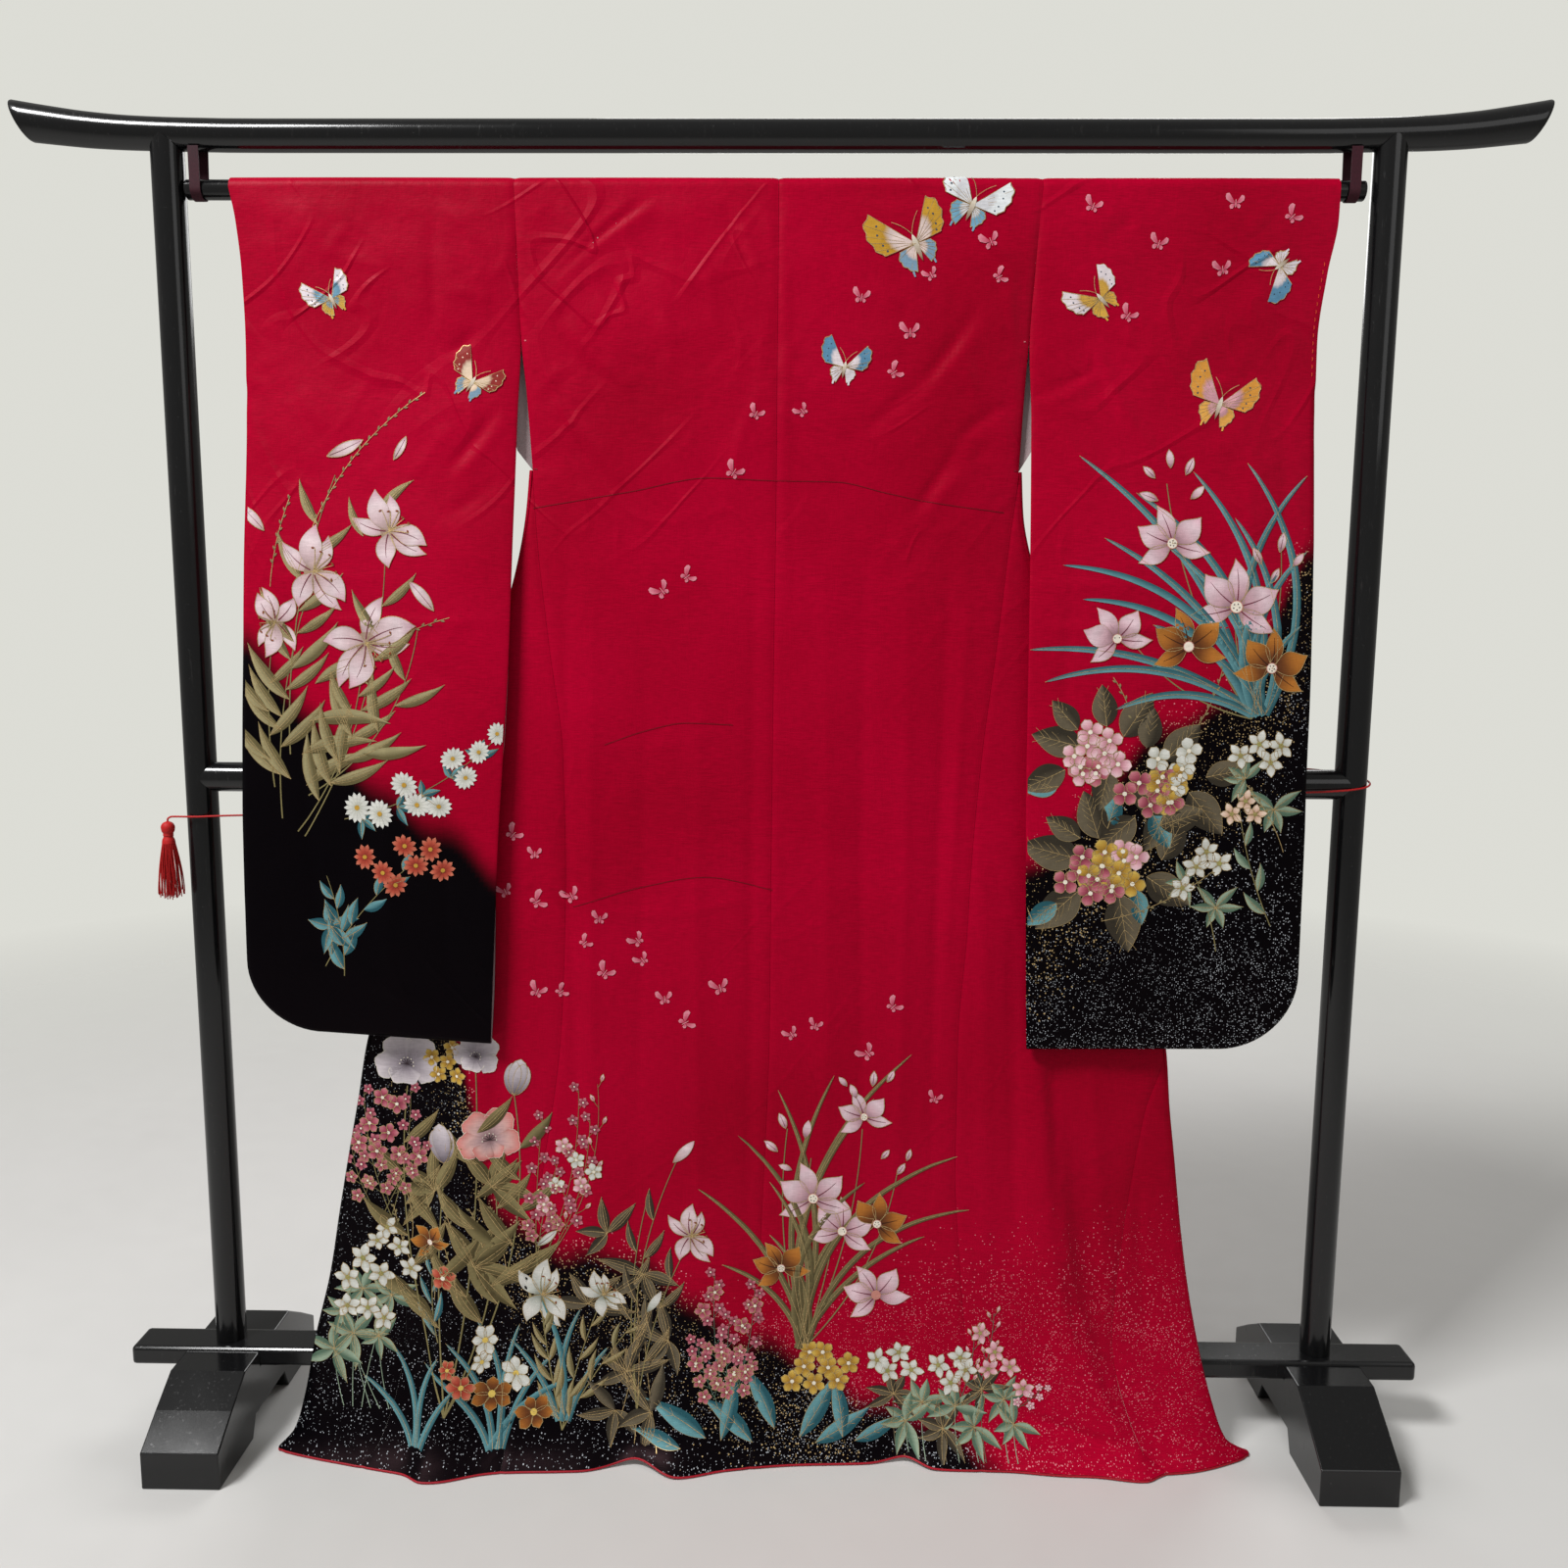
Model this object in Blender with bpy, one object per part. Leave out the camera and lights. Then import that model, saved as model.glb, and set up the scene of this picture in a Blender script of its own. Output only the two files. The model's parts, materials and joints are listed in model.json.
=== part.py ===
"""A furisode kimono hung by its sleeves on a black-lacquered kimono stand, with its back to the viewer.

Metres, +Z up. X runs along the stand, -Y is the side of the viewer, and the origin is on the floor
midway between the feet. Cloth faces are named near (towards the viewer) and far (behind).
"""

from math import cos, exp, pi, radians, sin, sqrt

import bmesh
import bpy
from mathutils import Vector

for old in list(bpy.data.objects):
    bpy.data.objects.remove(old, do_unlink=True)

# Driving sizes
GAP = 0.0003
HALF_SEAM = GAP / 2
POST_SPACING = 1.44
RAIL_RADIUS = 0.0185
RAIL_HEIGHT = 1.6275
STAND_WIDTH = 1.80
ROD_RADIUS = 0.0115
ROD_HEIGHT = 1.5665
CLOTH = 0.002
COLLAR_WIDTH = 0.055
SLIT_TOP = 1.39
SLIT_BOTTOM = 1.24
OKUMI_POINT = 1.34
OKUMI_TURN = 0.55
COLLAR_END = 0.74
COVER_END = 1.12
CUFF_BOTTOM = 1.35
HEM_HEIGHT = 0.0045
SLEEVE_BOTTOM = 0.543
SLEEVE_ROUNDING = 0.09
SLEEVE_RISE = {-1: 0.012, 1: 0.0015}
ROD_SLACK = 0.0004
LEFT, RIGHT = -1, 1

LACQUER = ("lacquer", (0.012, 0.011, 0.012), 0.18)
RED_SILK = ("red_silk", (0.62, 0.012, 0.045), 0.5)
COVER_SILK = ("cover_silk", (0.66, 0.02, 0.05), 0.5)
HEM_SILK = ("hem_silk", (0.70, 0.02, 0.04), 0.5)
PALE_LINING = ("pale_lining", (0.62, 0.56, 0.55), 0.6)
STRAP_CLOTH = ("strap_cloth", (0.09, 0.008, 0.02), 0.75)
RED_CORD = ("red_cord", (0.50, 0.02, 0.03), 0.6)


# Materials and finished objects
def material(finish):
    name, colour, roughness = finish
    found = bpy.data.materials.get(name)
    if found:
        return found
    made = bpy.data.materials.new(name)
    made.use_nodes = True
    shader = made.node_tree.nodes["Principled BSDF"]
    shader.inputs["Base Color"].default_value = (*colour, 1.0)
    shader.inputs["Roughness"].default_value = roughness
    return made


def finished(name, bm, finish, smooth=35):
    """Makes a named object of a bmesh, with its faces turned out and its round sides shaded smooth."""
    bmesh.ops.remove_doubles(bm, verts=bm.verts, dist=1e-5)
    bmesh.ops.dissolve_degenerate(bm, edges=bm.edges, dist=1e-6)
    bmesh.ops.recalc_face_normals(bm, faces=bm.faces)
    mesh = bpy.data.meshes.new(name)
    bm.to_mesh(mesh)
    bm.free()
    mesh.shade_smooth()
    mesh.set_sharp_from_angle(angle=radians(smooth))
    mesh.materials.append(material(finish))
    made = bpy.data.objects.new(name, mesh)
    bpy.context.collection.objects.link(made)
    return made


def cutter(made):
    made.hide_render = True
    made.display_type = "WIRE"
    return made


def cut(target, tool):
    boolean = target.modifiers.new("cut_" + tool.name, "BOOLEAN")
    boolean.operation = "DIFFERENCE"
    boolean.object = tool


def bevelled(target, width, segments=2):
    bevel = target.modifiers.new("eased_edges", "BEVEL")
    bevel.width = width
    bevel.segments = segments
    bevel.limit_method = "ANGLE"
    bevel.angle_limit = radians(40)


# Reading the tables
def read(rows, column, at):
    """A column of a table at a value of its first column, on a smooth curve that never overshoots."""
    rows = sorted(rows, key=lambda row: row[0])
    keys = [row[0] for row in rows]
    values = [row[column] for row in rows]
    if at <= keys[0]:
        return values[0]
    if at >= keys[-1]:
        return values[-1]
    spans = [b - a for a, b in zip(keys, keys[1:])]
    slopes = [(b - a) / span for a, b, span in zip(values, values[1:], spans)]
    tangents = [slopes[0]]
    for before, after in zip(slopes, slopes[1:]):
        tangents.append(0.0 if before * after <= 0 else 2 * before * after / (before + after))
    tangents.append(slopes[-1])
    k = max(i for i, key in enumerate(keys[:-1]) if key <= at)
    t = (at - keys[k]) / spans[k]
    start = (1 + 2 * t) * (1 - t) ** 2 * values[k] + t * (1 - t) ** 2 * spans[k] * tangents[k]
    end = t * t * (3 - 2 * t) * values[k + 1] + t * t * (t - 1) * spans[k] * tangents[k + 1]
    return start + end


def clamp(value, low=0.0, high=1.0):
    return min(high, max(low, value))


def ease(value):
    value = clamp(value)
    return value * value * (3 - 2 * value)


# How the cloth hangs in depth: behind the rod, over the rail's front, and out along the floor
DRAPE = [
    # height, body depth, sleeve depth, side half gap, body half gap, sleeve half gap
    (1.5665, 0.0000, 0.0000, 0.0128, 0.0128, 0.0128),
    (1.50, -0.0040, -0.0040, 0.0112, 0.0130, 0.0124),
    (1.39, -0.0110, -0.0110, 0.0065, 0.0130, 0.0110),
    (1.24, -0.0190, -0.0275, 0.0034, 0.0125, 0.0102),
    (1.15, -0.0233, -0.0387, 0.0032, 0.0120, 0.0102),
    (1.05, -0.0285, -0.0475, 0.0032, 0.0120, 0.0100),
    (0.86, -0.0370, -0.0600, 0.0032, 0.0115, 0.0100),
    (0.55, -0.0430, -0.0690, 0.0032, 0.0110, 0.0070),
    (0.30, -0.0455, -0.0700, 0.0032, 0.0110, 0.0060),
    (0.11, -0.0485, -0.0700, 0.0032, 0.0110, 0.0060),
    (0.00, -0.0510, -0.0700, 0.0032, 0.0110, 0.0060),
]
BODY_DEPTH, SLEEVE_DEPTH, SIDE_GAP, BODY_GAP, SLEEVE_GAP = range(1, 6)

# Upright lines of the body, as places along X
LINES = [
    # height, back seam, left side seam, right side seam
    (1.5665, 0.0050, -0.3070, 0.3140),
    (1.50, 0.0050, -0.3045, 0.3090),
    (1.39, 0.0045, -0.3005, 0.3020),
    (1.33, 0.0042, -0.2950, 0.2983),
    (1.24, 0.0040, -0.2890, 0.2935),
    (1.16, 0.0035, -0.2840, 0.2838),
    (1.03, 0.0020, -0.2700, 0.2700),
    (0.90, 0.0010, -0.2548, 0.2548),
    (0.765, 0.0000, -0.2529, 0.2450),
    (0.68, -0.0005, -0.2550, 0.2416),
    (0.545, -0.0014, -0.2620, 0.2330),
    (0.384, -0.0070, -0.2850, 0.2330),
    (0.27, -0.0115, -0.3040, 0.2400),
    (0.11, -0.0130, -0.3220, 0.2550),
    (0.00, -0.0240, -0.3350, 0.2700),
]
BACK_SEAM = 1
SIDE_SEAM = {LEFT: 2, RIGHT: 3}

# Outer folds of the spread skirt, the front edges behind, and the folds that run up it
SKIRT = [
    # height, left edge, right edge, left fold, right fold
    (1.24, 0.2926, 0.2971, 0.0, 0.0),
    (1.19, 0.2975, 0.3000, 0.0, 0.0),
    (1.12, 0.3110, 0.3150, 0.0, 0.0),
    (1.00, 0.3500, 0.3480, 0.302, 0.280),
    (0.86, 0.3950, 0.3910, 0.322, 0.288),
    (0.70, 0.4500, 0.4420, 0.348, 0.304),
    (0.535, 0.5070, 0.4935, 0.377, 0.325),
    (0.46, 0.5210, 0.5010, 0.386, 0.340),
    (0.39, 0.5350, 0.5100, 0.397, 0.352),
    (0.31, 0.5500, 0.5200, 0.407, 0.363),
    (0.23, 0.5640, 0.5320, 0.413, 0.374),
    (0.14, 0.5860, 0.5500, 0.417, 0.403),
    (0.065, 0.6000, 0.5700, 0.422, 0.438),
    (0.025, 0.6110, 0.5860, 0.426, 0.460),
    (0.00, 0.6340, 0.6250, 0.430, 0.475),
]
EDGE = {LEFT: 1, RIGHT: 2}
FOLD = {LEFT: 3, RIGHT: 4}

# Front opening behind the stand: the panels' own front edge, and the okumi seam beside it
OPENING = [
    # height, front edge as a share of the outer fold, okumi seam as a share of the outer fold
    (1.5665, 0.300, 0.300),
    (1.40, 0.235, 0.235),
    (1.34, 0.222, 0.222),
    (1.24, 0.225, 0.345),
    (1.00, 0.290, 0.560),
    (0.80, 0.455, 0.800),
    (0.62, 0.650, 0.960),
    (0.55, 0.705, 1.000),
    (0.45, 0.784, 0.932),
    (0.28, 0.883, 0.850),
    (0.12, 0.940, 0.795),
    (0.00, 0.946, 0.812),
]
FRONT_EDGE, OKUMI_SEAM = 1, 2

HEM_LINE = [
    # place along X, reach of the hem towards the viewer
    (-0.634, 0.100),
    (-0.552, 0.119),
    (-0.405, 0.144),
    (-0.340, 0.132),
    (-0.235, 0.125),
    (-0.175, 0.108),
    (-0.116, 0.137),
    (-0.050, 0.118),
    (0.030, 0.105),
    (0.124, 0.099),
    (0.170, 0.091),
    (0.210, 0.111),
    (0.300, 0.113),
    (0.384, 0.122),
    (0.516, 0.117),
    (0.600, 0.090),
    (0.625, 0.070),
]

SLEEVES = [
    # height, left furi edge, left outer edge, right furi edge, right outer edge
    (1.5665, 0.3070, 0.6440, 0.3140, 0.6600),
    (1.53, 0.3055, 0.6370, 0.3110, 0.6590),
    (1.47, 0.3035, 0.6315, 0.3070, 0.6490),
    (1.39, 0.3011, 0.6300, 0.3026, 0.6410),
    (1.30, 0.3055, 0.6310, 0.3062, 0.6410),
    (1.20, 0.3090, 0.6330, 0.3066, 0.6420),
    (1.00, 0.3170, 0.6380, 0.3066, 0.6430),
    (0.88, 0.3250, 0.6415, 0.3066, 0.6420),
    (0.80, 0.3310, 0.6435, 0.3080, 0.6430),
    (0.67, 0.3380, 0.6440, 0.3110, 0.6430),
    (0.54, 0.3450, 0.6440, 0.3150, 0.6430),
]
FURI = {LEFT: 1, RIGHT: 3}
OUTER = {LEFT: 2, RIGHT: 4}
FURI_SHOWS = 0.006
FURI_HALF_GAP = 0.005


def side_seam(side, height):
    return side * abs(read(LINES, SIDE_SEAM[side], height))


def outer_fold(side, height):
    """The body's outermost line: the armhole edge above the slit's foot, the skirt's fold below it."""
    if height > SLIT_BOTTOM:
        return side_seam(side, height)
    return side * read(SKIRT, EDGE[side], height)


def turn_line(side, height):
    """Where a near layer gives way to the round fold at the outer line."""
    return outer_fold(side, height) - side * read(DRAPE, SIDE_GAP, height)


def front_edge(side, height):
    return read(OPENING, FRONT_EDGE, height) * outer_fold(side, height)


def okumi_seam(side, height):
    return read(OPENING, OKUMI_SEAM, height) * outer_fold(side, height)


def crown(side, x, height):
    """How far the layers part at a place across the body: 0 at its outer fold, 1 in its middle."""
    share = clamp(abs(x) / abs(outer_fold(side, height)))
    return sqrt(1 - share**4)


def kick(x, height):
    """How far the hem's drag along the floor brings the cloth forward at a height."""
    reach = read(HEM_LINE, 1, x) + read(DRAPE, BODY_DEPTH, 0) - read(DRAPE, BODY_GAP, 0)
    return reach * (0.6 * exp(-height / 0.10) + 0.4 * exp(-height / 0.022))


def skirt_fold(side, x, height):
    """A long soft ridge beside the side seam, steep on its outer side, that fades under the sleeve."""
    off = abs(x) - read(SKIRT, FOLD[side], height)
    width = 0.045 if off < 0 else 0.018
    return 0.013 * ease((0.68 - height) / 0.38) * exp(-((off / width) ** 2))


def near_y(side, x, height):
    lift = crown(side, x, height)
    half = read(DRAPE, SIDE_GAP, height) * (1 - lift) + read(DRAPE, BODY_GAP, height) * lift
    forward = kick(x, height) * (0.8 + 0.2 * lift) + skirt_fold(side, x, height) * min(1, 2 * lift)
    return read(DRAPE, BODY_DEPTH, height) - half - forward


def far_y(side, x, height):
    lift = crown(side, x, height)
    half = read(DRAPE, SIDE_GAP, height) * (1 - lift) + read(DRAPE, BODY_GAP, height) * lift
    return read(DRAPE, BODY_DEPTH, height) + half - kick(x, height) * (0.8 - 0.2 * lift)


def hem_lift(x, height):
    """Two small folds that stand up where the hem meets the floor."""
    folds = 0.011 * exp(-(((x + 0.160) / 0.030) ** 2)) + 0.007 * exp(-(((x - 0.178) / 0.026) ** 2))
    return folds * exp(-height / 0.03)


# Sheets are grids of points, each with the direction in which the wall has its thickness
class Sheet:
    """The middle surface of a cloth piece, made of grids that share their edges."""

    def __init__(self):
        self.middle = bmesh.new()
        self.toward = self.middle.verts.layers.float_vector.new("toward")

    def add_grid(self, rows):
        """Adds rows of (point, direction). A row may shrink to one point, and its cells become triangles."""
        placed = []
        for row in rows:
            placed.append([self.middle.verts.new(point) for point, direction in row])
            for vert, (point, direction) in zip(placed[-1], row):
                vert[self.toward] = direction
        for upper, lower in zip(placed, placed[1:]):
            for k in range(len(upper) - 1):
                self.middle.faces.new((upper[k], upper[k + 1], lower[k + 1], lower[k]))

    def wall(self, name, finish, thickness=CLOTH):
        """Turns the middle surface into a closed wall of even thickness."""
        bmesh.ops.remove_doubles(self.middle, verts=self.middle.verts, dist=2e-5)
        bmesh.ops.recalc_face_normals(self.middle, faces=self.middle.faces)
        bm = bmesh.new()
        halves = {}
        for face in (1, -1):
            shift = face * thickness / 2
            halves[face] = {vert: bm.verts.new(vert.co + vert[self.toward] * shift)
                            for vert in self.middle.verts}
        for edge in self.middle.edges:
            if edge.is_boundary:
                a, b = edge.verts
                bm.faces.new((halves[1][b], halves[1][a], halves[-1][a], halves[-1][b]))
        for cell in self.middle.faces:
            bm.faces.new([halves[1][vert] for vert in cell.verts])
            bm.faces.new([halves[-1][vert] for vert in reversed(cell.verts)])
        self.middle.free()
        return finished(name, bm, finish, smooth=60)


NEAR, FAR = Vector((0, -1, 0)), Vector((0, 1, 0))


def add_layer(cloth, side, heights, start, end, cells, depth):
    """A layer between two upright lines, read at each height, which returns its lowest row of points."""
    near = depth is near_y
    rows = []
    for height in heights:
        low, high = start(height), end(height)
        row = []
        for k in range(cells + 1):
            x = low + (high - low) * k / cells
            rise = hem_lift(x, height) if near else 0.0
            row.append(((x, depth(side, x, height), height + rise), NEAR if near else FAR))
        rows.append(row)
    cloth.add_grid(rows)
    return [Vector(point) for point, direction in rows[-1]]


def add_turn(cloth, side, heights, cells=4):
    """The round fold that joins the near layer to the far one along the body's outer line."""
    rows = []
    for height in heights:
        half = read(DRAPE, SIDE_GAP, height)
        inner = turn_line(side, height)
        near, far = near_y(side, inner, height), far_y(side, inner, height)
        middle, reach = (near + far) / 2, (far - near) / 2
        row = []
        for k in range(cells + 1):
            angle = pi * k / cells
            place = (inner + side * half * sin(angle), middle - reach * cos(angle), height)
            row.append((place, (side * sin(angle), -cos(angle), 0)))
        rows.append(row)
    cloth.add_grid(rows)
    return [Vector(point) for point, direction in rows[-1]]


def over_rod(low, high, cells):
    """Rows of a layer's way over the rod, between two places along it, from the near side to the far side."""
    rows = []
    for step in range(9):
        angle = pi * step / 8
        row = []
        for k in range(cells + 1):
            reach = read(DRAPE, BODY_GAP, ROD_HEIGHT) + ROD_SLACK * sin(pi * k / cells) * sin(angle)
            place = (low + (high - low) * k / cells, -reach * cos(angle), ROD_HEIGHT + reach * sin(angle))
            row.append((place, (0, -cos(angle), sin(angle))))
        rows.append(row)
    return rows


def between(low, high, heights):
    """The table's heights within a stretch, with its two ends put exactly on the stretch's own."""
    inside = [height for height in heights if low + 0.004 < height < high - 0.004]
    return [high] + inside + [low]


BODY_HEIGHTS = [1.51, 1.45, SLIT_TOP, 1.34, 1.29, SLIT_BOTTOM, 1.18, 1.10, 1.01, 0.92, 0.84, 0.76, 0.69]
BODY_HEIGHTS += [0.62, OKUMI_TURN, 0.47, 0.39, 0.31, 0.235, 0.17, 0.115, 0.07, 0.036, 0.015]
BACK_CELLS = 10


# Body: the back panels hang on the near side and pass over the rod, the fronts go on from there
def back_panel(side, name):
    cloth = Sheet()
    heights = between(HEM_HEIGHT, ROD_HEIGHT, BODY_HEIGHTS)

    def inner(height):
        return read(LINES, BACK_SEAM, height) + side * HALF_SEAM

    def outer(height):
        return side_seam(side, height) - side * HALF_SEAM

    hem = add_layer(cloth, side, heights, inner, outer, BACK_CELLS, near_y)
    cloth.add_grid(over_rod(inner(ROD_HEIGHT), outer(ROD_HEIGHT), BACK_CELLS))
    cloth.wall(name, RED_SILK)
    return hem


def front_panel(side, name):
    cloth = Sheet()
    foot = OKUMI_TURN + GAP

    def seam(height):
        return side_seam(side, height) + side * HALF_SEAM

    def fold(height):
        """The ridge beside the seam, never outside the stretch of panel that shows."""
        share = clamp(abs(read(SKIRT, FOLD[side], height) - abs(seam(height))) / 0.06, 0.0, 1.0)
        low, high = abs(seam(height)), abs(near_end(height))
        wanted = read(SKIRT, FOLD[side], height) * share + low * (1 - share)
        return side * clamp(wanted, low + (high - low) * 0.3, low + (high - low) * 0.7)

    def near_end(height):
        if height >= OKUMI_TURN:
            return turn_line(side, height)
        return okumi_seam(side, height) - side * GAP

    def inner(height):
        """Where the far layer ends: at the okumi seam, or above its point at the collar."""
        return okumi_seam(side, height) + side * GAP

    def far_start(height):
        if height > SLIT_BOTTOM + 0.01:
            return side_seam(side, height) - side * HALF_SEAM
        return turn_line(side, height)

    def far_end(height):
        return turn_line(side, height) if height <= foot + 1e-6 else inner(height)

    skirt = between(HEM_HEIGHT, SLIT_BOTTOM, BODY_HEIGHTS)
    hem = add_layer(cloth, side, skirt, seam, fold, 4, near_y)
    hem += add_layer(cloth, side, skirt, fold, near_end, 4, near_y)
    add_turn(cloth, side, between(foot, SLIT_BOTTOM, BODY_HEIGHTS))
    top = ROD_HEIGHT - GAP
    add_layer(cloth, side, between(foot, top, BODY_HEIGHTS), far_start, far_end, 9, far_y)
    cloth.wall(name, RED_SILK)
    return hem


def okumi(side, name):
    cloth = Sheet()

    def edge(height):
        return turn_line(side, height)

    def seam(height):
        return okumi_seam(side, height) if height < OKUMI_TURN else edge(height)

    def far_seam(height):
        return okumi_seam(side, height) if height > OKUMI_TURN else edge(height)

    def front(height):
        return front_edge(side, height)

    skirt = between(HEM_HEIGHT, OKUMI_TURN, BODY_HEIGHTS)
    hem = add_layer(cloth, side, skirt, seam, edge, 4, near_y)
    hem += add_turn(cloth, side, skirt)
    add_layer(cloth, side, between(OKUMI_TURN, OKUMI_POINT, BODY_HEIGHTS), far_seam, front, 5, far_y)
    hem += add_layer(cloth, side, skirt, edge, front, 5, far_y)
    cloth.wall(name, RED_SILK)
    return hem


hems = {}
for word, half in (("left", LEFT), ("right", RIGHT)):
    hems[word] = back_panel(half, "back_" + word)
    hems[word] += front_panel(half, "front_" + word)
    hems[word] += okumi(half, "okumi_" + word)


# Collar: a folded band round the neck and down both front edges, with a shorter cover band on it
def collar_heights(low):
    """Heights down one front edge, closer together near the neck corner."""
    inside = [height for height in BODY_HEIGHTS if low + 0.01 < height < 1.50]
    return [ROD_HEIGHT - GAP, 1.545, 1.52] + inside + [low]


def band(name, low, thickness, shift, margin, finish):
    """A ribbon of the collar's width. Margin draws both its long edges in, shift moves it back."""
    cloth = Sheet()
    width = COLLAR_WIDTH
    rows = []

    def point(side, height, share):
        """A point on one front stretch: share 0 on the sewn edge, 1 on the free edge."""
        drop = width * share * ease(1 - (ROD_HEIGHT - height) / 0.13)
        sewn = front_edge(side, height) - side * GAP
        x = sewn - side * width * share
        return (x, far_y(side, sewn, height - drop) + shift, height - drop)

    shares = [margin / width + (1 - 2 * margin / width) * k / 3 for k in range(4)]
    heights = collar_heights(low)
    for height in reversed(heights):
        rows.append([point(LEFT, height, share) for share in shares])
    for k in range(1, 6):
        start = [point(LEFT, heights[0], share) for share in shares]
        end = [point(RIGHT, heights[0], share) for share in shares]
        rows.append([Vector(a).lerp(Vector(b), k / 6) for a, b in zip(start, end)])
    for height in heights:
        rows.append([point(RIGHT, height, share) for share in shares])
    cloth.add_grid([[(point, FAR) for point in row] for row in rows])
    return cloth.wall(name, finish, thickness)


COLLAR_WALL, COVER_WALL = 0.003, 0.0014
COLLAR_SHIFT = 0.0006
COVER_SHIFT = COLLAR_SHIFT + (COLLAR_WALL + COVER_WALL) / 2 + 0.0004
band("collar", COLLAR_END, COLLAR_WALL, COLLAR_SHIFT, 0.0, RED_SILK)
band("cover_collar", COVER_END, COVER_WALL, COVER_SHIFT, 0.001, COVER_SILK)


# Sleeves: flat bags over the rod, open at the cuff and all down the furi edge below the armhole
SLEEVE_HEIGHTS = [1.51, 1.45, SLIT_TOP, CUFF_BOTTOM, 1.28, 1.18, 1.08, 0.98, 0.88, 0.79, 0.70]
ROUNDING_STEPS = 5
SLEEVE_CELLS = 9


def sleeve_rows():
    low = SLEEVE_BOTTOM
    for k in range(ROUNDING_STEPS + 1):
        yield low + SLEEVE_ROUNDING * (1 - sin(pi / 2 * k / ROUNDING_STEPS))


def sleeve_outer(side, height):
    """The outer edge, with the large round corner at the foot of a furisode's sleeve."""
    edge = side * read(SLEEVES, OUTER[side], height)
    fall = (SLEEVE_BOTTOM + SLEEVE_ROUNDING - height) / SLEEVE_ROUNDING
    return edge - side * SLEEVE_ROUNDING * (1 - sqrt(1 - clamp(fall) ** 2))


def sleeve_point(side, share, height, face):
    """face is -1 on the near side and 1 on the far side, share runs from the furi to the outer edge."""
    open_furi = ease((SLIT_TOP - height) / 0.10)
    furi = side * (read(SLEEVES, FURI[side], height) + HALF_SEAM)
    if face > 0:
        furi -= side * FURI_SHOWS * open_furi
    side_gap = read(DRAPE, SIDE_GAP, height)
    furi_gap = side_gap + (FURI_HALF_GAP - side_gap) * ease((SLIT_TOP - height) / 0.2)
    outer = sleeve_outer(side, height)
    if height <= CUFF_BOTTOM:
        outer -= side * side_gap
    x = furi + (outer - furi) * share
    foot = sqrt(clamp((height - SLEEVE_BOTTOM) / 0.12))
    swell = sqrt(clamp(4 * share * (1 - share))) * foot
    edge_gap = furi_gap + (side_gap - furi_gap) * share
    half = edge_gap * (1 - swell) + read(DRAPE, SLEEVE_GAP, height) * swell
    ripple = 0.0015 * sin(pi * share) * sin(2 * pi * share + 4 * height) * ease((1.45 - height) / 0.4) * foot
    rise = SLEEVE_RISE[side] * share * ease((0.75 - height) / 0.2)
    return Vector((x, read(DRAPE, SLEEVE_DEPTH, height) + ripple + face * half, height + rise))


def sleeve(side, name):
    cloth = Sheet()
    heights = [ROD_HEIGHT] + SLEEVE_HEIGHTS + list(sleeve_rows())
    shares = [k / SLEEVE_CELLS for k in range(SLEEVE_CELLS + 1)]
    faces = {}
    for face, direction in ((-1, NEAR), (1, FAR)):
        faces[face] = [[sleeve_point(side, share, height, face) for share in shares] for height in heights]
        cloth.add_grid([[(point, direction) for point in row] for row in faces[face]])
    cloth.add_grid(over_rod(faces[1][0][0].x, faces[1][0][-1].x, SLEEVE_CELLS))
    first = heights.index(CUFF_BOTTOM)
    rim = [(faces[-1][row][-1], faces[1][row][-1]) for row in range(first, len(heights))]
    rim += [(faces[-1][-1][k], faces[1][-1][k]) for k in range(SLEEVE_CELLS - 1, -1, -1)]
    turn = []
    for k, (near, far) in enumerate(rim):
        before, after = rim[max(0, k - 1)][0], rim[min(len(rim) - 1, k + 1)][0]
        along = after - before
        out = Vector((-along.z, 0, along.x)).normalized() * -side
        middle, half = (near + far) / 2, (far.y - near.y) / 2
        arc = []
        for step in range(4):
            angle = pi * step / 3
            place = middle + (near - far) / 2 * cos(angle) + out * half * sin(angle)
            arc.append((place, out * sin(angle) + NEAR * cos(angle)))
        turn.append(arc)
    cloth.add_grid(turn)
    return cloth.wall(name, RED_SILK)


sleeve(LEFT, "sleeve_left")
sleeve(RIGHT, "sleeve_right")


# Lining strips that show along the open furi edges, laid on the inside of each sleeve's far wall
LINING_WALL = 0.001


def furi_lining(side, name):
    cloth = Sheet()
    inward = Vector((0, (CLOTH + LINING_WALL) / 2 + GAP, 0))
    rows = []
    for height in [height for height in SLEEVE_HEIGHTS if height < CUFF_BOTTOM]:
        edge = sleeve_point(side, 0.0, height, 1)
        next_column = sleeve_point(side, 1 / SLEEVE_CELLS, height, 1)
        rows.append([(edge.lerp(next_column, share) - inward, FAR) for share in (0.03, 0.14, 0.25)])
    cloth.add_grid(rows)
    cloth.wall(name, PALE_LINING, LINING_WALL)


furi_lining(LEFT, "sleeve_lining_left")
furi_lining(RIGHT, "sleeve_lining_right")


# Hem roll: the lining's padded edge, which runs along the whole hem just under the outer cloth
ROLL_RADIUS = 0.0014


def tube(name, points, radius, resolution, finish):
    data = bpy.data.curves.new(name, "CURVE")
    data.dimensions = "3D"
    data.bevel_depth = radius
    data.bevel_resolution = resolution
    data.use_fill_caps = True
    spline = data.splines.new("POLY")
    spline.points.add(len(points) - 1)
    for place, point in zip(spline.points, points):
        place.co = (*point, 1.0)
    data.materials.append(material(finish))
    made = bpy.data.objects.new(name, data)
    bpy.context.collection.objects.link(made)
    return made


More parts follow.
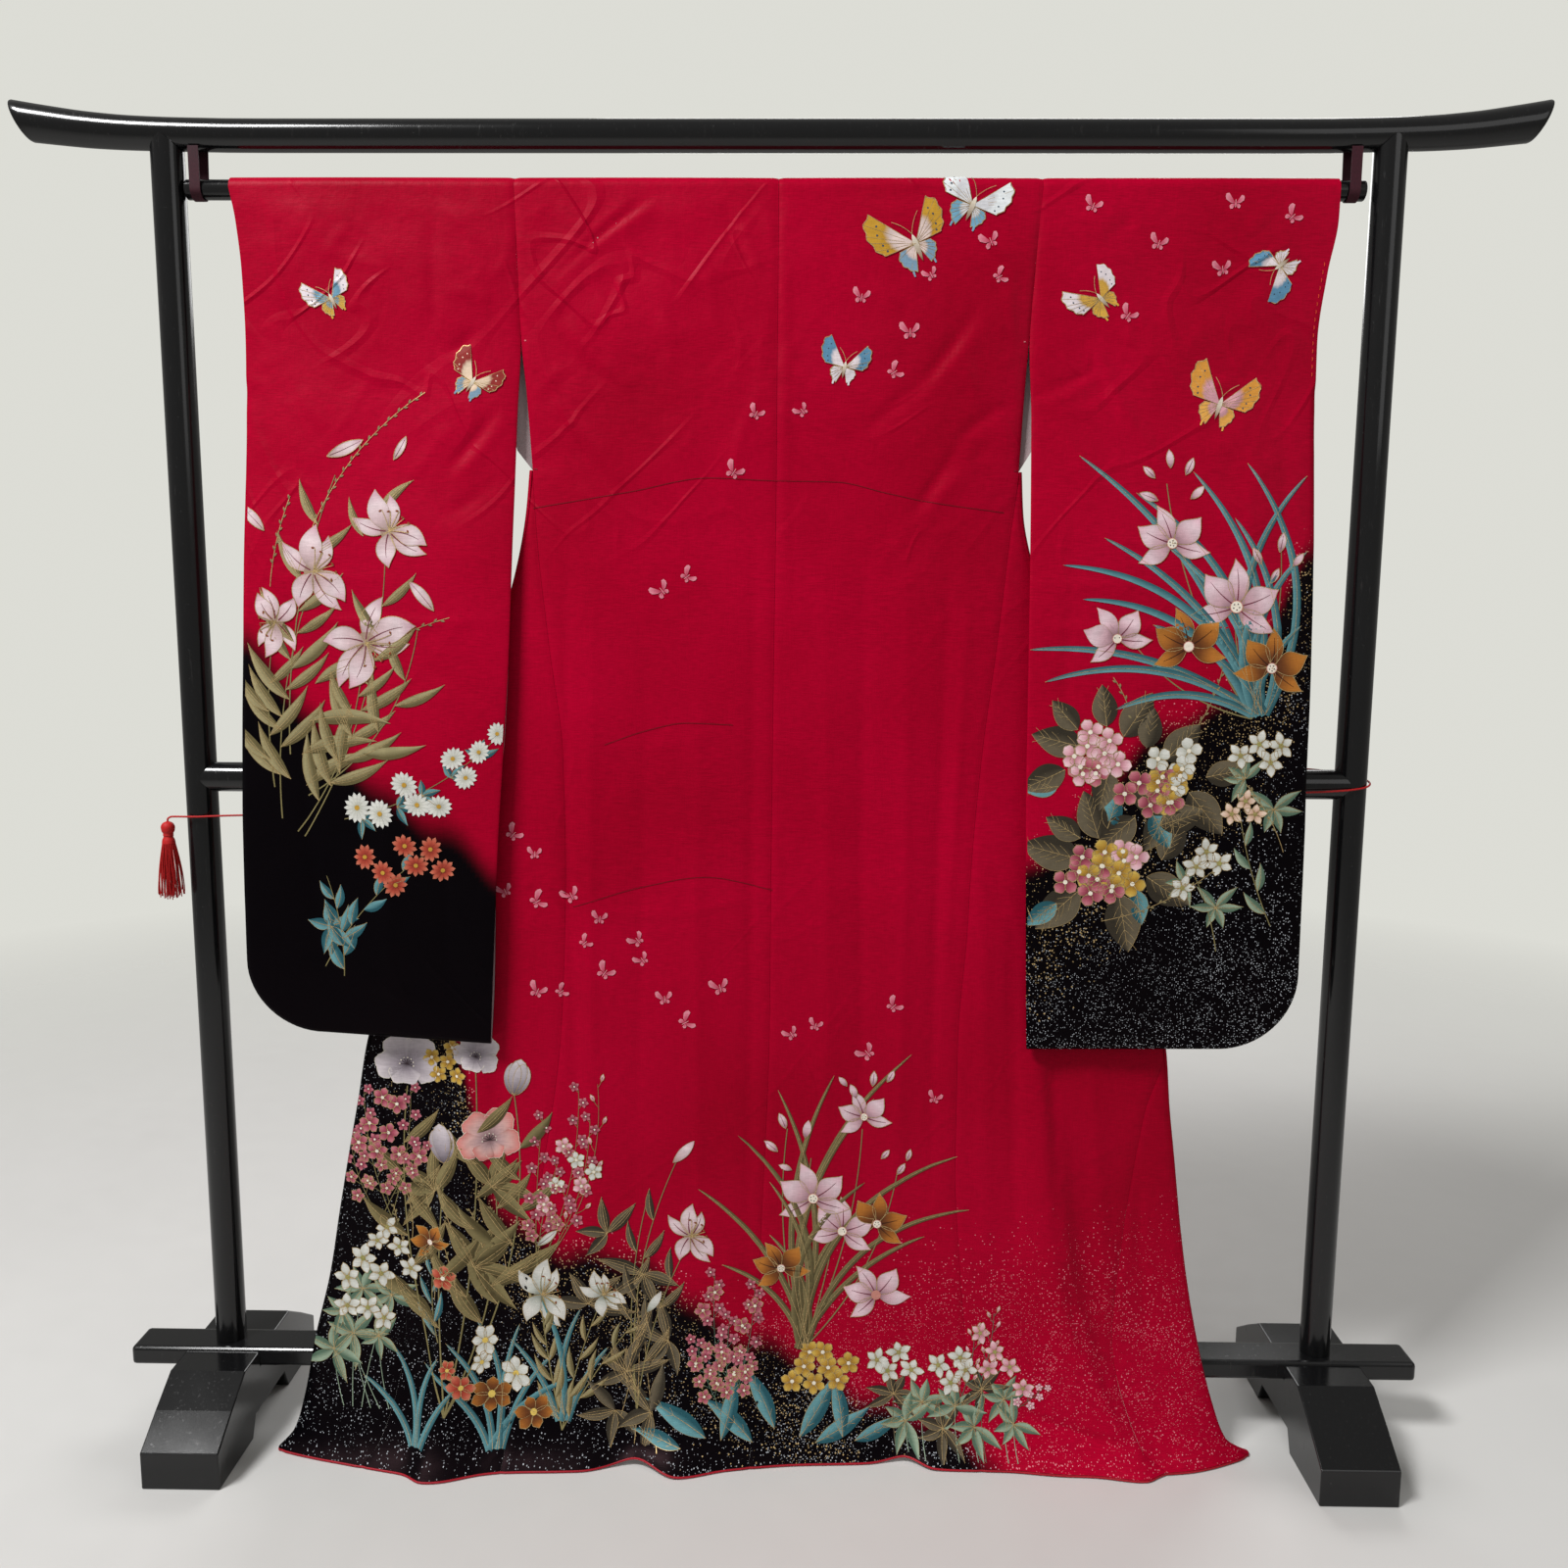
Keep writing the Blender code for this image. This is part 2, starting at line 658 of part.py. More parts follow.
def hem_roll():
    """Follows the hem rows of all the panels, from one front edge round the back to the other."""
    drop = Vector((0, 0, -(ROLL_RADIUS + 0.0008)))
    points = []
    for point in list(reversed(hems["left"])) + hems["right"]:
        if not points or (point + drop - points[-1]).length > 0.0015:
            points.append(point + drop)
    tube("hem_roll", points, ROLL_RADIUS, 1, HEM_SILK)


hem_roll()


# Stand
def ring_loft(bm, rings):
    """Joins rings of equal counts of points into one closed skin, capped at both ends."""
    verts = [[bm.verts.new(point) for point in ring] for ring in rings]
    count = len(rings[0])
    for first, second in zip(verts, verts[1:]):
        for k in range(count):
            bm.faces.new((first[k], first[(k + 1) % count], second[(k + 1) % count], second[k]))
    bm.faces.new(list(reversed(verts[0])))
    bm.faces.new(verts[-1])


def rod_between(name, start, end, radius, sides=20, finish=LACQUER):
    """A round bar between two points."""
    axis = Vector(end) - Vector(start)
    bm = bmesh.new()
    bmesh.ops.create_cone(bm, cap_ends=True, segments=sides, radius1=radius, radius2=radius,
                          depth=axis.length)
    made = finished(name, bm, finish)
    made.rotation_mode = "QUATERNION"
    made.rotation_quaternion = axis.to_track_quat("Z", "Y")
    made.location = (Vector(start) + Vector(end)) / 2
    return made


RAIL_SHAPE = [
    # place along X, centre height, radius
    (0.000, RAIL_HEIGHT, RAIL_RADIUS),
    (0.620, RAIL_HEIGHT, RAIL_RADIUS),
    (0.700, RAIL_HEIGHT + 0.0012, RAIL_RADIUS),
    (0.760, RAIL_HEIGHT + 0.0030, 0.0190),
    (0.810, RAIL_HEIGHT + 0.0064, 0.0202),
    (0.850, RAIL_HEIGHT + 0.0110, 0.0217),
    (0.892, RAIL_HEIGHT + 0.0165, 0.0233),
]
RAIL_SLANT = 0.42


def top_rail():
    bm = bmesh.new()
    sides = 20
    halves = [(-x, z, r) for x, z, r in reversed(RAIL_SHAPE)] + RAIL_SHAPE[1:]
    rings = []
    for x, z, r in halves:
        tip = STAND_WIDTH / 2 - 0.008
        lean = RAIL_SLANT * ease((abs(x) - 0.76) / (tip - 0.76)) * (1 if x > 0 else -1)
        ring = []
        for k in range(sides):
            angle = 2 * pi * k / sides
            rise = r * sin(angle)
            ring.append((x + lean * rise, r * cos(angle), z + rise))
        rings.append(ring)
    ring_loft(bm, rings)
    bevelled(finished("top_rail", bm, LACQUER), 0.003)


BOARD_TOP, BOARD_BOTTOM = 0.108, 0.0827
BOARD_HALF_LENGTH, BOARD_HALF_DEPTH, BOARD_Y = 0.8416, 0.0249, -0.0044
FOOT_TOP, FOOT_HALF_LENGTH, FOOT_WIDTH = 0.1034, 0.1624, 0.0968
POST_RADIUS = 0.019
MID_RAIL_HEIGHT = 0.863

FOOT_OUTLINE = [
    # place along Y, height: one half of the side view, from the middle of the arch round to the top
    (0.0000, 0.0270),
    (0.0478, 0.0270),
    (0.0603, 0.0000),
    (FOOT_HALF_LENGTH, 0.0000),
    (FOOT_HALF_LENGTH, 0.0472),
    (0.1180, 0.0765),
    (0.0741, FOOT_TOP),
]


def block(name, size, centre):
    bm = bmesh.new()
    bmesh.ops.create_cube(bm, size=1.0)
    bmesh.ops.scale(bm, vec=size, verts=bm.verts)
    made = finished(name, bm, LACQUER)
    made.location = centre
    return made


def foot(name, x, notch):
    bm = bmesh.new()
    half = FOOT_OUTLINE[1:]
    outline = half + [(-y, z) for y, z in reversed(half)]
    side = [bm.verts.new((-FOOT_WIDTH / 2, y, z)) for y, z in outline]
    face = bm.faces.new(side)
    moved = bmesh.ops.extrude_face_region(bm, geom=[face])["geom"]
    far_side = [item for item in moved if isinstance(item, bmesh.types.BMVert)]
    bmesh.ops.translate(bm, vec=(FOOT_WIDTH, 0, 0), verts=far_side)
    made = finished(name, bm, LACQUER, smooth=20)
    made.location.x = x
    bevelled(made, 0.0016)
    cut(made, notch)
    return made


def stand():
    top_rail()
    seat = cutter(rod_between("rail_seat", (-0.8, 0, RAIL_HEIGHT + 0.0014), (0.8, 0, RAIL_HEIGHT + 0.0014),
                              RAIL_RADIUS + 0.0008, 48))
    board = block("base_board", (2 * BOARD_HALF_LENGTH, 2 * BOARD_HALF_DEPTH, BOARD_TOP - BOARD_BOTTOM),
                  (0, BOARD_Y, (BOARD_TOP + BOARD_BOTTOM) / 2))
    bevelled(board, 0.005, 3)
    notch = cutter(block("board_notch", (1.8, 2 * (BOARD_HALF_DEPTH + GAP), 0.1),
                         (0, BOARD_Y, BOARD_BOTTOM - GAP + 0.05)))
    middle = rod_between("mid_rail", (-POST_SPACING / 2, 0, MID_RAIL_HEIGHT),
                         (POST_SPACING / 2, 0, MID_RAIL_HEIGHT), RAIL_RADIUS)
    for word, side in (("left", LEFT), ("right", RIGHT)):
        x = side * POST_SPACING / 2
        foot("foot_" + word, x, notch)
        post = rod_between("post_" + word, (x, 0, BOARD_TOP + GAP), (x, 0, RAIL_HEIGHT + 0.002), POST_RADIUS)
        cut(post, seat)
        cut(middle, cutter(rod_between("post_seat_" + word, (x, 0, 0.7), (x, 0, 1.0), POST_RADIUS + GAP, 48)))


stand()

ROD_ENDS = (-0.6985, 0.692)
STRAP_PLACES = (("left", -0.6840), ("right", 0.6770))
STRAP_WIDTH, STRAP_WALL = 0.0125, 0.0014
rod = rod_between("rod", (ROD_ENDS[0], 0, ROD_HEIGHT), (ROD_ENDS[1], 0, ROD_HEIGHT), ROD_RADIUS, 24)
bevelled(rod, 0.0012)


def strap(name, x):
    """A flat cloth sling from the rail's underside, round the rod and up again, spread at the back."""
    cloth = Sheet()
    radius = ROD_RADIUS + GAP + STRAP_WALL / 2
    strands, rows = [], []
    for face, spread in ((-1, 0.0), (1, 0.0025)):
        y = face * (radius + spread)
        inner_face = abs(y) - STRAP_WALL / 2
        top = RAIL_HEIGHT - sqrt((RAIL_RADIUS + GAP) ** 2 - inner_face**2)
        half_way = ((y + face * radius) / 2, (top + ROD_HEIGHT) / 2)
        strands.append([((y, top), (face, 0)), (half_way, (face, 0))])
    arc = []
    for k in range(11):
        angle = pi * k / 10
        arc.append(((-radius * cos(angle), ROD_HEIGHT - radius * sin(angle)), (-cos(angle), -sin(angle))))
    outline = strands[0] + arc + list(reversed(strands[1]))
    for edge in (-1, 1):
        rim = x + edge * STRAP_WIDTH / 2
        rows.append([((rim, y, z), (0, out_y, out_z)) for (y, z), (out_y, out_z) in outline])
    cloth.add_grid(rows)
    return cloth.wall(name, STRAP_CLOTH, STRAP_WALL)


for word, place in STRAP_PLACES:
    strap("strap_" + word, place)


# Red cord looped round the right post and led back along the rail, with its tassel at the left post
CORD_RADIUS = 0.00125
CORD_ROUTE = [
    (-0.7560, -0.0215, 0.8092),
    (-0.7555, -0.0215, 0.8122),
    (-0.7520, -0.0217, 0.8146),
    (-0.7460, -0.0220, 0.8152),
    (-0.7200, -0.0224, 0.8152),
    (-0.7000, -0.0220, 0.8160),
    (-0.6580, -0.0214, 0.8175),
    (-0.5000, -0.0212, 0.8215),
    (-0.3000, -0.0212, 0.8270),
    (-0.1000, -0.0212, 0.8325),
    (0.1000, -0.0212, 0.8385),
    (0.3000, -0.0214, 0.8445),
    (0.5000, -0.0216, 0.8505),
    (0.6560, -0.0220, 0.8560),
    (0.6950, -0.0223, 0.8580),
    (0.7130, -0.0218, 0.8595),
    (0.7310, -0.0183, 0.8620),
    (0.7410, -0.0080, 0.8650),
    (0.7420, 0.0040, 0.8680),
    (0.7360, 0.0150, 0.8710),
    (0.7220, 0.0214, 0.8740),
    (0.7040, 0.0223, 0.8765),
    (0.6700, 0.0200, 0.8800),
    (0.6000, 0.0130, 0.8835),
    (0.4500, 0.0040, 0.8838),
    (0.2500, -0.0020, 0.8838),
    (0.0500, 0.0020, 0.8838),
    (-0.1500, -0.0010, 0.8838),
    (-0.3500, 0.0030, 0.8838),
    (-0.5200, 0.0010, 0.8838),
    (-0.6450, 0.0020, 0.8838),
]


def smooth_route(route, steps):
    """Points on a Catmull-Rom curve through a hand-placed route."""
    places = [Vector(point) for point in route]
    places = [2 * places[0] - places[1]] + places + [2 * places[-1] - places[-2]]
    points = []
    for a, b, c, d in zip(places, places[1:], places[2:], places[3:]):
        for k in range(steps):
            t = k / steps
            points.append(((2 * b) + (c - a) * t + (2 * a - 5 * b + 4 * c - d) * t**2
                           + (3 * b - 3 * c + d - a) * t**3) / 2)
    return points + [places[-2]]


cord_points = smooth_route(CORD_ROUTE, 2)
cord_length = sum((b - a).length for a, b in zip(cord_points, cord_points[1:]))
tube("cord", cord_points, CORD_RADIUS, 2, RED_CORD)

TASSEL_TOP = Vector(CORD_ROUTE[0]) - Vector((0, 0, GAP))
TASSEL_PROFILE = [
    # radius, drop below the top of the head
    (0.0020, 0.0000),
    (0.0058, 0.0020),
    (0.0080, 0.0070),
    (0.0072, 0.0125),
    (0.0050, 0.0160),
    (0.0054, 0.0190),
    (0.0072, 0.0235),
    (0.0078, 0.0275),
]
STRAND_RINGS = [
    # strands, radius at the root, radius at the tip, length
    (12, 0.0060, 0.0145, 0.068),
    (7, 0.0036, 0.0085, 0.070),
    (3, 0.0014, 0.0040, 0.072),
]


def tassel():
    """A bound head with a skirt of separate strands whose roots are fused into it."""
    head = bmesh.new()
    rings = []
    for radius, drop_down in TASSEL_PROFILE:
        turns = [2 * pi * k / 12 for k in range(12)]
        rings.append([(radius * cos(turn), radius * sin(turn), -drop_down) for turn in turns])
    ring_loft(head, rings)
    made = finished("tassel", head, RED_CORD)
    made.location = TASSEL_TOP
    strands = bmesh.new()
    root = TASSEL_PROFILE[-1][1] - 0.004
    for ring, (count, inner, outer, length) in enumerate(STRAND_RINGS):
        for n in range(count):
            turn = 2 * pi * (n + 0.5 * ring) / count
            sway = 0.0012 * sin(5 * turn + ring)
            strand = []
            for share in (0.0, 0.35, 0.7, 1.0):
                away = inner + (outer - inner) * sin(share * pi / 2) + sway * share
                centre = Vector((away * cos(turn), away * sin(turn), -root - length * share))
                strand.append([centre + Vector((0.0009 * cos(a), 0.0009 * sin(a), 0))
                               for a in (turn, turn + 2 * pi / 3, turn + 4 * pi / 3)])
            ring_loft(strands, strand)
    fringe = cutter(finished("tassel_strands", strands, RED_CORD))
    fringe.location = made.location
    union = made.modifiers.new("strands", "BOOLEAN")
    union.operation = "UNION"
    union.object = fringe


tassel()
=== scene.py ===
"""The furisode on its lacquered stand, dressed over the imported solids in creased, dyed and painted silk.

Metres, +Z up, in the frame of the solids. X runs along the stand and -Y is the side of the viewer.
Cloth faces are named near (towards the viewer) and far (behind). The tables repeat those of the solids.
"""

from functools import partial
from math import atan2, cos, pi, radians, sin, sqrt

import bmesh
import bpy
import numpy as np
from mathutils import Matrix, Vector
from mathutils.bvhtree import BVHTree
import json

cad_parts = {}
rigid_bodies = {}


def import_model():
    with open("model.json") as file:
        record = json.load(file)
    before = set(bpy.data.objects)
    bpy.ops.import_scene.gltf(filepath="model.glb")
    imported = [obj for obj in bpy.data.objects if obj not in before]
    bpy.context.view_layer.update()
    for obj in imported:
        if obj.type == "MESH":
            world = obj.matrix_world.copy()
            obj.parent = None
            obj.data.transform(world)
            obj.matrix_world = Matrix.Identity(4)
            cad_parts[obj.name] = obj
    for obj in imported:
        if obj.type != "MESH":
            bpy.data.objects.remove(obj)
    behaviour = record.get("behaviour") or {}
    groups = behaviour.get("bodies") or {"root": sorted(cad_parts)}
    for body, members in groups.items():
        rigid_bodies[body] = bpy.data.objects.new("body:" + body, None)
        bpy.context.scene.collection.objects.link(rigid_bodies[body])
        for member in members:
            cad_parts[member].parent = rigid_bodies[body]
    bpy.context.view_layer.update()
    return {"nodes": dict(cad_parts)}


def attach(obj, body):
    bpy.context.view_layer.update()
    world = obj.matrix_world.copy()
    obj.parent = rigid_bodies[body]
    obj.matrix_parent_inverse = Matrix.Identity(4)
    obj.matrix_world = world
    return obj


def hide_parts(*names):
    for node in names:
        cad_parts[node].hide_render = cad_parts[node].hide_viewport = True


for old in list(bpy.data.objects):
    bpy.data.objects.remove(old, do_unlink=True)
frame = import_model()

# Camera, solved from the stand in the photograph
CAMERA_PLACE = Vector((0.0385, -1.6651, 1.0888))
CAMERA_PITCH, CAMERA_YAW, CAMERA_ROLL = radians(7.863), radians(-0.821), radians(0.304)
CAMERA_LENS, CAMERA_SENSOR = 30.79, 36.0


def make_camera():
    ahead = Vector((sin(CAMERA_YAW) * cos(CAMERA_PITCH), cos(CAMERA_YAW) * cos(CAMERA_PITCH),
                    -sin(CAMERA_PITCH)))
    level = Vector((cos(CAMERA_YAW), -sin(CAMERA_YAW), 0))
    upright = level.cross(ahead)
    right = level * cos(CAMERA_ROLL) + upright * sin(CAMERA_ROLL)
    top = upright * cos(CAMERA_ROLL) - level * sin(CAMERA_ROLL)
    data = bpy.data.cameras.new("camera")
    data.lens = CAMERA_LENS
    data.sensor_width = CAMERA_SENSOR
    camera = bpy.data.objects.new("camera", data)
    turn = Matrix((right, top, -ahead)).transposed().to_4x4()
    camera.matrix_world = Matrix.Translation(CAMERA_PLACE) @ turn
    bpy.context.collection.objects.link(camera)
    bpy.context.scene.camera = camera


make_camera()

# Driving sizes
MM = 0.001
GAP = 0.0003
HALF_SEAM = GAP / 2
LEFT, RIGHT = -1, 1
NEAR, FAR = -1, 1
ROD_HEIGHT = 1.5665
CLOTH = 0.0016
COLLAR_WIDTH = 0.055
SLIT_TOP = 1.39
SLIT_BOTTOM = 1.24
OKUMI_POINT = 1.34
OKUMI_TURN = 0.55
COLLAR_END = 0.74
COVER_END = 1.12
CUFF_BOTTOM = 1.35
HEM_HEIGHT = 0.0045
SLEEVE_BOTTOM = 0.5462
SLEEVE_ROUNDING = 0.09
SLEEVE_RISE = {LEFT: 0.012, RIGHT: 0.0015}
FURI_HALF_GAP = 0.0042
CUFF_EASE = 0.03
ROD_SLACK = 0.0004


# Reading the tables
def curve_of(rows, column):
    """A reader of one column at values of the first column, smooth and without overshoot."""
    rows = sorted(rows)
    keys = np.array([row[0] for row in rows])
    values = np.array([row[column] for row in rows])
    spans = np.diff(keys)
    slopes = np.diff(values) / spans
    before, after = slopes[:-1], slopes[1:]
    agree = before * after > 0
    mean = 2 * before * after / np.where(agree, before + after, 1.0)
    tangents = np.concatenate(([slopes[0]], np.where(agree, mean, 0.0), [slopes[-1]]))

    def reader(at):
        at = np.clip(at, keys[0], keys[-1])
        k = np.clip(np.searchsorted(keys, at, side="right") - 1, 0, len(spans) - 1)
        t = (at - keys[k]) / spans[k]
        start = (1 + 2 * t) * (1 - t) ** 2 * values[k] + t * (1 - t) ** 2 * spans[k] * tangents[k]
        end = t * t * (3 - 2 * t) * values[k + 1] + t * t * (t - 1) * spans[k] * tangents[k + 1]
        return start + end

    return reader


def ease(value):
    value = np.clip(value, 0.0, 1.0)
    return value * value * (3 - 2 * value)


DRAPE = [
    # height, body depth, sleeve depth, side half gap, body half gap, sleeve half gap
    (1.5665, 0.0000, 0.0000, 0.0128, 0.0128, 0.0128),
    (1.50, -0.0040, -0.0040, 0.0112, 0.0130, 0.0124),
    (1.39, -0.0110, -0.0110, 0.0065, 0.0130, 0.0110),
    (1.24, -0.0190, -0.0275, 0.0034, 0.0125, 0.0102),
    (1.15, -0.0233, -0.0387, 0.0032, 0.0120, 0.0102),
    (1.05, -0.0285, -0.0475, 0.0032, 0.0120, 0.0100),
    (0.86, -0.0370, -0.0600, 0.0032, 0.0115, 0.0100),
    (0.55, -0.0430, -0.0690, 0.0032, 0.0110, 0.0070),
    (0.30, -0.0455, -0.0700, 0.0032, 0.0110, 0.0060),
    (0.11, -0.0485, -0.0700, 0.0032, 0.0110, 0.0060),
    (0.00, -0.0510, -0.0700, 0.0032, 0.0110, 0.0060),
]
body_depth, sleeve_depth, side_gap, body_gap, sleeve_gap = [curve_of(DRAPE, column) for column in range(1, 6)]

LINES = [
    # height, back seam, left side seam, right side seam
    (1.5665, 0.0050, -0.3070, 0.3140),
    (1.50, 0.0050, -0.3045, 0.3090),
    (1.39, 0.0045, -0.3005, 0.3020),
    (1.33, 0.0042, -0.2950, 0.2983),
    (1.24, 0.0040, -0.2890, 0.2935),
    (1.16, 0.0035, -0.2840, 0.2838),
    (1.03, 0.0020, -0.2700, 0.2700),
    (0.90, 0.0010, -0.2548, 0.2548),
    (0.765, 0.0000, -0.2529, 0.2450),
    (0.68, -0.0005, -0.2550, 0.2416),
    (0.545, -0.0014, -0.2620, 0.2330),
    (0.384, -0.0070, -0.2850, 0.2330),
    (0.27, -0.0115, -0.3040, 0.2400),
    (0.11, -0.0130, -0.3220, 0.2550),
    (0.00, -0.0240, -0.3350, 0.2700),
]
back_seam = curve_of(LINES, 1)
SIDE_SEAM = {LEFT: curve_of(LINES, 2), RIGHT: curve_of(LINES, 3)}

SKIRT = [
    # height, left edge, right edge, left fold, right fold
    (1.24, 0.2926, 0.2971, 0.0, 0.0),
    (1.19, 0.2975, 0.3000, 0.0, 0.0),
    (1.12, 0.3110, 0.3150, 0.0, 0.0),
    (1.00, 0.3500, 0.3480, 0.302, 0.280),
    (0.86, 0.3950, 0.3910, 0.322, 0.288),
    (0.70, 0.4500, 0.4420, 0.348, 0.304),
    (0.535, 0.5070, 0.4935, 0.377, 0.325),
    (0.46, 0.5210, 0.5010, 0.386, 0.340),
    (0.39, 0.5350, 0.5100, 0.397, 0.352),
    (0.31, 0.5500, 0.5200, 0.407, 0.363),
    (0.23, 0.5640, 0.5320, 0.413, 0.374),
    (0.14, 0.5860, 0.5500, 0.417, 0.403),
    (0.065, 0.6000, 0.5700, 0.422, 0.438),
    (0.025, 0.6110, 0.5860, 0.426, 0.460),
    (0.00, 0.6340, 0.6250, 0.430, 0.475),
]
SKIRT_EDGE = {LEFT: curve_of(SKIRT, 1), RIGHT: curve_of(SKIRT, 2)}
SKIRT_FOLD = {LEFT: curve_of(SKIRT, 3), RIGHT: curve_of(SKIRT, 4)}

OPENING = [
    # height, front edge as a share of the outer fold, okumi seam as a share of the outer fold
    (1.5665, 0.300, 0.300),
    (1.40, 0.235, 0.235),
    (1.34, 0.222, 0.222),
    (1.24, 0.225, 0.345),
    (1.00, 0.290, 0.560),
    (0.80, 0.455, 0.800),
    (0.62, 0.650, 0.960),
    (0.55, 0.705, 1.000),
    (0.45, 0.784, 0.932),
    (0.28, 0.883, 0.850),
    (0.12, 0.940, 0.795),
    (0.00, 0.946, 0.812),
]
front_share, okumi_share = curve_of(OPENING, 1), curve_of(OPENING, 2)

HEM_LINE = [
    # place along X, reach of the hem towards the viewer
    (-0.634, 0.100),
    (-0.552, 0.119),
    (-0.405, 0.144),
    (-0.340, 0.132),
    (-0.235, 0.125),
    (-0.175, 0.108),
    (-0.116, 0.137),
    (-0.050, 0.118),
    (0.030, 0.105),
    (0.124, 0.099),
    (0.170, 0.091),
    (0.210, 0.111),
    (0.300, 0.113),
    (0.384, 0.122),
    (0.516, 0.117),
    (0.600, 0.090),
    (0.625, 0.070),
]
hem_reach = curve_of(HEM_LINE, 1)

SLEEVES = [
    # height, left furi edge, left outer edge, right furi edge, right outer edge
    (1.5665, 0.3070, 0.6440, 0.3140, 0.6600),
    (1.53, 0.3055, 0.6370, 0.3110, 0.6590),
    (1.47, 0.3035, 0.6315, 0.3070, 0.6490),
    (1.39, 0.3011, 0.6300, 0.3026, 0.6410),
    (1.30, 0.3055, 0.6310, 0.3062, 0.6410),
    (1.20, 0.3090, 0.6330, 0.3066, 0.6420),
    (1.00, 0.3170, 0.6380, 0.3066, 0.6430),
    (0.88, 0.3250, 0.6415, 0.3066, 0.6420),
    (0.80, 0.3310, 0.6435, 0.3080, 0.6430),
    (0.67, 0.3380, 0.6440, 0.3110, 0.6430),
    (0.54, 0.3450, 0.6440, 0.3150, 0.6430),
]
FURI = {LEFT: curve_of(SLEEVES, 1), RIGHT: curve_of(SLEEVES, 3)}
CUFF = {LEFT: curve_of(SLEEVES, 2), RIGHT: curve_of(SLEEVES, 4)}

FAR_EDGES = [
    # height, then how far the fronts, the left sleeve's and the right sleeve's far walls reach outward past
    # the sleeve's near edge, in mm: the fronts' lining fills the upper slit, the sleeves' hardly shows
    (1.450, 0.0, 0.0, 0.0),
    (1.400, 2.4, 2.4, 2.4),
    (1.385, 2.6, 2.9, 2.9),
    (1.350, 2.9, 4.4, 4.4),
    (1.300, 3.2, 5.4, 5.4),
    (1.140, 3.4, 5.0, 5.4),
    (1.050, 3.4, 2.8, 3.6),
    (0.990, 3.4, 1.2, 3.0),
    (0.920, 3.4, 0.9, 2.8),
    (0.860, 3.4, 2.6, 3.0),
    (0.760, 3.4, 2.4, 2.8),
    (0.690, 3.4, 0.8, 2.4),
    (0.610, 3.4, -0.6, 2.2),
    (0.540, 3.4, 0.4, 2.4),
]
FRONT_PAST = curve_of(FAR_EDGES, 1)
SLEEVE_PAST = {LEFT: curve_of(FAR_EDGES, 2), RIGHT: curve_of(FAR_EDGES, 3)}

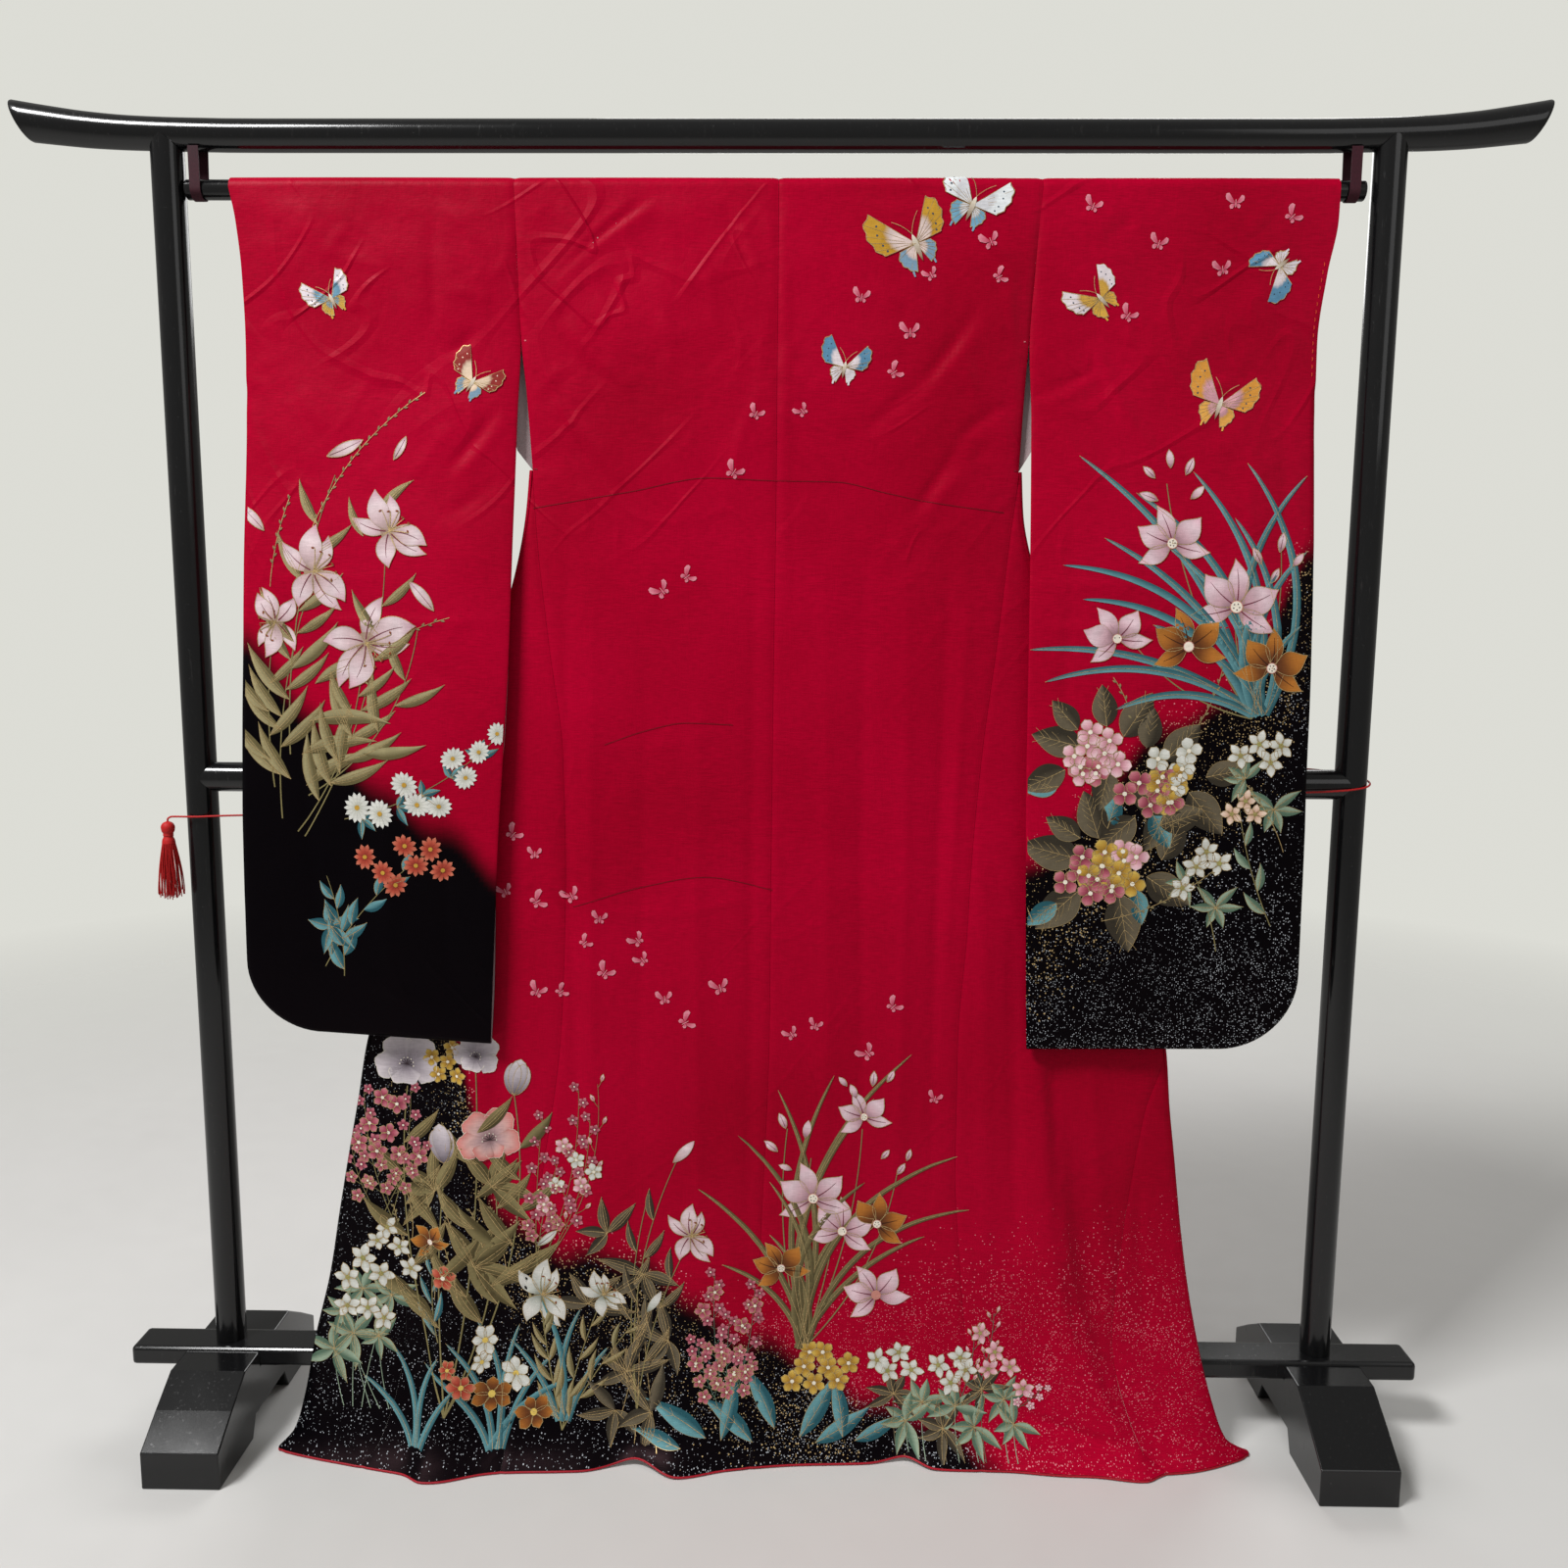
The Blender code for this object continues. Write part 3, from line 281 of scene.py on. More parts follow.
# Creases and soft folds, given one by one. Positive heights are ridges towards the eye, negative ones troughs
BODY_FOLDS = {
    NEAR: [
        # x, z of one end, x, z of the other, bow in mm, width on its left and right in mm, height in mm
        (-0.269, 1.460, -0.156, 1.568, 0, 5, 9, 1.6),
        (-0.264, 1.458, -0.128, 1.566, -5, 5, 5, -2.2),
        (-0.267, 1.449, -0.120, 1.560, -6, 4, 12, 1.6),
        (-0.303, 1.510, -0.270, 1.458, 0, 7, 5, 1.4),
        (-0.215, 1.488, -0.199, 1.422, 0, 5, 7, 0.8),
        (-0.246, 1.418, -0.166, 1.335, 6, 7, 12, 2.2),
        (-0.258, 1.402, -0.185, 1.335, 6, 8, 8, -1.6),
        (-0.262, 1.322, -0.176, 1.222, -4, 8, 13, 2.3),
        (-0.272, 1.306, -0.195, 1.215, -4, 8, 8, -1.4),
        (-0.078, 1.475, -0.066, 1.400, 0, 5, 7, 0.9),
        (-0.045, 1.552, -0.012, 1.470, 3, 6, 10, 1.5),
        (-0.058, 1.545, -0.026, 1.470, 3, 8, 7, -1.0),
        (-0.018, 1.556, 0.001, 1.500, 0, 6, 6, 0.9),
        (-0.010, 1.420, -0.016, 1.325, 0, 7, 9, 1.3),
        (-0.014, 1.340, -0.050, 1.232, 3, 7, 8, 1.5),
        (-0.282, 1.326, -0.250, 1.364, 0, 6, 6, 1.0),
        (-0.258, 1.556, -0.225, 1.512, 2, 6, 8, 0.9),
        (-0.150, 1.470, -0.120, 1.360, -8, 16, 20, 1.4),
        (-0.130, 1.300, -0.090, 1.240, 0, 12, 14, 0.9),
        (0.110, 1.284, 0.168, 1.334, -3, 9, 8, -2.2),
        (0.158, 1.324, 0.240, 1.432, 4, 8, 10, -2.8),
        (0.170, 1.318, 0.252, 1.420, 4, 9, 16, 1.9),
        (0.160, 1.182, 0.222, 1.276, 2, 8, 9, -2.6),
        (0.216, 1.270, 0.290, 1.320, -8, 7, 8, -2.4),
        (0.176, 1.180, 0.240, 1.268, 2, 8, 12, 1.8),
        (0.206, 1.228, 0.264, 1.274, -3, 6, 7, -1.4),
        (0.220, 1.526, 0.278, 1.480, -2, 4, 5, 2.0),
        (0.216, 1.519, 0.272, 1.474, -2, 5, 6, -1.6),
        (0.276, 1.460, 0.291, 1.380, 3, 5, 7, 1.2),
        (0.290, 1.500, 0.294, 1.360, 0, 6, 6, -1.4),
        (0.240, 1.435, 0.284, 1.398, 2, 6, 8, 1.1),
        (0.120, 1.460, 0.152, 1.426, 0, 5, 7, 0.8),
        (0.228, 1.374, 0.242, 1.322, 3, 6, 7, 1.0),
        (0.034, 1.300, 0.068, 1.224, 0, 6, 8, 1.1),
        (0.014, 1.556, 0.017, 1.040, 0, 4, 8, 0.9),
        (0.198, 1.462, 0.206, 1.420, 0, 5, 6, 0.8),
        (0.264, 1.310, 0.286, 1.262, 0, 7, 7, 1.0),
        (-0.246, 1.190, -0.240, 0.420, 6, 9, 12, -2.0),
        (-0.215, 1.120, -0.222, 0.250, 4, 14, 16, 1.8),
        (-0.150, 1.060, -0.170, 0.300, 0, 22, 20, -1.8),
        (-0.085, 0.980, -0.088, 0.200, 5, 18, 22, 1.8),
        (-0.022, 1.190, -0.028, 0.160, 0, 12, 9, -1.8),
        (0.060, 1.130, 0.066, 0.220, -6, 20, 16, 1.5),
        (0.112, 1.160, 0.120, 0.300, 5, 15, 18, -2.0),
        (0.160, 1.140, 0.158, 0.240, -5, 14, 16, 1.7),
        (0.214, 1.170, 0.204, 0.330, 5, 10, 12, -2.0),
        (0.236, 1.130, 0.214, 0.600, 0, 7, 6, 1.4),
        (0.258, 0.800, 0.276, 0.240, 0, 12, 14, 2.2),
        (0.297, 0.700, 0.312, 0.260, 0, 8, 9, -3.2),
        (0.343, 0.680, 0.368, 0.240, 3, 10, 6, -4.0),
        (0.368, 0.262, 0.400, 0.138, 0, 9, 6, -3.6),
        (0.392, 0.168, 0.460, 0.026, -4, 8, 7, -3.6),
        (0.400, 0.560, 0.440, 0.160, 6, 18, 22, 2.4),
        (0.462, 0.420, 0.486, 0.120, 4, 16, 14, -1.8),
        (0.318, 0.066, 0.470, 0.030, 6, 9, 9, -3.0),
        (-0.392, 0.600, -0.400, 0.270, 2, 8, 6, -3.6),
        (-0.340, 0.640, -0.352, 0.250, 0, 12, 12, -2.0),
        (-0.435, 0.420, -0.436, 0.100, 3, 9, 9, -2.2),
        (-0.480, 0.520, -0.520, 0.130, 6, 16, 18, 2.0),
        (-0.300, 0.380, -0.318, 0.120, 0, 10, 14, 1.8),
        (-0.203, 0.914, -0.045, 0.937, 14, 4, 5, 0.7),
        (-0.245, 0.712, 0.000, 0.736, 20, 4, 5, 0.8),
    ],
    FAR: [
        (-0.262, 1.500, -0.150, 1.430, 5, 7, 10, 2.0),
        (-0.250, 1.420, -0.120, 1.300, -6, 8, 12, 2.2),
        (-0.230, 1.380, -0.140, 1.280, 4, 8, 8, -1.8),
        (-0.270, 1.300, -0.200, 1.180, 4, 9, 13, 2.0),
        (0.262, 1.510, 0.140, 1.420, -6, 8, 10, 2.0),
        (0.270, 1.400, 0.170, 1.270, 5, 9, 9, -2.2),
        (0.240, 1.330, 0.130, 1.230, -5, 8, 12, 1.9),
        (0.285, 1.290, 0.240, 1.170, 0, 9, 11, 1.6),
        (-0.280, 1.150, -0.330, 0.640, 8, 14, 16, 2.2),
        (-0.220, 1.100, -0.300, 0.560, 5, 16, 14, -2.2),
        (-0.170, 1.000, -0.260, 0.600, 4, 14, 18, 2.0),
        (-0.360, 0.760, -0.420, 0.180, 0, 16, 16, -2.4),
        (-0.420, 0.560, -0.500, 0.100, 8, 16, 18, 2.6),
        (0.275, 1.160, 0.320, 0.660, -6, 14, 14, 2.2),
        (0.215, 1.120, 0.290, 0.580, 6, 15, 15, -2.2),
        (0.160, 1.010, 0.250, 0.610, 0, 14, 18, 2.0),
        (0.350, 0.740, 0.420, 0.170, 5, 15, 17, -2.5),
        (0.420, 0.540, 0.490, 0.110, -6, 16, 18, 2.6),
        (0.130, 1.180, 0.150, 0.900, 3, 10, 12, 1.5),
        (-0.130, 1.190, -0.140, 0.880, -3, 10, 12, 1.4),
    ],
}
SLEEVE_FOLDS = {
    NEAR: [
        (-0.641, 1.535, -0.613, 1.562, 0, 6, 6, 1.6),
        (-0.536, 1.487, -0.498, 1.535, 2, 6, 7, 1.3),
        (-0.530, 1.494, -0.456, 1.474, 2, 5, 6, 0.9),
        (-0.402, 1.540, -0.404, 1.400, 0, 9, 9, -1.9),
        (-0.394, 1.548, -0.350, 1.502, -3, 7, 5, 1.9),
        (-0.330, 1.462, -0.311, 1.510, 4, 5, 5, 1.5),
        (-0.332, 1.437, -0.390, 1.450, 2, 6, 5, 1.4),
        (-0.333, 1.438, -0.354, 1.470, 0, 5, 5, 1.0),
        (-0.390, 1.376, -0.352, 1.404, 3, 8, 8, -2.0),
        (-0.392, 1.234, -0.326, 1.316, 3, 9, 8, -2.6),
        (-0.378, 1.230, -0.318, 1.304, 3, 8, 10, 1.7),
        (-0.566, 1.334, -0.532, 1.284, 2, 7, 8, 1.2),
        (-0.628, 1.322, -0.606, 1.248, 3, 7, 9, 1.4),
        (-0.446, 1.324, -0.396, 1.366, 4, 13, 13, -1.5),
        (-0.628, 1.346, -0.602, 1.337, 0, 5, 5, 1.2),
        (-0.631, 1.063, -0.315, 1.062, 2, 3, 5, 2.2),
        (-0.631, 1.116, -0.470, 1.112, 3, 4, 5, 0.9),
        (-0.400, 1.180, -0.325, 1.230, 3, 9, 9, -1.6),
        (-0.360, 0.975, -0.325, 0.935, 2, 7, 9, 1.5),
        (-0.420, 1.010, -0.350, 0.960, -3, 9, 9, -1.2),
        (-0.600, 1.240, -0.590, 0.960, 5, 14, 16, 1.6),
        (-0.560, 0.940, -0.550, 0.640, 4, 16, 18, -1.8),
        (-0.470, 0.960, -0.468, 0.600, -5, 18, 16, 1.7),
        (-0.392, 0.900, -0.396, 0.590, 0, 14, 14, -1.6),
        (0.304, 1.326, 0.388, 1.368, 5, 6, 6, -2.2),
        (0.304, 1.316, 0.384, 1.356, 6, 6, 8, 2.0),
        (0.376, 1.390, 0.428, 1.292, 3, 7, 9, 2.2),
        (0.366, 1.384, 0.416, 1.296, 3, 8, 7, -1.5),
        (0.424, 1.298, 0.466, 1.240, 0, 7, 9, 1.6),
        (0.336, 1.300, 0.394, 1.214, 4, 7, 9, 1.8),
        (0.307, 1.386, 0.334, 1.349, 3, 5, 7, 1.3),
        (0.390, 1.506, 0.422, 1.532, -2, 6, 6, -1.4),
        (0.421, 1.531, 0.434, 1.514, 0, 4, 5, 1.2),
        (0.350, 1.492, 0.428, 1.486, 0, 4, 5, 0.8),
        (0.560, 1.446, 0.596, 1.386, 0, 12, 13, 1.3),
        (0.322, 1.376, 0.309, 1.472, 0, 6, 7, 1.0),
        (0.418, 1.376, 0.433, 1.410, 2, 7, 8, -1.4),
        (0.306, 1.057, 0.640, 1.058, 1, 3, 5, 2.6),
        (0.306, 1.110, 0.440, 1.108, 2, 4, 5, 1.6),
        (0.306, 1.243, 0.380, 1.238, 0, 4, 5, 0.9),
        (0.600, 1.330, 0.606, 1.080, -4, 14, 16, -1.8),
        (0.568, 1.300, 0.572, 0.980, 4, 14, 14, 1.5),
        (0.360, 1.160, 0.350, 0.860, 4, 14, 14, -1.6),
        (0.440, 1.000, 0.446, 0.640, 0, 18, 18, 1.7),
        (0.530, 0.940, 0.524, 0.600, -5, 16, 16, -1.8),
        (0.604, 0.900, 0.596, 0.640, 0, 14, 14, 1.5),
    ],
    FAR: [
        (-0.600, 1.520, -0.520, 1.440, 4, 7, 9, 1.6),
        (-0.380, 1.500, -0.450, 1.390, -5, 8, 10, 1.9),
        (-0.360, 1.400, -0.450, 1.290, 5, 8, 8, -2.0),
        (-0.600, 1.360, -0.520, 1.240, 4, 9, 12, 1.5),
        (-0.631, 1.062, -0.330, 1.062, 2, 4, 5, 1.2),
        (-0.560, 1.200, -0.566, 0.700, 6, 16, 18, 1.8),
        (-0.480, 1.160, -0.476, 0.660, -5, 16, 16, -1.8),
        (-0.400, 1.120, -0.402, 0.620, 4, 15, 15, 1.6),
        (0.600, 1.510, 0.510, 1.430, -4, 7, 9, 1.6),
        (0.380, 1.490, 0.460, 1.380, 5, 8, 10, 1.9),
        (0.350, 1.390, 0.440, 1.270, -5, 8, 8, -2.0),
        (0.590, 1.350, 0.530, 1.220, 0, 9, 12, 1.5),
        (0.310, 1.057, 0.640, 1.058, 1, 4, 5, 1.3),
        (0.570, 1.180, 0.566, 0.690, -6, 16, 18, 1.8),
        (0.480, 1.150, 0.486, 0.640, 5, 16, 16, -1.8),
        (0.390, 1.110, 0.392, 0.620, -4, 15, 15, 1.6),
    ],
}


CREASING = 1.35


def folds(rows, x, z):
    """Sum of a table's creases at places on the cloth, each a crisp crest along a bowed, fading line."""
    total = np.zeros(np.broadcast(x, z).shape)
    for x0, z0, x1, z1, bow, left, right, height in rows:
        run_x, run_z = x1 - x0, z1 - z0
        length = sqrt(run_x**2 + run_z**2)
        share = ((x - x0) * run_x + (z - z0) * run_z) / length**2
        inside = np.clip(share, 0.0, 1.0)
        off = ((x - x0) * run_z - (z - z0) * run_x) / length - bow * MM * 4 * inside * (1 - inside)
        width = np.where(off < 0, left, right) * MM
        crest = np.exp(0.14 - np.sqrt((1.3 * off / width) ** 2 + 0.02))
        total += CREASING * height * MM * crest * np.sin(pi * inside) ** 0.6
    return total


LATTICE = np.random.default_rng(7).uniform(-1, 1, (128, 128))


def uneven(x, z, cell):
    """Smooth irregular values from -1 to 1 that change over cells of a given size."""
    across, up = x / cell + 64.3, z / cell + 11.7
    column, row = np.floor(across).astype(int), np.floor(up).astype(int)
    s, t = ease(across - column), ease(up - row)

    def corner(right, above):
        return LATTICE[(row + above) % 128, (column + right) % 128]

    low = corner(0, 0) * (1 - s) + corner(1, 0) * s
    high = corner(0, 1) * (1 - s) + corner(1, 1) * s
    return low * (1 - t) + high * t


CRUMPLES = [
    # turn in radians, size in metres, height in millimetres
    (0.95, 0.048, 1.00),
    (-0.75, 0.056, 1.10),
    (0.20, 0.064, 0.70),
]


def crumple(x, z):
    """Sharp straight creases here and there in a few directions, as silk keeps that lay folded."""
    total = np.zeros(np.broadcast(x, z).shape)
    for turn, cell, height in CRUMPLES:
        along, across = x * cos(turn) + z * sin(turn), z * cos(turn) - x * sin(turn)
        line = (1 - np.abs(uneven(across + turn, 0.30 * along, cell))) ** 3
        here = ease(0.35 + 1.5 * uneven(x + turn, z - turn, 0.12))
        total += height * MM * here * line
    return total


def unevenness(x, z):
    """The small swell of hung silk, livelier in the crumpled upper third than below."""
    swell = 0.0009 * uneven(x, z, 0.085) + 0.0005 * uneven(x + 0.4 * z, z, 0.036)
    swell += 0.00022 * uneven(x - 0.3 * z, z, 0.017)
    swell = swell * (0.45 + 0.75 * ease((z - 1.12) / 0.2))
    return swell + crumple(x, z) * (0.15 + 0.85 * ease((z - 1.0) / 0.3))


# Body surfaces
def side_seam(side, z):
    return SIDE_SEAM[side](z)


def outer_fold(side, z):
    """The body's outermost line: the armhole edge above the slit's foot, the skirt's fold below it."""
    return np.where(z > SLIT_BOTTOM, side_seam(side, z), side * SKIRT_EDGE[side](z))


def turn_line(side, z):
    return outer_fold(side, z) - side * side_gap(z)


def front_edge(side, z):
    return front_share(z) * outer_fold(side, z)


def okumi_seam(side, z):
    """The seam between front and okumi, kept within the flat part of the layer it lies on."""
    reach = np.minimum(okumi_share(z) * np.abs(outer_fold(side, z)), np.abs(turn_line(side, z)) - 2 * GAP)
    return side * reach


def crown(side, x, z):
    share = np.clip(np.abs(x) / np.abs(outer_fold(side, z)), 0.0, 1.0)
    return np.sqrt(1 - share**4)


def kick(x, z):
    """How far the hem's drag along the floor brings the cloth forward at a height."""
    reach = hem_reach(x) + body_depth(0.0) - body_gap(0.0)
    return reach * (0.6 * np.exp(-z / 0.10) + 0.4 * np.exp(-z / 0.022))


def skirt_fold(side, x, z):
    off = np.abs(x) - SKIRT_FOLD[side](z)
    width = np.where(off < 0, 0.045, 0.018)
    return 0.013 * ease((0.68 - z) / 0.38) * np.exp(-((off / width) ** 2))


def hem_lift(x, z):
    two = 0.011 * np.exp(-(((x + 0.160) / 0.030) ** 2)) + 0.007 * np.exp(-(((x - 0.178) / 0.026) ** 2))
    return two * np.exp(-z / 0.03)


def body_side_y(side, face, x, z):
    """Depth of the body's cloth on one half, with creases that die out at the outer fold and the rod."""
    lift = crown(side, x, z)
    half = side_gap(z) * (1 - lift) + body_gap(z) * lift
    relief = (folds(BODY_FOLDS[face], x, z) + unevenness(x, z)) * np.minimum(1, 1.4 * lift)
    relief *= ease((ROD_HEIGHT - z) / 0.035)
    if face == NEAR:
        forward = kick(x, z) * (0.8 + 0.2 * lift) + skirt_fold(side, x, z) * np.minimum(1, 2 * lift)
        return body_depth(z) - half - forward - relief
    return body_depth(z) + half - kick(x, z) * (0.8 - 0.2 * lift) + relief


def body_y(face, x, z):
    return np.where(x < 0, body_side_y(LEFT, face, x, z), body_side_y(RIGHT, face, x, z))


# Sleeve surfaces
def cuff_line(side, z):
    """The outer edge, with the large round corner at the foot of a furisode's sleeve."""
    fall = np.clip((SLEEVE_BOTTOM + SLEEVE_ROUNDING - z) / SLEEVE_ROUNDING, 0.0, 1.0)
    edge = CUFF[side](z) - SLEEVE_ROUNDING * (1 - np.sqrt(1 - fall**2))
    return side * (edge - side_gap(z) * ease((CUFF_BOTTOM - z) / CUFF_EASE))


def furi_line(side, z, face):
    past = SLEEVE_PAST[side](z) * MM if face == FAR else 0.0
    return side * (FURI[side](z) + HALF_SEAM + past)


def sleeve_y(side, face, x, z):
    """Depth of a sleeve's cloth at a place, with creases that die out at the rod and along the edges."""
    furi, cuff = furi_line(side, z, face), cuff_line(side, z)
    share = np.clip((x - furi) / (cuff - furi), 0.0, 1.0)
    furi_gap = side_gap(z) + (FURI_HALF_GAP - side_gap(z)) * ease((SLIT_TOP - z) / 0.2)
    foot = np.sqrt(np.clip((z - SLEEVE_BOTTOM) / 0.12, 0.0, 1.0))
    swell = np.sqrt(np.clip(4 * share * (1 - share), 0.0, 1.0)) * foot
    edge_gap = furi_gap + (side_gap(z) - furi_gap) * share
    half = edge_gap * (1 - swell) + sleeve_gap(z) * swell
    ripple = 0.0015 * np.sin(pi * share) * np.sin(2 * pi * share + 4 * z) * ease((1.45 - z) / 0.4) * foot
    relief = folds(SLEEVE_FOLDS[face], x, z) + unevenness(x + 0.7, z)
    relief *= (0.25 + 0.75 * np.minimum(1, 1.3 * swell)) * ease((ROD_HEIGHT - z) / 0.035)
    relief *= ease((z - SLEEVE_BOTTOM) / 0.03)
    return sleeve_depth(z) + ripple + face * (half + relief)


def sleeve_rise(side, share, z):
    return SLEEVE_RISE[side] * share * ease((0.75 - z) / 0.2)


# Dyed grounds: where the red runs out into black, and where silver and gold are dusted
BLACK_LINE = {
    "left_sleeve": [
        # x, height below which the ground is black
        (-0.632, 1.048),
        (-0.613, 1.016),
        (-0.582, 0.972),
        (-0.530, 0.922),
        (-0.467, 0.866),
        (-0.417, 0.822),
        (-0.330, 0.750),
    ],
    "right_sleeve": [
        (0.309, 0.772),
        (0.370, 0.836),
        (0.461, 0.925),
        (0.530, 0.975),
        (0.567, 1.004),
        (0.603, 1.077),
        (0.632, 1.145),
    ],
    "body": [
        (-0.620, 0.640),
        (-0.498, 0.610),
        (-0.410, 0.570),
        (-0.380, 0.480),
        (-0.350, 0.330),
        (-0.281, 0.286),
        (-0.181, 0.250),
        (-0.106, 0.212),
        (-0.031, 0.160),
        (0.095, 0.098),
        (0.220, 0.046),
        (0.268, 0.018),
        (0.340, -0.040),
        (0.620, -0.090),
    ],
    "plain": [(-1.0, -1.0), (1.0, -1.0)],
}
black_line = {ground: curve_of(rows, 1) for ground, rows in BLACK_LINE.items()}
DYE_SOFTNESS = {"left_sleeve": 0.055, "right_sleeve": 0.040, "body": 0.050, "plain": 0.01}


def dyeing(ground, x, z):
    """Shares of black dye, silver dust and gold dust at places on a ground, as columns."""
    wobble = 0.010 * np.sin(31 * x + 0.5) + 0.006 * np.sin(83 * x + 1.7)
    depth = black_line[ground](x) + wobble - z
    black = ease(depth / DYE_SOFTNESS[ground] + 0.5)
    silver, gold = np.zeros_like(black), np.zeros_like(black)
    if ground == "right_sleeve":
        silver = ease(depth / 0.20) * (0.55 + 0.45 * ease((0.74 - z) / 0.12))
        gold = ease((depth + 0.05) / 0.06) * ease((0.24 - depth) / 0.12)
    if ground == "body":
        pink = ease((0.30 + 0.16 * x - z) / 0.22) * ease((x + 0.06) / 0.10)
        silver = np.maximum(0.6 * ease((depth + 0.01) / 0.10), pink)
        gold = ease((depth + 0.05) / 0.06) * ease((0.20 - depth) / 0.12)
        gold = gold * ease((0.22 - x) / 0.2) * ease((x + 0.5) / 0.1)
    return np.stack([black, silver, gold, np.ones_like(black)], axis=-1)


# Meshes
def between(low, high, heights):
    """The heights within a stretch, from its top to its bottom, with its two ends put in exactly."""
    inside = heights[(heights > low + 0.0015) & (heights < high - 0.0015)]
    return np.concatenate(([high], inside, [low]))


ROW_STEP = 0.0055
ROWS = np.concatenate((np.arange(ROD_HEIGHT, 0.14, -ROW_STEP), np.arange(0.14, 0.05, -0.004),
                       np.arange(0.05, 0, -0.0028)))


def columns(count, fine=(0.0035, 0.009)):
    """Shares across a panel, closer together beside its two long edges, where the seams sink in."""
    inner = np.linspace(0.0, 1.0, count + 1)[1:-1]
    inner = inner[(inner > fine[-1] * 1.6) & (inner < 1 - fine[-1] * 1.6)]
    return np.concatenate(([0.0], fine, inner, [1 - share for share in reversed(fine)], [1.0]))


class Sheet:
    """The middle surface of a cloth piece, made of grids that share their edges."""

    def __init__(self):
        self.middle = bmesh.new()
        self.toward = self.middle.verts.layers.float_vector.new("toward")

    def add_grid(self, points, directions):
        """Adds a grid of points, rows by columns, each with the way in which the wall has its thickness."""
        directions = np.broadcast_to(directions, points.shape)
        placed = []
        for row, ways in zip(points.tolist(), directions.tolist()):
            placed.append([self.middle.verts.new(point) for point in row])
            for vert, way in zip(placed[-1], ways):
                vert[self.toward] = way
        for upper, lower in zip(placed, placed[1:]):
            for k in range(len(upper) - 1):
                self.middle.faces.new((upper[k], upper[k + 1], lower[k + 1], lower[k]))

    def wall(self, name, finishes, thickness=CLOTH, ground=None):
        """Turns the middle surface into a closed wall: the first finish is outside, the second inside."""
        bmesh.ops.remove_doubles(self.middle, verts=self.middle.verts, dist=2e-5)
        bmesh.ops.recalc_face_normals(self.middle, faces=self.middle.faces)
        bm = bmesh.new()
        halves = {}
        for face in (1, -1):
            shift = face * thickness / 2
            halves[face] = {vert: bm.verts.new(vert.co + vert[self.toward] * shift)
                            for vert in self.middle.verts}
        for cell in self.middle.faces:
            bm.faces.new([halves[1][vert] for vert in cell.verts])
            bm.faces.new([halves[-1][vert] for vert in reversed(cell.verts)]).material_index = 1
        for edge in self.middle.edges:
            if edge.is_boundary:
                a, b = edge.verts
                bm.faces.new((halves[1][b], halves[1][a], halves[-1][a], halves[-1][b]))
        self.middle.free()
        made = finished(name, bm, finishes)
        if ground:
            colour(made, "dye", lambda x, y, z: dyeing(ground, x, z))
        return made


def finished(name, bm, finishes, sharp=50):
    """A named piece from a bmesh, faces turned out, riding on the body."""
    bmesh.ops.recalc_face_normals(bm, faces=bm.faces)
    mesh = bpy.data.meshes.new(name)
    bm.to_mesh(mesh)
    bm.free()
    mesh.shade_smooth()
    mesh.set_sharp_from_angle(angle=radians(sharp))
    for finish in finishes:
        mesh.materials.append(finish)
    made = bpy.data.objects.new(name, mesh)
    bpy.context.collection.objects.link(made)
    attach(made, "root")
    return made


def colour(made, layer, shades):
    """Writes a colour for each point of a mesh, worked out from its place."""
    mesh = made.data
    places = np.empty(len(mesh.vertices) * 3)
    mesh.vertices.foreach_get("co", places)
    x, y, z = places.reshape(-1, 3).T
    attribute = mesh.color_attributes.new(name=layer, type="FLOAT_COLOR", domain="POINT")
    attribute.data.foreach_set("color", shades(x, y, z).astype(np.float32).ravel())


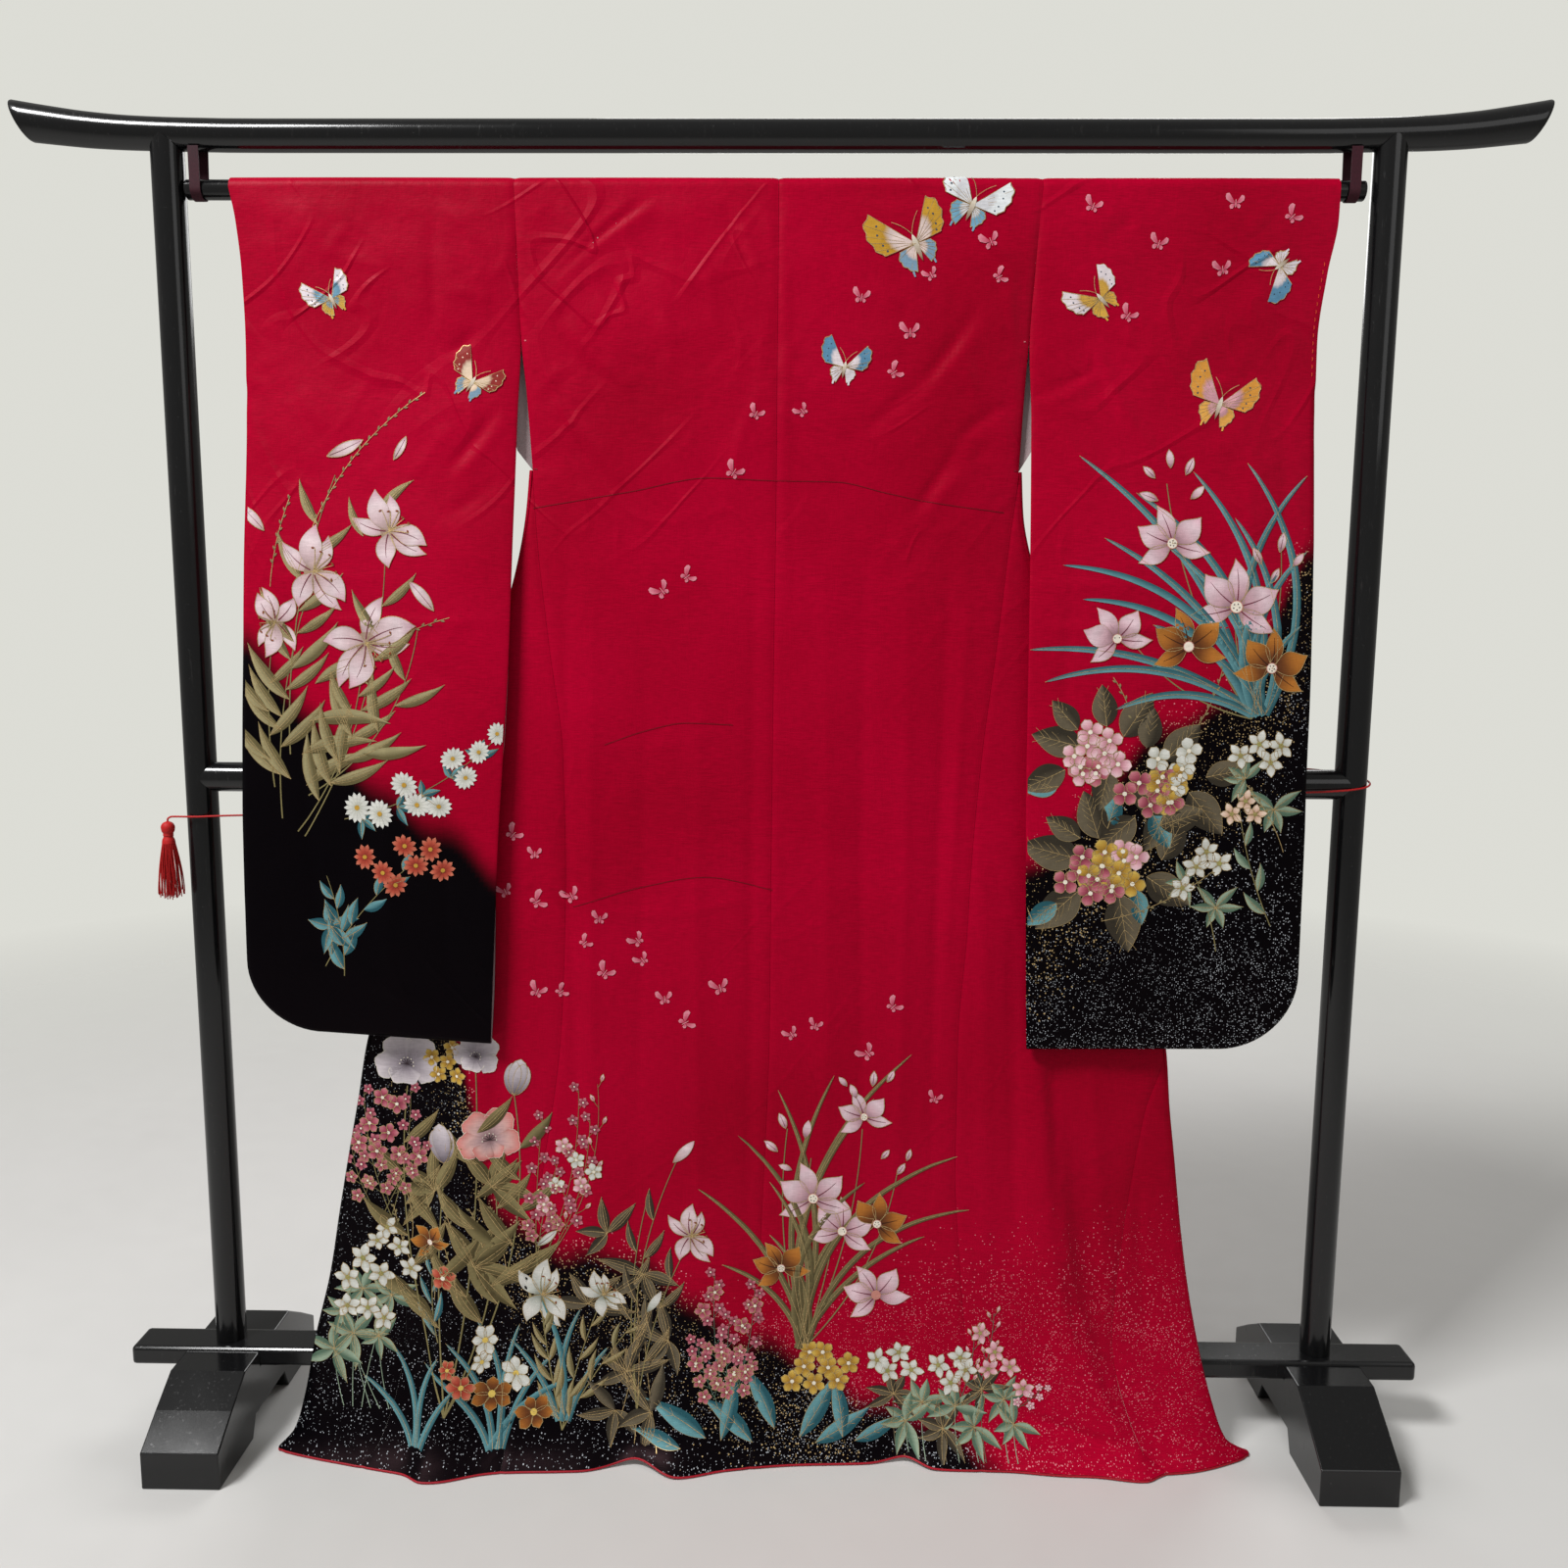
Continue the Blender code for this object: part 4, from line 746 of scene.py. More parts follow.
# Materials
class Nodes:
    """A short way to lay out a material's node tree."""

    def __init__(self, name):
        self.material = bpy.data.materials.new(name)
        self.material.use_nodes = True
        self.tree = self.material.node_tree
        self.shader = self.tree.nodes["Principled BSDF"]

    def put(self, target, value):
        if isinstance(value, bpy.types.NodeSocket):
            self.tree.links.new(value, target)
        else:
            target.default_value = value

    def node(self, kind, inputs=(), output=0, **settings):
        made = self.tree.nodes.new("ShaderNode" + kind)
        for key, value in settings.items():
            setattr(made, key, value)
        for key, value in dict(inputs).items():
            self.put(made.inputs[key], value)
        return made.outputs[output]

    def place(self, scale=(1, 1, 1)):
        """Object coordinates, stretched."""
        where = self.node("TexCoord", output="Object")
        return self.node("Mapping", {"Vector": where, "Scale": scale})

    def noise(self, scale, detail=2.0, stretch=(1, 1, 1), roughness=0.5):
        return self.node("TexNoise", {"Vector": self.place(stretch), "Scale": scale, "Detail": detail,
                                      "Roughness": roughness})

    def math(self, operation, a, b=0.0):
        return self.node("Math", {0: a, 1: b}, operation=operation)

    def ramp(self, value, low, high, start=0.0, end=1.0):
        return self.node("MapRange", {"Value": value, "From Min": low, "From Max": high,
                                      "To Min": start, "To Max": end})

    def mix(self, share, a, b, blend="MIX"):
        made = self.tree.nodes.new("ShaderNodeMix")
        made.data_type, made.blend_type = "RGBA", blend
        for index, value in ((0, share), (6, a), (7, b)):
            self.put(made.inputs[index], value)
        return made.outputs[2]

    def attribute(self, name):
        return self.node("Attribute", attribute_name=name, output="Color")

    def grey(self, value):
        return self.node("CombineColor", {0: value, 1: value, 2: value})

    def split(self, shade):
        made = self.tree.nodes.new("ShaderNodeSeparateColor")
        self.put(made.inputs[0], shade)
        return made.outputs

    def bump(self, height, distance, strength=1.0, normal=None):
        inputs = {"Height": height, "Distance": distance, "Strength": strength}
        if normal:
            inputs["Normal"] = normal
        return self.node("Bump", inputs)

    def set(self, **values):
        for key, value in values.items():
            self.put(self.shader.inputs[key.replace("_", " ")], value)
        return self.material


def creased(nodes, cell, turn, stretch):
    """Sharp thin creases that run in one slanting direction and come and go, as heights."""
    inputs = {"Vector": nodes.place(), "Rotation": (0, turn, 0), "Scale": (1.0, 1.0, 1 / stretch)}
    along = nodes.node("Mapping", inputs, vector_type="TEXTURE")
    swell = nodes.node("TexNoise", {"Vector": along, "Scale": cell, "Detail": 1.0, "Distortion": 0.6})
    off = nodes.math("ABSOLUTE", nodes.math("SUBTRACT", swell, 0.5))
    return nodes.ramp(off, 0.0, 0.035, 1.0, 0.0)


def woven(nodes):
    """The silk's weave as a lightness share, and its normal with the weave, fine rumples and creases."""
    weft = nodes.noise(1.0, 3.0, (90, 90, 1300))
    warp = nodes.noise(1.0, 2.0, (1100, 400, 60))
    cloth = nodes.math("ADD", weft, nodes.math("MULTIPLY", warp, 0.35))
    height = nodes.node("SeparateXYZ", {0: nodes.place()}, output="Z")
    upper = nodes.ramp(height, 1.0, 1.35, 0.45, 1.0)
    rumples = nodes.math("MULTIPLY", nodes.noise(24.0, 5.0, (1.0, 1.0, 0.8), 0.55), upper)
    creases = nodes.math("ADD", creased(nodes, 9.0, 0.8, 0.35), creased(nodes, 11.0, -0.6, 0.35))
    here = nodes.ramp(nodes.noise(5.0, 1.0), 0.46, 0.60)
    creases = nodes.math("MULTIPLY", creases, here)
    creases = nodes.math("MULTIPLY", creases, nodes.math("MULTIPLY", upper, upper))
    first = nodes.bump(rumples, 0.0016, 1.0)
    second = nodes.bump(creases, 0.0012, 1.0, first)
    return cloth, nodes.bump(cloth, 0.00012, 0.7, second)


BLACK_DYE = (0.0010, 0.0011, 0.0018, 1)
SILVER_DUST = (0.50, 0.53, 0.57, 1)
GOLD_DUST = (0.52, 0.37, 0.17, 1)
PINK_DUST = (0.74, 0.24, 0.30, 1)
DUST_SHARE = 0.95


def silk(name, red, deep):
    """Figured silk: red ground with black dye, silver and gold dust from the dye layer."""
    nodes = Nodes(name)
    cloth, normal = woven(nodes)
    shading = nodes.ramp(cloth, 0.45, 0.95, 0.78, 1.14)
    patches = nodes.noise(3.2, 2.0)
    ground = nodes.mix(nodes.ramp(patches, 0.35, 0.65), deep, red)
    dye = nodes.split(nodes.attribute("dye"))
    ground = nodes.mix(dye[0], ground, BLACK_DYE)
    ground = nodes.mix(1.0, ground, nodes.grey(shading), "MULTIPLY")
    clumps = nodes.ramp(nodes.noise(26.0, 3.0), 0.36, 0.60, 0.45, 1.0)
    for share, size, tint in ((dye[1], 430, SILVER_DUST), (dye[2], 340, GOLD_DUST)):
        grains = nodes.tree.nodes.new("ShaderNodeTexVoronoi")
        nodes.put(grains.inputs["Vector"], nodes.place((1.0, 0.2, 1.0)))
        grains.inputs["Scale"].default_value = size
        chance = nodes.split(grains.outputs["Color"])
        reach = nodes.ramp(chance[1], 0.0, 1.0, 0.12, 0.36)
        dusted = nodes.math("MULTIPLY", nodes.math("MULTIPLY", share, DUST_SHARE), clumps)
        here = nodes.math("LESS_THAN", chance[0], dusted)
        speck = nodes.math("MULTIPLY", here, nodes.math("LESS_THAN", grains.outputs["Distance"], reach))
        glow = nodes.ramp(chance[2], 0.0, 1.0, 0.25, 1.0)
        bright = nodes.mix(nodes.math("SUBTRACT", 1.0, dye[0]), tint, PINK_DUST)
        ground = nodes.mix(nodes.math("MULTIPLY", speck, glow), ground, bright)
    rough = nodes.ramp(nodes.noise(9.0, 3.0), 0.3, 0.7, 0.36, 0.48)
    nodes.shader.inputs["Specular IOR Level"].default_value = 0.055
    nodes.shader.inputs["Specular Tint"].default_value = (1.0, 0.56, 0.62, 1)
    return nodes.set(Base_Color=ground, Roughness=rough, Normal=normal)


def plain_cloth(name, light, dark, roughness, thread_scale=(500, 500, 700)):
    """A plain woven lining, tape or cord in one colour with its threads."""
    nodes = Nodes(name)
    threads = nodes.noise(1.0, 3.0, thread_scale)
    slow = nodes.noise(12.0, 3.0)
    tone = nodes.mix(nodes.ramp(nodes.math("ADD", threads, slow), 0.7, 1.3), dark, light)
    rough = nodes.ramp(slow, 0.3, 0.7, roughness - 0.06, roughness + 0.06)
    nodes.shader.inputs["Specular IOR Level"].default_value = 0.3
    return nodes.set(Base_Color=tone, Roughness=rough, Normal=nodes.bump(threads, 0.0002, 0.8))


def painted():
    """Dye and paint in many colours, read from the paint layer, over the weave."""
    nodes = Nodes("painted_silk")
    cloth, normal = woven(nodes)
    shading = nodes.ramp(cloth, 0.45, 0.95, 0.84, 1.12)
    shading = nodes.math("MULTIPLY", shading, nodes.ramp(nodes.noise(70.0, 3.0), 0.3, 0.7, 0.90, 1.06))
    grey = nodes.grey(shading)
    tinted = nodes.mix(1.0, nodes.attribute("paint"), grey, "MULTIPLY")
    rough = nodes.ramp(nodes.noise(9.0, 3.0), 0.3, 0.7, 0.46, 0.58)
    nodes.shader.inputs["Specular IOR Level"].default_value = 0.18
    return nodes.set(Base_Color=tinted, Roughness=rough, Normal=normal)


def gilded():
    """Fine gilded lines, uneven in tone and gloss."""
    nodes = Nodes("gold_leaf")
    grain = nodes.noise(600.0, 2.0)
    worn = nodes.noise(45.0, 3.0)
    gold = nodes.mix(nodes.ramp(grain, 0.35, 0.7), (0.36, 0.24, 0.10, 1), (0.72, 0.53, 0.25, 1))
    rough = nodes.ramp(worn, 0.3, 0.7, 0.34, 0.55)
    nodes.shader.inputs["Metallic"].default_value = 0.7
    return nodes.set(Base_Color=gold, Roughness=rough, Normal=nodes.bump(grain, 0.0001, 0.5))


def lacquered():
    """Glossy black lacquer, slightly uneven, with fine scuffs that break its gloss."""
    nodes = Nodes("black_lacquer")
    cloudy = nodes.noise(5.0, 3.0)
    scuffs = nodes.noise(1.0, 4.0, (260, 260, 30), 0.7)
    dust = nodes.noise(340.0, 2.0)
    worn = nodes.ramp(scuffs, 0.60, 0.78, 0.0, 1.0)
    tone = nodes.mix(worn, (0.0045, 0.0045, 0.0050, 1), (0.020, 0.019, 0.019, 1))
    tone = nodes.mix(nodes.ramp(dust, 0.70, 0.80, 0.0, 0.5), tone, (0.05, 0.05, 0.05, 1))
    rough = nodes.math("ADD", nodes.ramp(cloudy, 0.3, 0.7, 0.10, 0.20), nodes.math("MULTIPLY", worn, 0.22))
    nodes.shader.inputs["Specular IOR Level"].default_value = 0.42
    return nodes.set(Base_Color=tone, Roughness=rough, Normal=nodes.bump(cloudy, 0.0006, 0.25))


RED_SILK = silk("crimson_silk", (0.40, 0.0003, 0.022, 1), (0.32, 0.0003, 0.015, 1))
LINING = plain_cloth("pale_lining", (0.56, 0.50, 0.50, 1), (0.44, 0.38, 0.39, 1), 0.62)
# A darker copy of the pale lining for the inner faces of the body and sleeves: painted shade, for the dimness
# inside the robe seen through its slits
SHADE_DARKENED_LINING = plain_cloth("lining_with_painted_shade", (0.44, 0.34, 0.35, 1), (0.37, 0.28, 0.29, 1), 0.62)
HEM_SILK = plain_cloth("hem_silk", (0.42, 0.003, 0.018, 1), (0.28, 0.001, 0.010, 1), 0.5)
COVER_SILK = silk("cover_silk", (0.42, 0.0004, 0.024, 1), (0.34, 0.0003, 0.016, 1))
TAPE = plain_cloth("strap_tape", (0.050, 0.006, 0.014, 1), (0.022, 0.003, 0.007, 1), 0.75, (900, 900, 400))
CORD_SILK = plain_cloth("red_cord", (0.52, 0.012, 0.012, 1), (0.28, 0.004, 0.005, 1), 0.55, (700, 700, 1500))
LACQUER = lacquered()
PAINT = painted()
GOLD_LEAF = gilded()
TOWARD = {NEAR: (0.0, -1.0, 0.0), FAR: (0.0, 1.0, 0.0)}
SEAM_DIP, SEAM_REACH = 0.0009, 0.0035
ALLOWANCE, PRESSED = 0.0035, 0.0004


# Body: the back panels hang on the near side and pass over the rod, the fronts go on from there
def seam_dip(x, low, high):
    """How far the cloth sinks in beside a panel's two long seams."""
    return SEAM_DIP * (np.exp(-((x - low) / SEAM_REACH) ** 2) + np.exp(-((x - high) / SEAM_REACH) ** 2))


def layer_points(side, face, heights, start, end, shares):
    """A layer's points between two upright lines, which are read at each height."""
    low, high = start(heights)[:, None], end(heights)[:, None]
    x = low + (high - low) * shares[None, :]
    z = np.repeat(heights[:, None], len(shares), axis=1)
    y = body_side_y(side, face, x, z) - face * seam_dip(x, low, high)
    rise = hem_lift(x, z) if face == NEAR else 0.0
    return np.stack([x, y, z + rise], axis=-1)


def turn_points(side, heights, cells=6):
    """The round fold that joins the near layer to the far one along the body's outer line."""
    half, inner = side_gap(heights), turn_line(side, heights)
    near, far = body_side_y(side, NEAR, inner, heights), body_side_y(side, FAR, inner, heights)
    angles = np.linspace(0, pi, cells + 1)[None, :]
    middle, reach = ((near + far) / 2)[:, None], ((far - near) / 2)[:, None]
    x = inner[:, None] + side * half[:, None] * np.sin(angles)
    y = middle - reach * np.cos(angles)
    z = np.repeat(heights[:, None], cells + 1, axis=1)
    ways = np.stack([side * np.sin(angles), -np.cos(angles), 0 * angles], axis=-1)
    return np.stack([x, y, z], axis=-1), np.broadcast_to(ways, x.shape + (3,))


def rod_points(x, dip, steps=14):
    """A layer's way over the rod, from the near side to the far side, for a row of places along it."""
    angles = np.linspace(0, pi, steps + 1)[:, None]
    slack = ROD_SLACK * np.sin(pi * np.linspace(0, 1, len(x)))[None, :] * np.sin(angles)
    reach = body_gap(ROD_HEIGHT) + slack - dip[None, :]
    points = np.stack([np.broadcast_to(x[None, :], reach.shape), -reach * np.cos(angles),
                       ROD_HEIGHT + reach * np.sin(angles)], axis=-1)
    ways = np.stack([0 * reach, -np.cos(angles) + 0 * reach, np.sin(angles) + 0 * reach], axis=-1)
    return points, ways


def add_allowance(cloth, side, face, heights, line):
    """The narrow seam allowance that lies pressed behind a seam and closes it to the eye."""
    offsets = np.linspace(-ALLOWANCE, ALLOWANCE, 4)[None, :]
    x = line(heights)[:, None] + offsets
    z = np.repeat(heights[:, None], 4, axis=1)
    y = body_side_y(side, face, x, z) - face * (SEAM_DIP + CLOTH + PRESSED)
    cloth.add_grid(np.stack([x, y, z], axis=-1), TOWARD[face])


def back_panel(side, name):
    cloth = Sheet()
    heights = between(HEM_HEIGHT, ROD_HEIGHT, ROWS)
    shares = columns(56)

    def inner(z):
        return back_seam(z) + side * HALF_SEAM

    def outer(z):
        return side_seam(side, z) - side * HALF_SEAM

    near = layer_points(side, NEAR, heights, inner, outer, shares)
    cloth.add_grid(near, TOWARD[NEAR])
    backed = between(0.02, ROD_HEIGHT - 0.004, ROWS[::2])
    if side == LEFT:
        add_allowance(cloth, side, NEAR, backed, back_seam)
    add_allowance(cloth, side, NEAR, backed[backed < SLIT_BOTTOM], lambda z: side_seam(side, z))
    x = near[0, :, 0]
    cloth.add_grid(*rod_points(x, seam_dip(x, x[0], x[-1])))
    return cloth.wall(name, (RED_SILK, SHADE_DARKENED_LINING), ground="body"), near[-1]


def front_panel(side, name):
    cloth = Sheet()
    foot = OKUMI_TURN + GAP

    def seam(z):
        return side_seam(side, z) + side * HALF_SEAM

    def near_end(z):
        return np.where(z >= OKUMI_TURN, turn_line(side, z), okumi_seam(side, z) - side * GAP)

    def far_start(z):
        """The far layer's outer edge. In the slit it slants out from the side seam to behind the sleeve."""
        full = np.maximum(np.abs(side_seam(side, z)), FURI[side](z)) - HALF_SEAM + FRONT_PAST(z) * MM
        share = np.clip((z - SLIT_BOTTOM) / 0.026, 0.0, 1.0)
        head = np.abs(turn_line(side, SLIT_BOTTOM))
        return np.where(z > SLIT_BOTTOM, side * (head + (full - head) * share), turn_line(side, z))

    def far_end(z):
        return okumi_seam(side, z) + side * GAP

    skirt = between(HEM_HEIGHT, SLIT_BOTTOM, ROWS)
    near = layer_points(side, NEAR, skirt, seam, near_end, columns(34))
    cloth.add_grid(near, TOWARD[NEAR])
    turned = between(foot, SLIT_BOTTOM, ROWS)
    cloth.add_grid(*turn_points(side, turned))
    top = ROD_HEIGHT - GAP
    heights = between(foot, top, np.union1d(ROWS, [SLIT_BOTTOM])[::-1])
    cloth.add_grid(layer_points(side, FAR, heights, far_start, far_end, columns(26)), TOWARD[FAR])
    return cloth.wall(name, (RED_SILK, SHADE_DARKENED_LINING), ground="body"), near[-1]


def okumi(side, name):
    cloth = Sheet()
    edge, seam, front = (partial(line, side) for line in (turn_line, okumi_seam, front_edge))
    skirt = between(HEM_HEIGHT, OKUMI_TURN, ROWS)
    near = layer_points(side, NEAR, skirt, seam, edge, columns(16))
    cloth.add_grid(near, TOWARD[NEAR])
    turned, ways = turn_points(side, skirt)
    cloth.add_grid(turned, ways)
    upper = between(OKUMI_TURN, OKUMI_POINT, ROWS)
    cloth.add_grid(layer_points(side, FAR, upper, seam, front, columns(20)), TOWARD[FAR])
    far = layer_points(side, FAR, skirt, edge, front, columns(20))
    cloth.add_grid(far, TOWARD[FAR])
    hem = np.concatenate([near[-1], turned[-1], far[-1]])
    return cloth.wall(name, (RED_SILK, SHADE_DARKENED_LINING), ground="body"), hem


hems = {}
panels = {}
for word, half in (("left", LEFT), ("right", RIGHT)):
    hems[word] = []
    for kind, maker in (("back", back_panel), ("front", front_panel), ("okumi", okumi)):
        piece, hem = maker(half, f"{kind}_{word}_silk")
        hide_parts(f"{kind}_{word}")
        panels[f"{kind}_{word}"] = piece
        hems[word].append(hem)


# Collar: a folded band round the neck and down both front edges, with a shorter cover band on it
def band(name, low, thickness, shift, margin, finishes):
    """A ribbon of the collar's width. Margin draws both its long edges in, shift moves it back."""
    cloth = Sheet()
    shares = margin / COLLAR_WIDTH + (1 - 2 * margin / COLLAR_WIDTH) * np.linspace(0, 1, 13)
    heights = np.concatenate(([ROD_HEIGHT - GAP], ROWS[(ROWS < 1.56) & (ROWS > low + 0.004)], [low]))

    def stretch(side, z):
        z = z[:, None]
        drop = COLLAR_WIDTH * shares[None, :] * ease(1 - (ROD_HEIGHT - z) / 0.13)
        sewn = front_edge(side, z) - side * GAP
        x = sewn - side * COLLAR_WIDTH * shares[None, :]
        loft = 0.0007 * np.sin(pi * shares[None, :]) * (1 + 0.6 * np.sin(23 * z + 2 * side))
        y = body_side_y(side, FAR, sewn + 0 * x, z - drop) + shift + loft
        return np.stack([x, y, z - drop], axis=-1)

    left, right = stretch(LEFT, heights), stretch(RIGHT, heights)
    steps = np.linspace(0, 1, 14)[1:-1, None, None]
    neck = left[0][None] * (1 - steps) + right[0][None] * steps
    cloth.add_grid(np.concatenate([left[::-1], neck, right]), TOWARD[FAR])
    return cloth.wall(name, finishes, thickness, ground="plain")


COLLAR_WALL, COVER_WALL = 0.003, 0.0014
COLLAR_SHIFT = 0.0009
COVER_SHIFT = COLLAR_SHIFT + (COLLAR_WALL + COVER_WALL) / 2 + 0.0004
collar = band("collar_silk", COLLAR_END, COLLAR_WALL, COLLAR_SHIFT, 0.0, (RED_SILK, RED_SILK))
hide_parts("collar")
cover = band("cover_collar_silk", COVER_END, COVER_WALL, COVER_SHIFT, 0.001, (COVER_SILK, COVER_SILK))
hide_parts("cover_collar")


# Sleeves: flat bags over the rod, open at the cuff and all down the furi edge below the armhole
def sleeve_grid(side, face, heights, shares):
    furi, cuff = furi_line(side, heights, face)[:, None], cuff_line(side, heights)[:, None]
    x = furi + (cuff - furi) * shares[None, :]
    z = np.repeat(heights[:, None], len(shares), axis=1)
    dip = SEAM_DIP * np.exp(-((x - furi) / SEAM_REACH) ** 2) * ease((z - SLIT_TOP + 0.02) / 0.02)
    y = sleeve_y(side, face, x, z) - face * dip
    return np.stack([x, y, z + sleeve_rise(side, shares[None, :], z)], axis=-1), dip


def sleeve(side, name):
    cloth = Sheet()
    round_top = SLEEVE_BOTTOM + SLEEVE_ROUNDING
    rounding = SLEEVE_BOTTOM + SLEEVE_ROUNDING * (1 - np.sin(pi / 2 * np.linspace(0, 1, 17)))
    straight = np.union1d(np.arange(round_top + 0.004, ROD_HEIGHT - 0.002, 0.0058), [CUFF_BOTTOM])[::-1]
    heights = np.concatenate(([ROD_HEIGHT], straight, rounding))
    shares = columns(58)
    faces = {}
    for face in (NEAR, FAR):
        faces[face], dip = sleeve_grid(side, face, heights, shares)
        cloth.add_grid(faces[face], TOWARD[face])
    cloth.add_grid(*rod_points(faces[NEAR][0, :, 0], dip[0]))
    first = int(np.argmin(np.abs(heights - CUFF_BOTTOM)))
    near = np.concatenate([faces[NEAR][first:, -1], faces[NEAR][-1, -2::-1]])
    far = np.concatenate([faces[FAR][first:, -1], faces[FAR][-1, -2::-1]])
    along = np.gradient(near, axis=0)
    out = np.stack([-along[:, 2], 0 * along[:, 0], along[:, 0]], axis=-1) * side
    out /= np.linalg.norm(out, axis=1, keepdims=True)
    half = ((far[:, 1] - near[:, 1]) / 2 * ease((CUFF_BOTTOM - near[:, 2]) / CUFF_EASE))[:, None, None]
    angles = np.linspace(0, pi, 6)[None, :, None]
    points = (near + far)[:, None] / 2 + (near - far)[:, None] / 2 * np.cos(angles)
    points = points + out[:, None] * half * np.sin(angles)
    ways = out[:, None] * np.sin(angles) + np.array(TOWARD[NEAR]) * np.cos(angles)
    cloth.add_grid(points, ways)
    ground = "left_sleeve" if side == LEFT else "right_sleeve"
    return cloth.wall(name, (RED_SILK, SHADE_DARKENED_LINING), ground=ground)


# Lining strips that show along the open furi edges, on the inside of each sleeve's far wall
LINING_WALL = 0.001


def furi_lining(side, name):
    cloth = Sheet()
    heights = np.linspace(1.28, 0.70, 90)
    shares = np.linspace(0.0035, 0.031, 7)
    points, dip = sleeve_grid(side, FAR, heights, shares)
    points[..., 1] -= (CLOTH + LINING_WALL) / 2 + 0.0002
    cloth.add_grid(points, TOWARD[FAR])
    return cloth.wall(name, (LINING, LINING), LINING_WALL)


for word, half in (("left", LEFT), ("right", RIGHT)):
    piece = sleeve(half, f"sleeve_{word}_silk")
    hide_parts(f"sleeve_{word}")
    panels[f"sleeve_{word}"] = piece
    strip = furi_lining(half, f"sleeve_lining_{word}_silk")
    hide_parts(f"sleeve_lining_{word}")
    panels[f"sleeve_lining_{word}"] = strip


# Stand: finer round bars where the solids are turned, the board and feet as they are
POST_SPACING = 1.44
RAIL_RADIUS = 0.0185
RAIL_HEIGHT = 1.6275
STAND_WIDTH = 1.80
ROD_RADIUS = 0.0115
POST_RADIUS = 0.019
BOARD_TOP = 0.108
MID_RAIL_HEIGHT = 0.863
ROD_ENDS = (-0.6985, 0.692)
RAIL_SLANT = 0.42
RAIL_SHAPE = [
    # place along X, centre height, radius
    (0.000, RAIL_HEIGHT, RAIL_RADIUS),
    (0.620, RAIL_HEIGHT, RAIL_RADIUS),
    (0.700, RAIL_HEIGHT + 0.0012, RAIL_RADIUS),
    (0.760, RAIL_HEIGHT + 0.0030, 0.0190),
    (0.810, RAIL_HEIGHT + 0.0064, 0.0202),
    (0.850, RAIL_HEIGHT + 0.0110, 0.0217),
    (0.892, RAIL_HEIGHT + 0.0165, 0.0233),
]
BAR_SIDES = 56
BAR_TURNS = np.linspace(0, 2 * pi, BAR_SIDES, endpoint=False)
ACROSS, UPWARD = np.cos(BAR_TURNS), np.sin(BAR_TURNS)


def skin(bm, rings):
    """Joins rings of equal counts of points into one closed skin, capped at both ends."""
    verts = [[bm.verts.new(point) for point in ring] for ring in rings]
    count = len(rings[0])
    for first, second in zip(verts, verts[1:]):
        for k in range(count):
            bm.faces.new((first[k], first[(k + 1) % count], second[(k + 1) % count], second[k]))
    bm.faces.new(list(reversed(verts[0])))
    bm.faces.new(verts[-1])


def turned(name, rings):
    bm = bmesh.new()
    skin(bm, rings)
    made = finished(name + "_lacquered", bm, (LACQUER,), sharp=30)
    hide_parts(name)


def top_rail():
    middle_height, radius = curve_of(RAIL_SHAPE, 1), curve_of(RAIL_SHAPE, 2)
    tip = RAIL_SHAPE[-1][0]
    half = np.concatenate((np.linspace(0, 0.7, 15)[:-1], np.linspace(0.7, tip - 0.003, 26)))
    ease_in = [(half_x, 0.0) for half_x in half] + [(tip - 0.0009, 0.0009), (tip, 0.0030)]
    rings = []
    for x, shrink in [(-x, shrink) for x, shrink in reversed(ease_in)] + ease_in[1:]:
        lean = RAIL_SLANT * ease((abs(x) - 0.76) / (STAND_WIDTH / 2 - 0.008 - 0.76)) * (1 if x > 0 else -1)
        r = radius(abs(x)) - shrink
        height = middle_height(abs(x))
        rings.append(np.stack([x + lean * r * UPWARD, r * ACROSS, height + r * UPWARD], axis=-1))
    turned("top_rail", rings)


def upright(name, x):
    """A post with its head hollowed to seat the round rail."""
    y = POST_RADIUS * UPWARD
    seat = RAIL_HEIGHT + 0.0014 - np.sqrt((RAIL_RADIUS + 0.0008) ** 2 - y**2)
    rings = []
    for share in np.linspace(0, 1, 12):
        z = BOARD_TOP + GAP + (seat - BOARD_TOP - GAP) * share
        rings.append(np.stack([x + POST_RADIUS * ACROSS, y, z], axis=-1))
    turned(name, rings)


def middle_rail():
    y = RAIL_RADIUS * ACROSS
    end = POST_SPACING / 2 - np.sqrt((POST_RADIUS + GAP) ** 2 - y**2)
    rings = [np.stack([end * share, y, MID_RAIL_HEIGHT + RAIL_RADIUS * UPWARD], axis=-1)
             for share in np.linspace(-1, 1, 16)]
    turned("mid_rail", rings)


def hanging_rod():
    rings = []
    ends = [(0, 0.0012), (0.0004, 0.0004), (0.0012, 0)]
    stations = [(ROD_ENDS[0] + inset, shrink) for inset, shrink in ends]
    stations += [(ROD_ENDS[1] - inset, shrink) for inset, shrink in reversed(ends)]
    for x, shrink in stations:
        r = ROD_RADIUS - shrink
        rings.append(np.stack([x + 0 * ACROSS, r * ACROSS, ROD_HEIGHT + r * UPWARD], axis=-1))
    turned("rod", rings)


top_rail()
middle_rail()
hanging_rod()
for word, half in (("left", LEFT), ("right", RIGHT)):
    upright("post_" + word, half * POST_SPACING / 2)
    frame["nodes"]["foot_" + word].material_slots[0].material = LACQUER
frame["nodes"]["base_board"].material_slots[0].material = LACQUER

STRAP_PLACES = (("left", -0.6840), ("right", 0.6770))
STRAP_WIDTH, STRAP_WALL = 0.0125, 0.0013


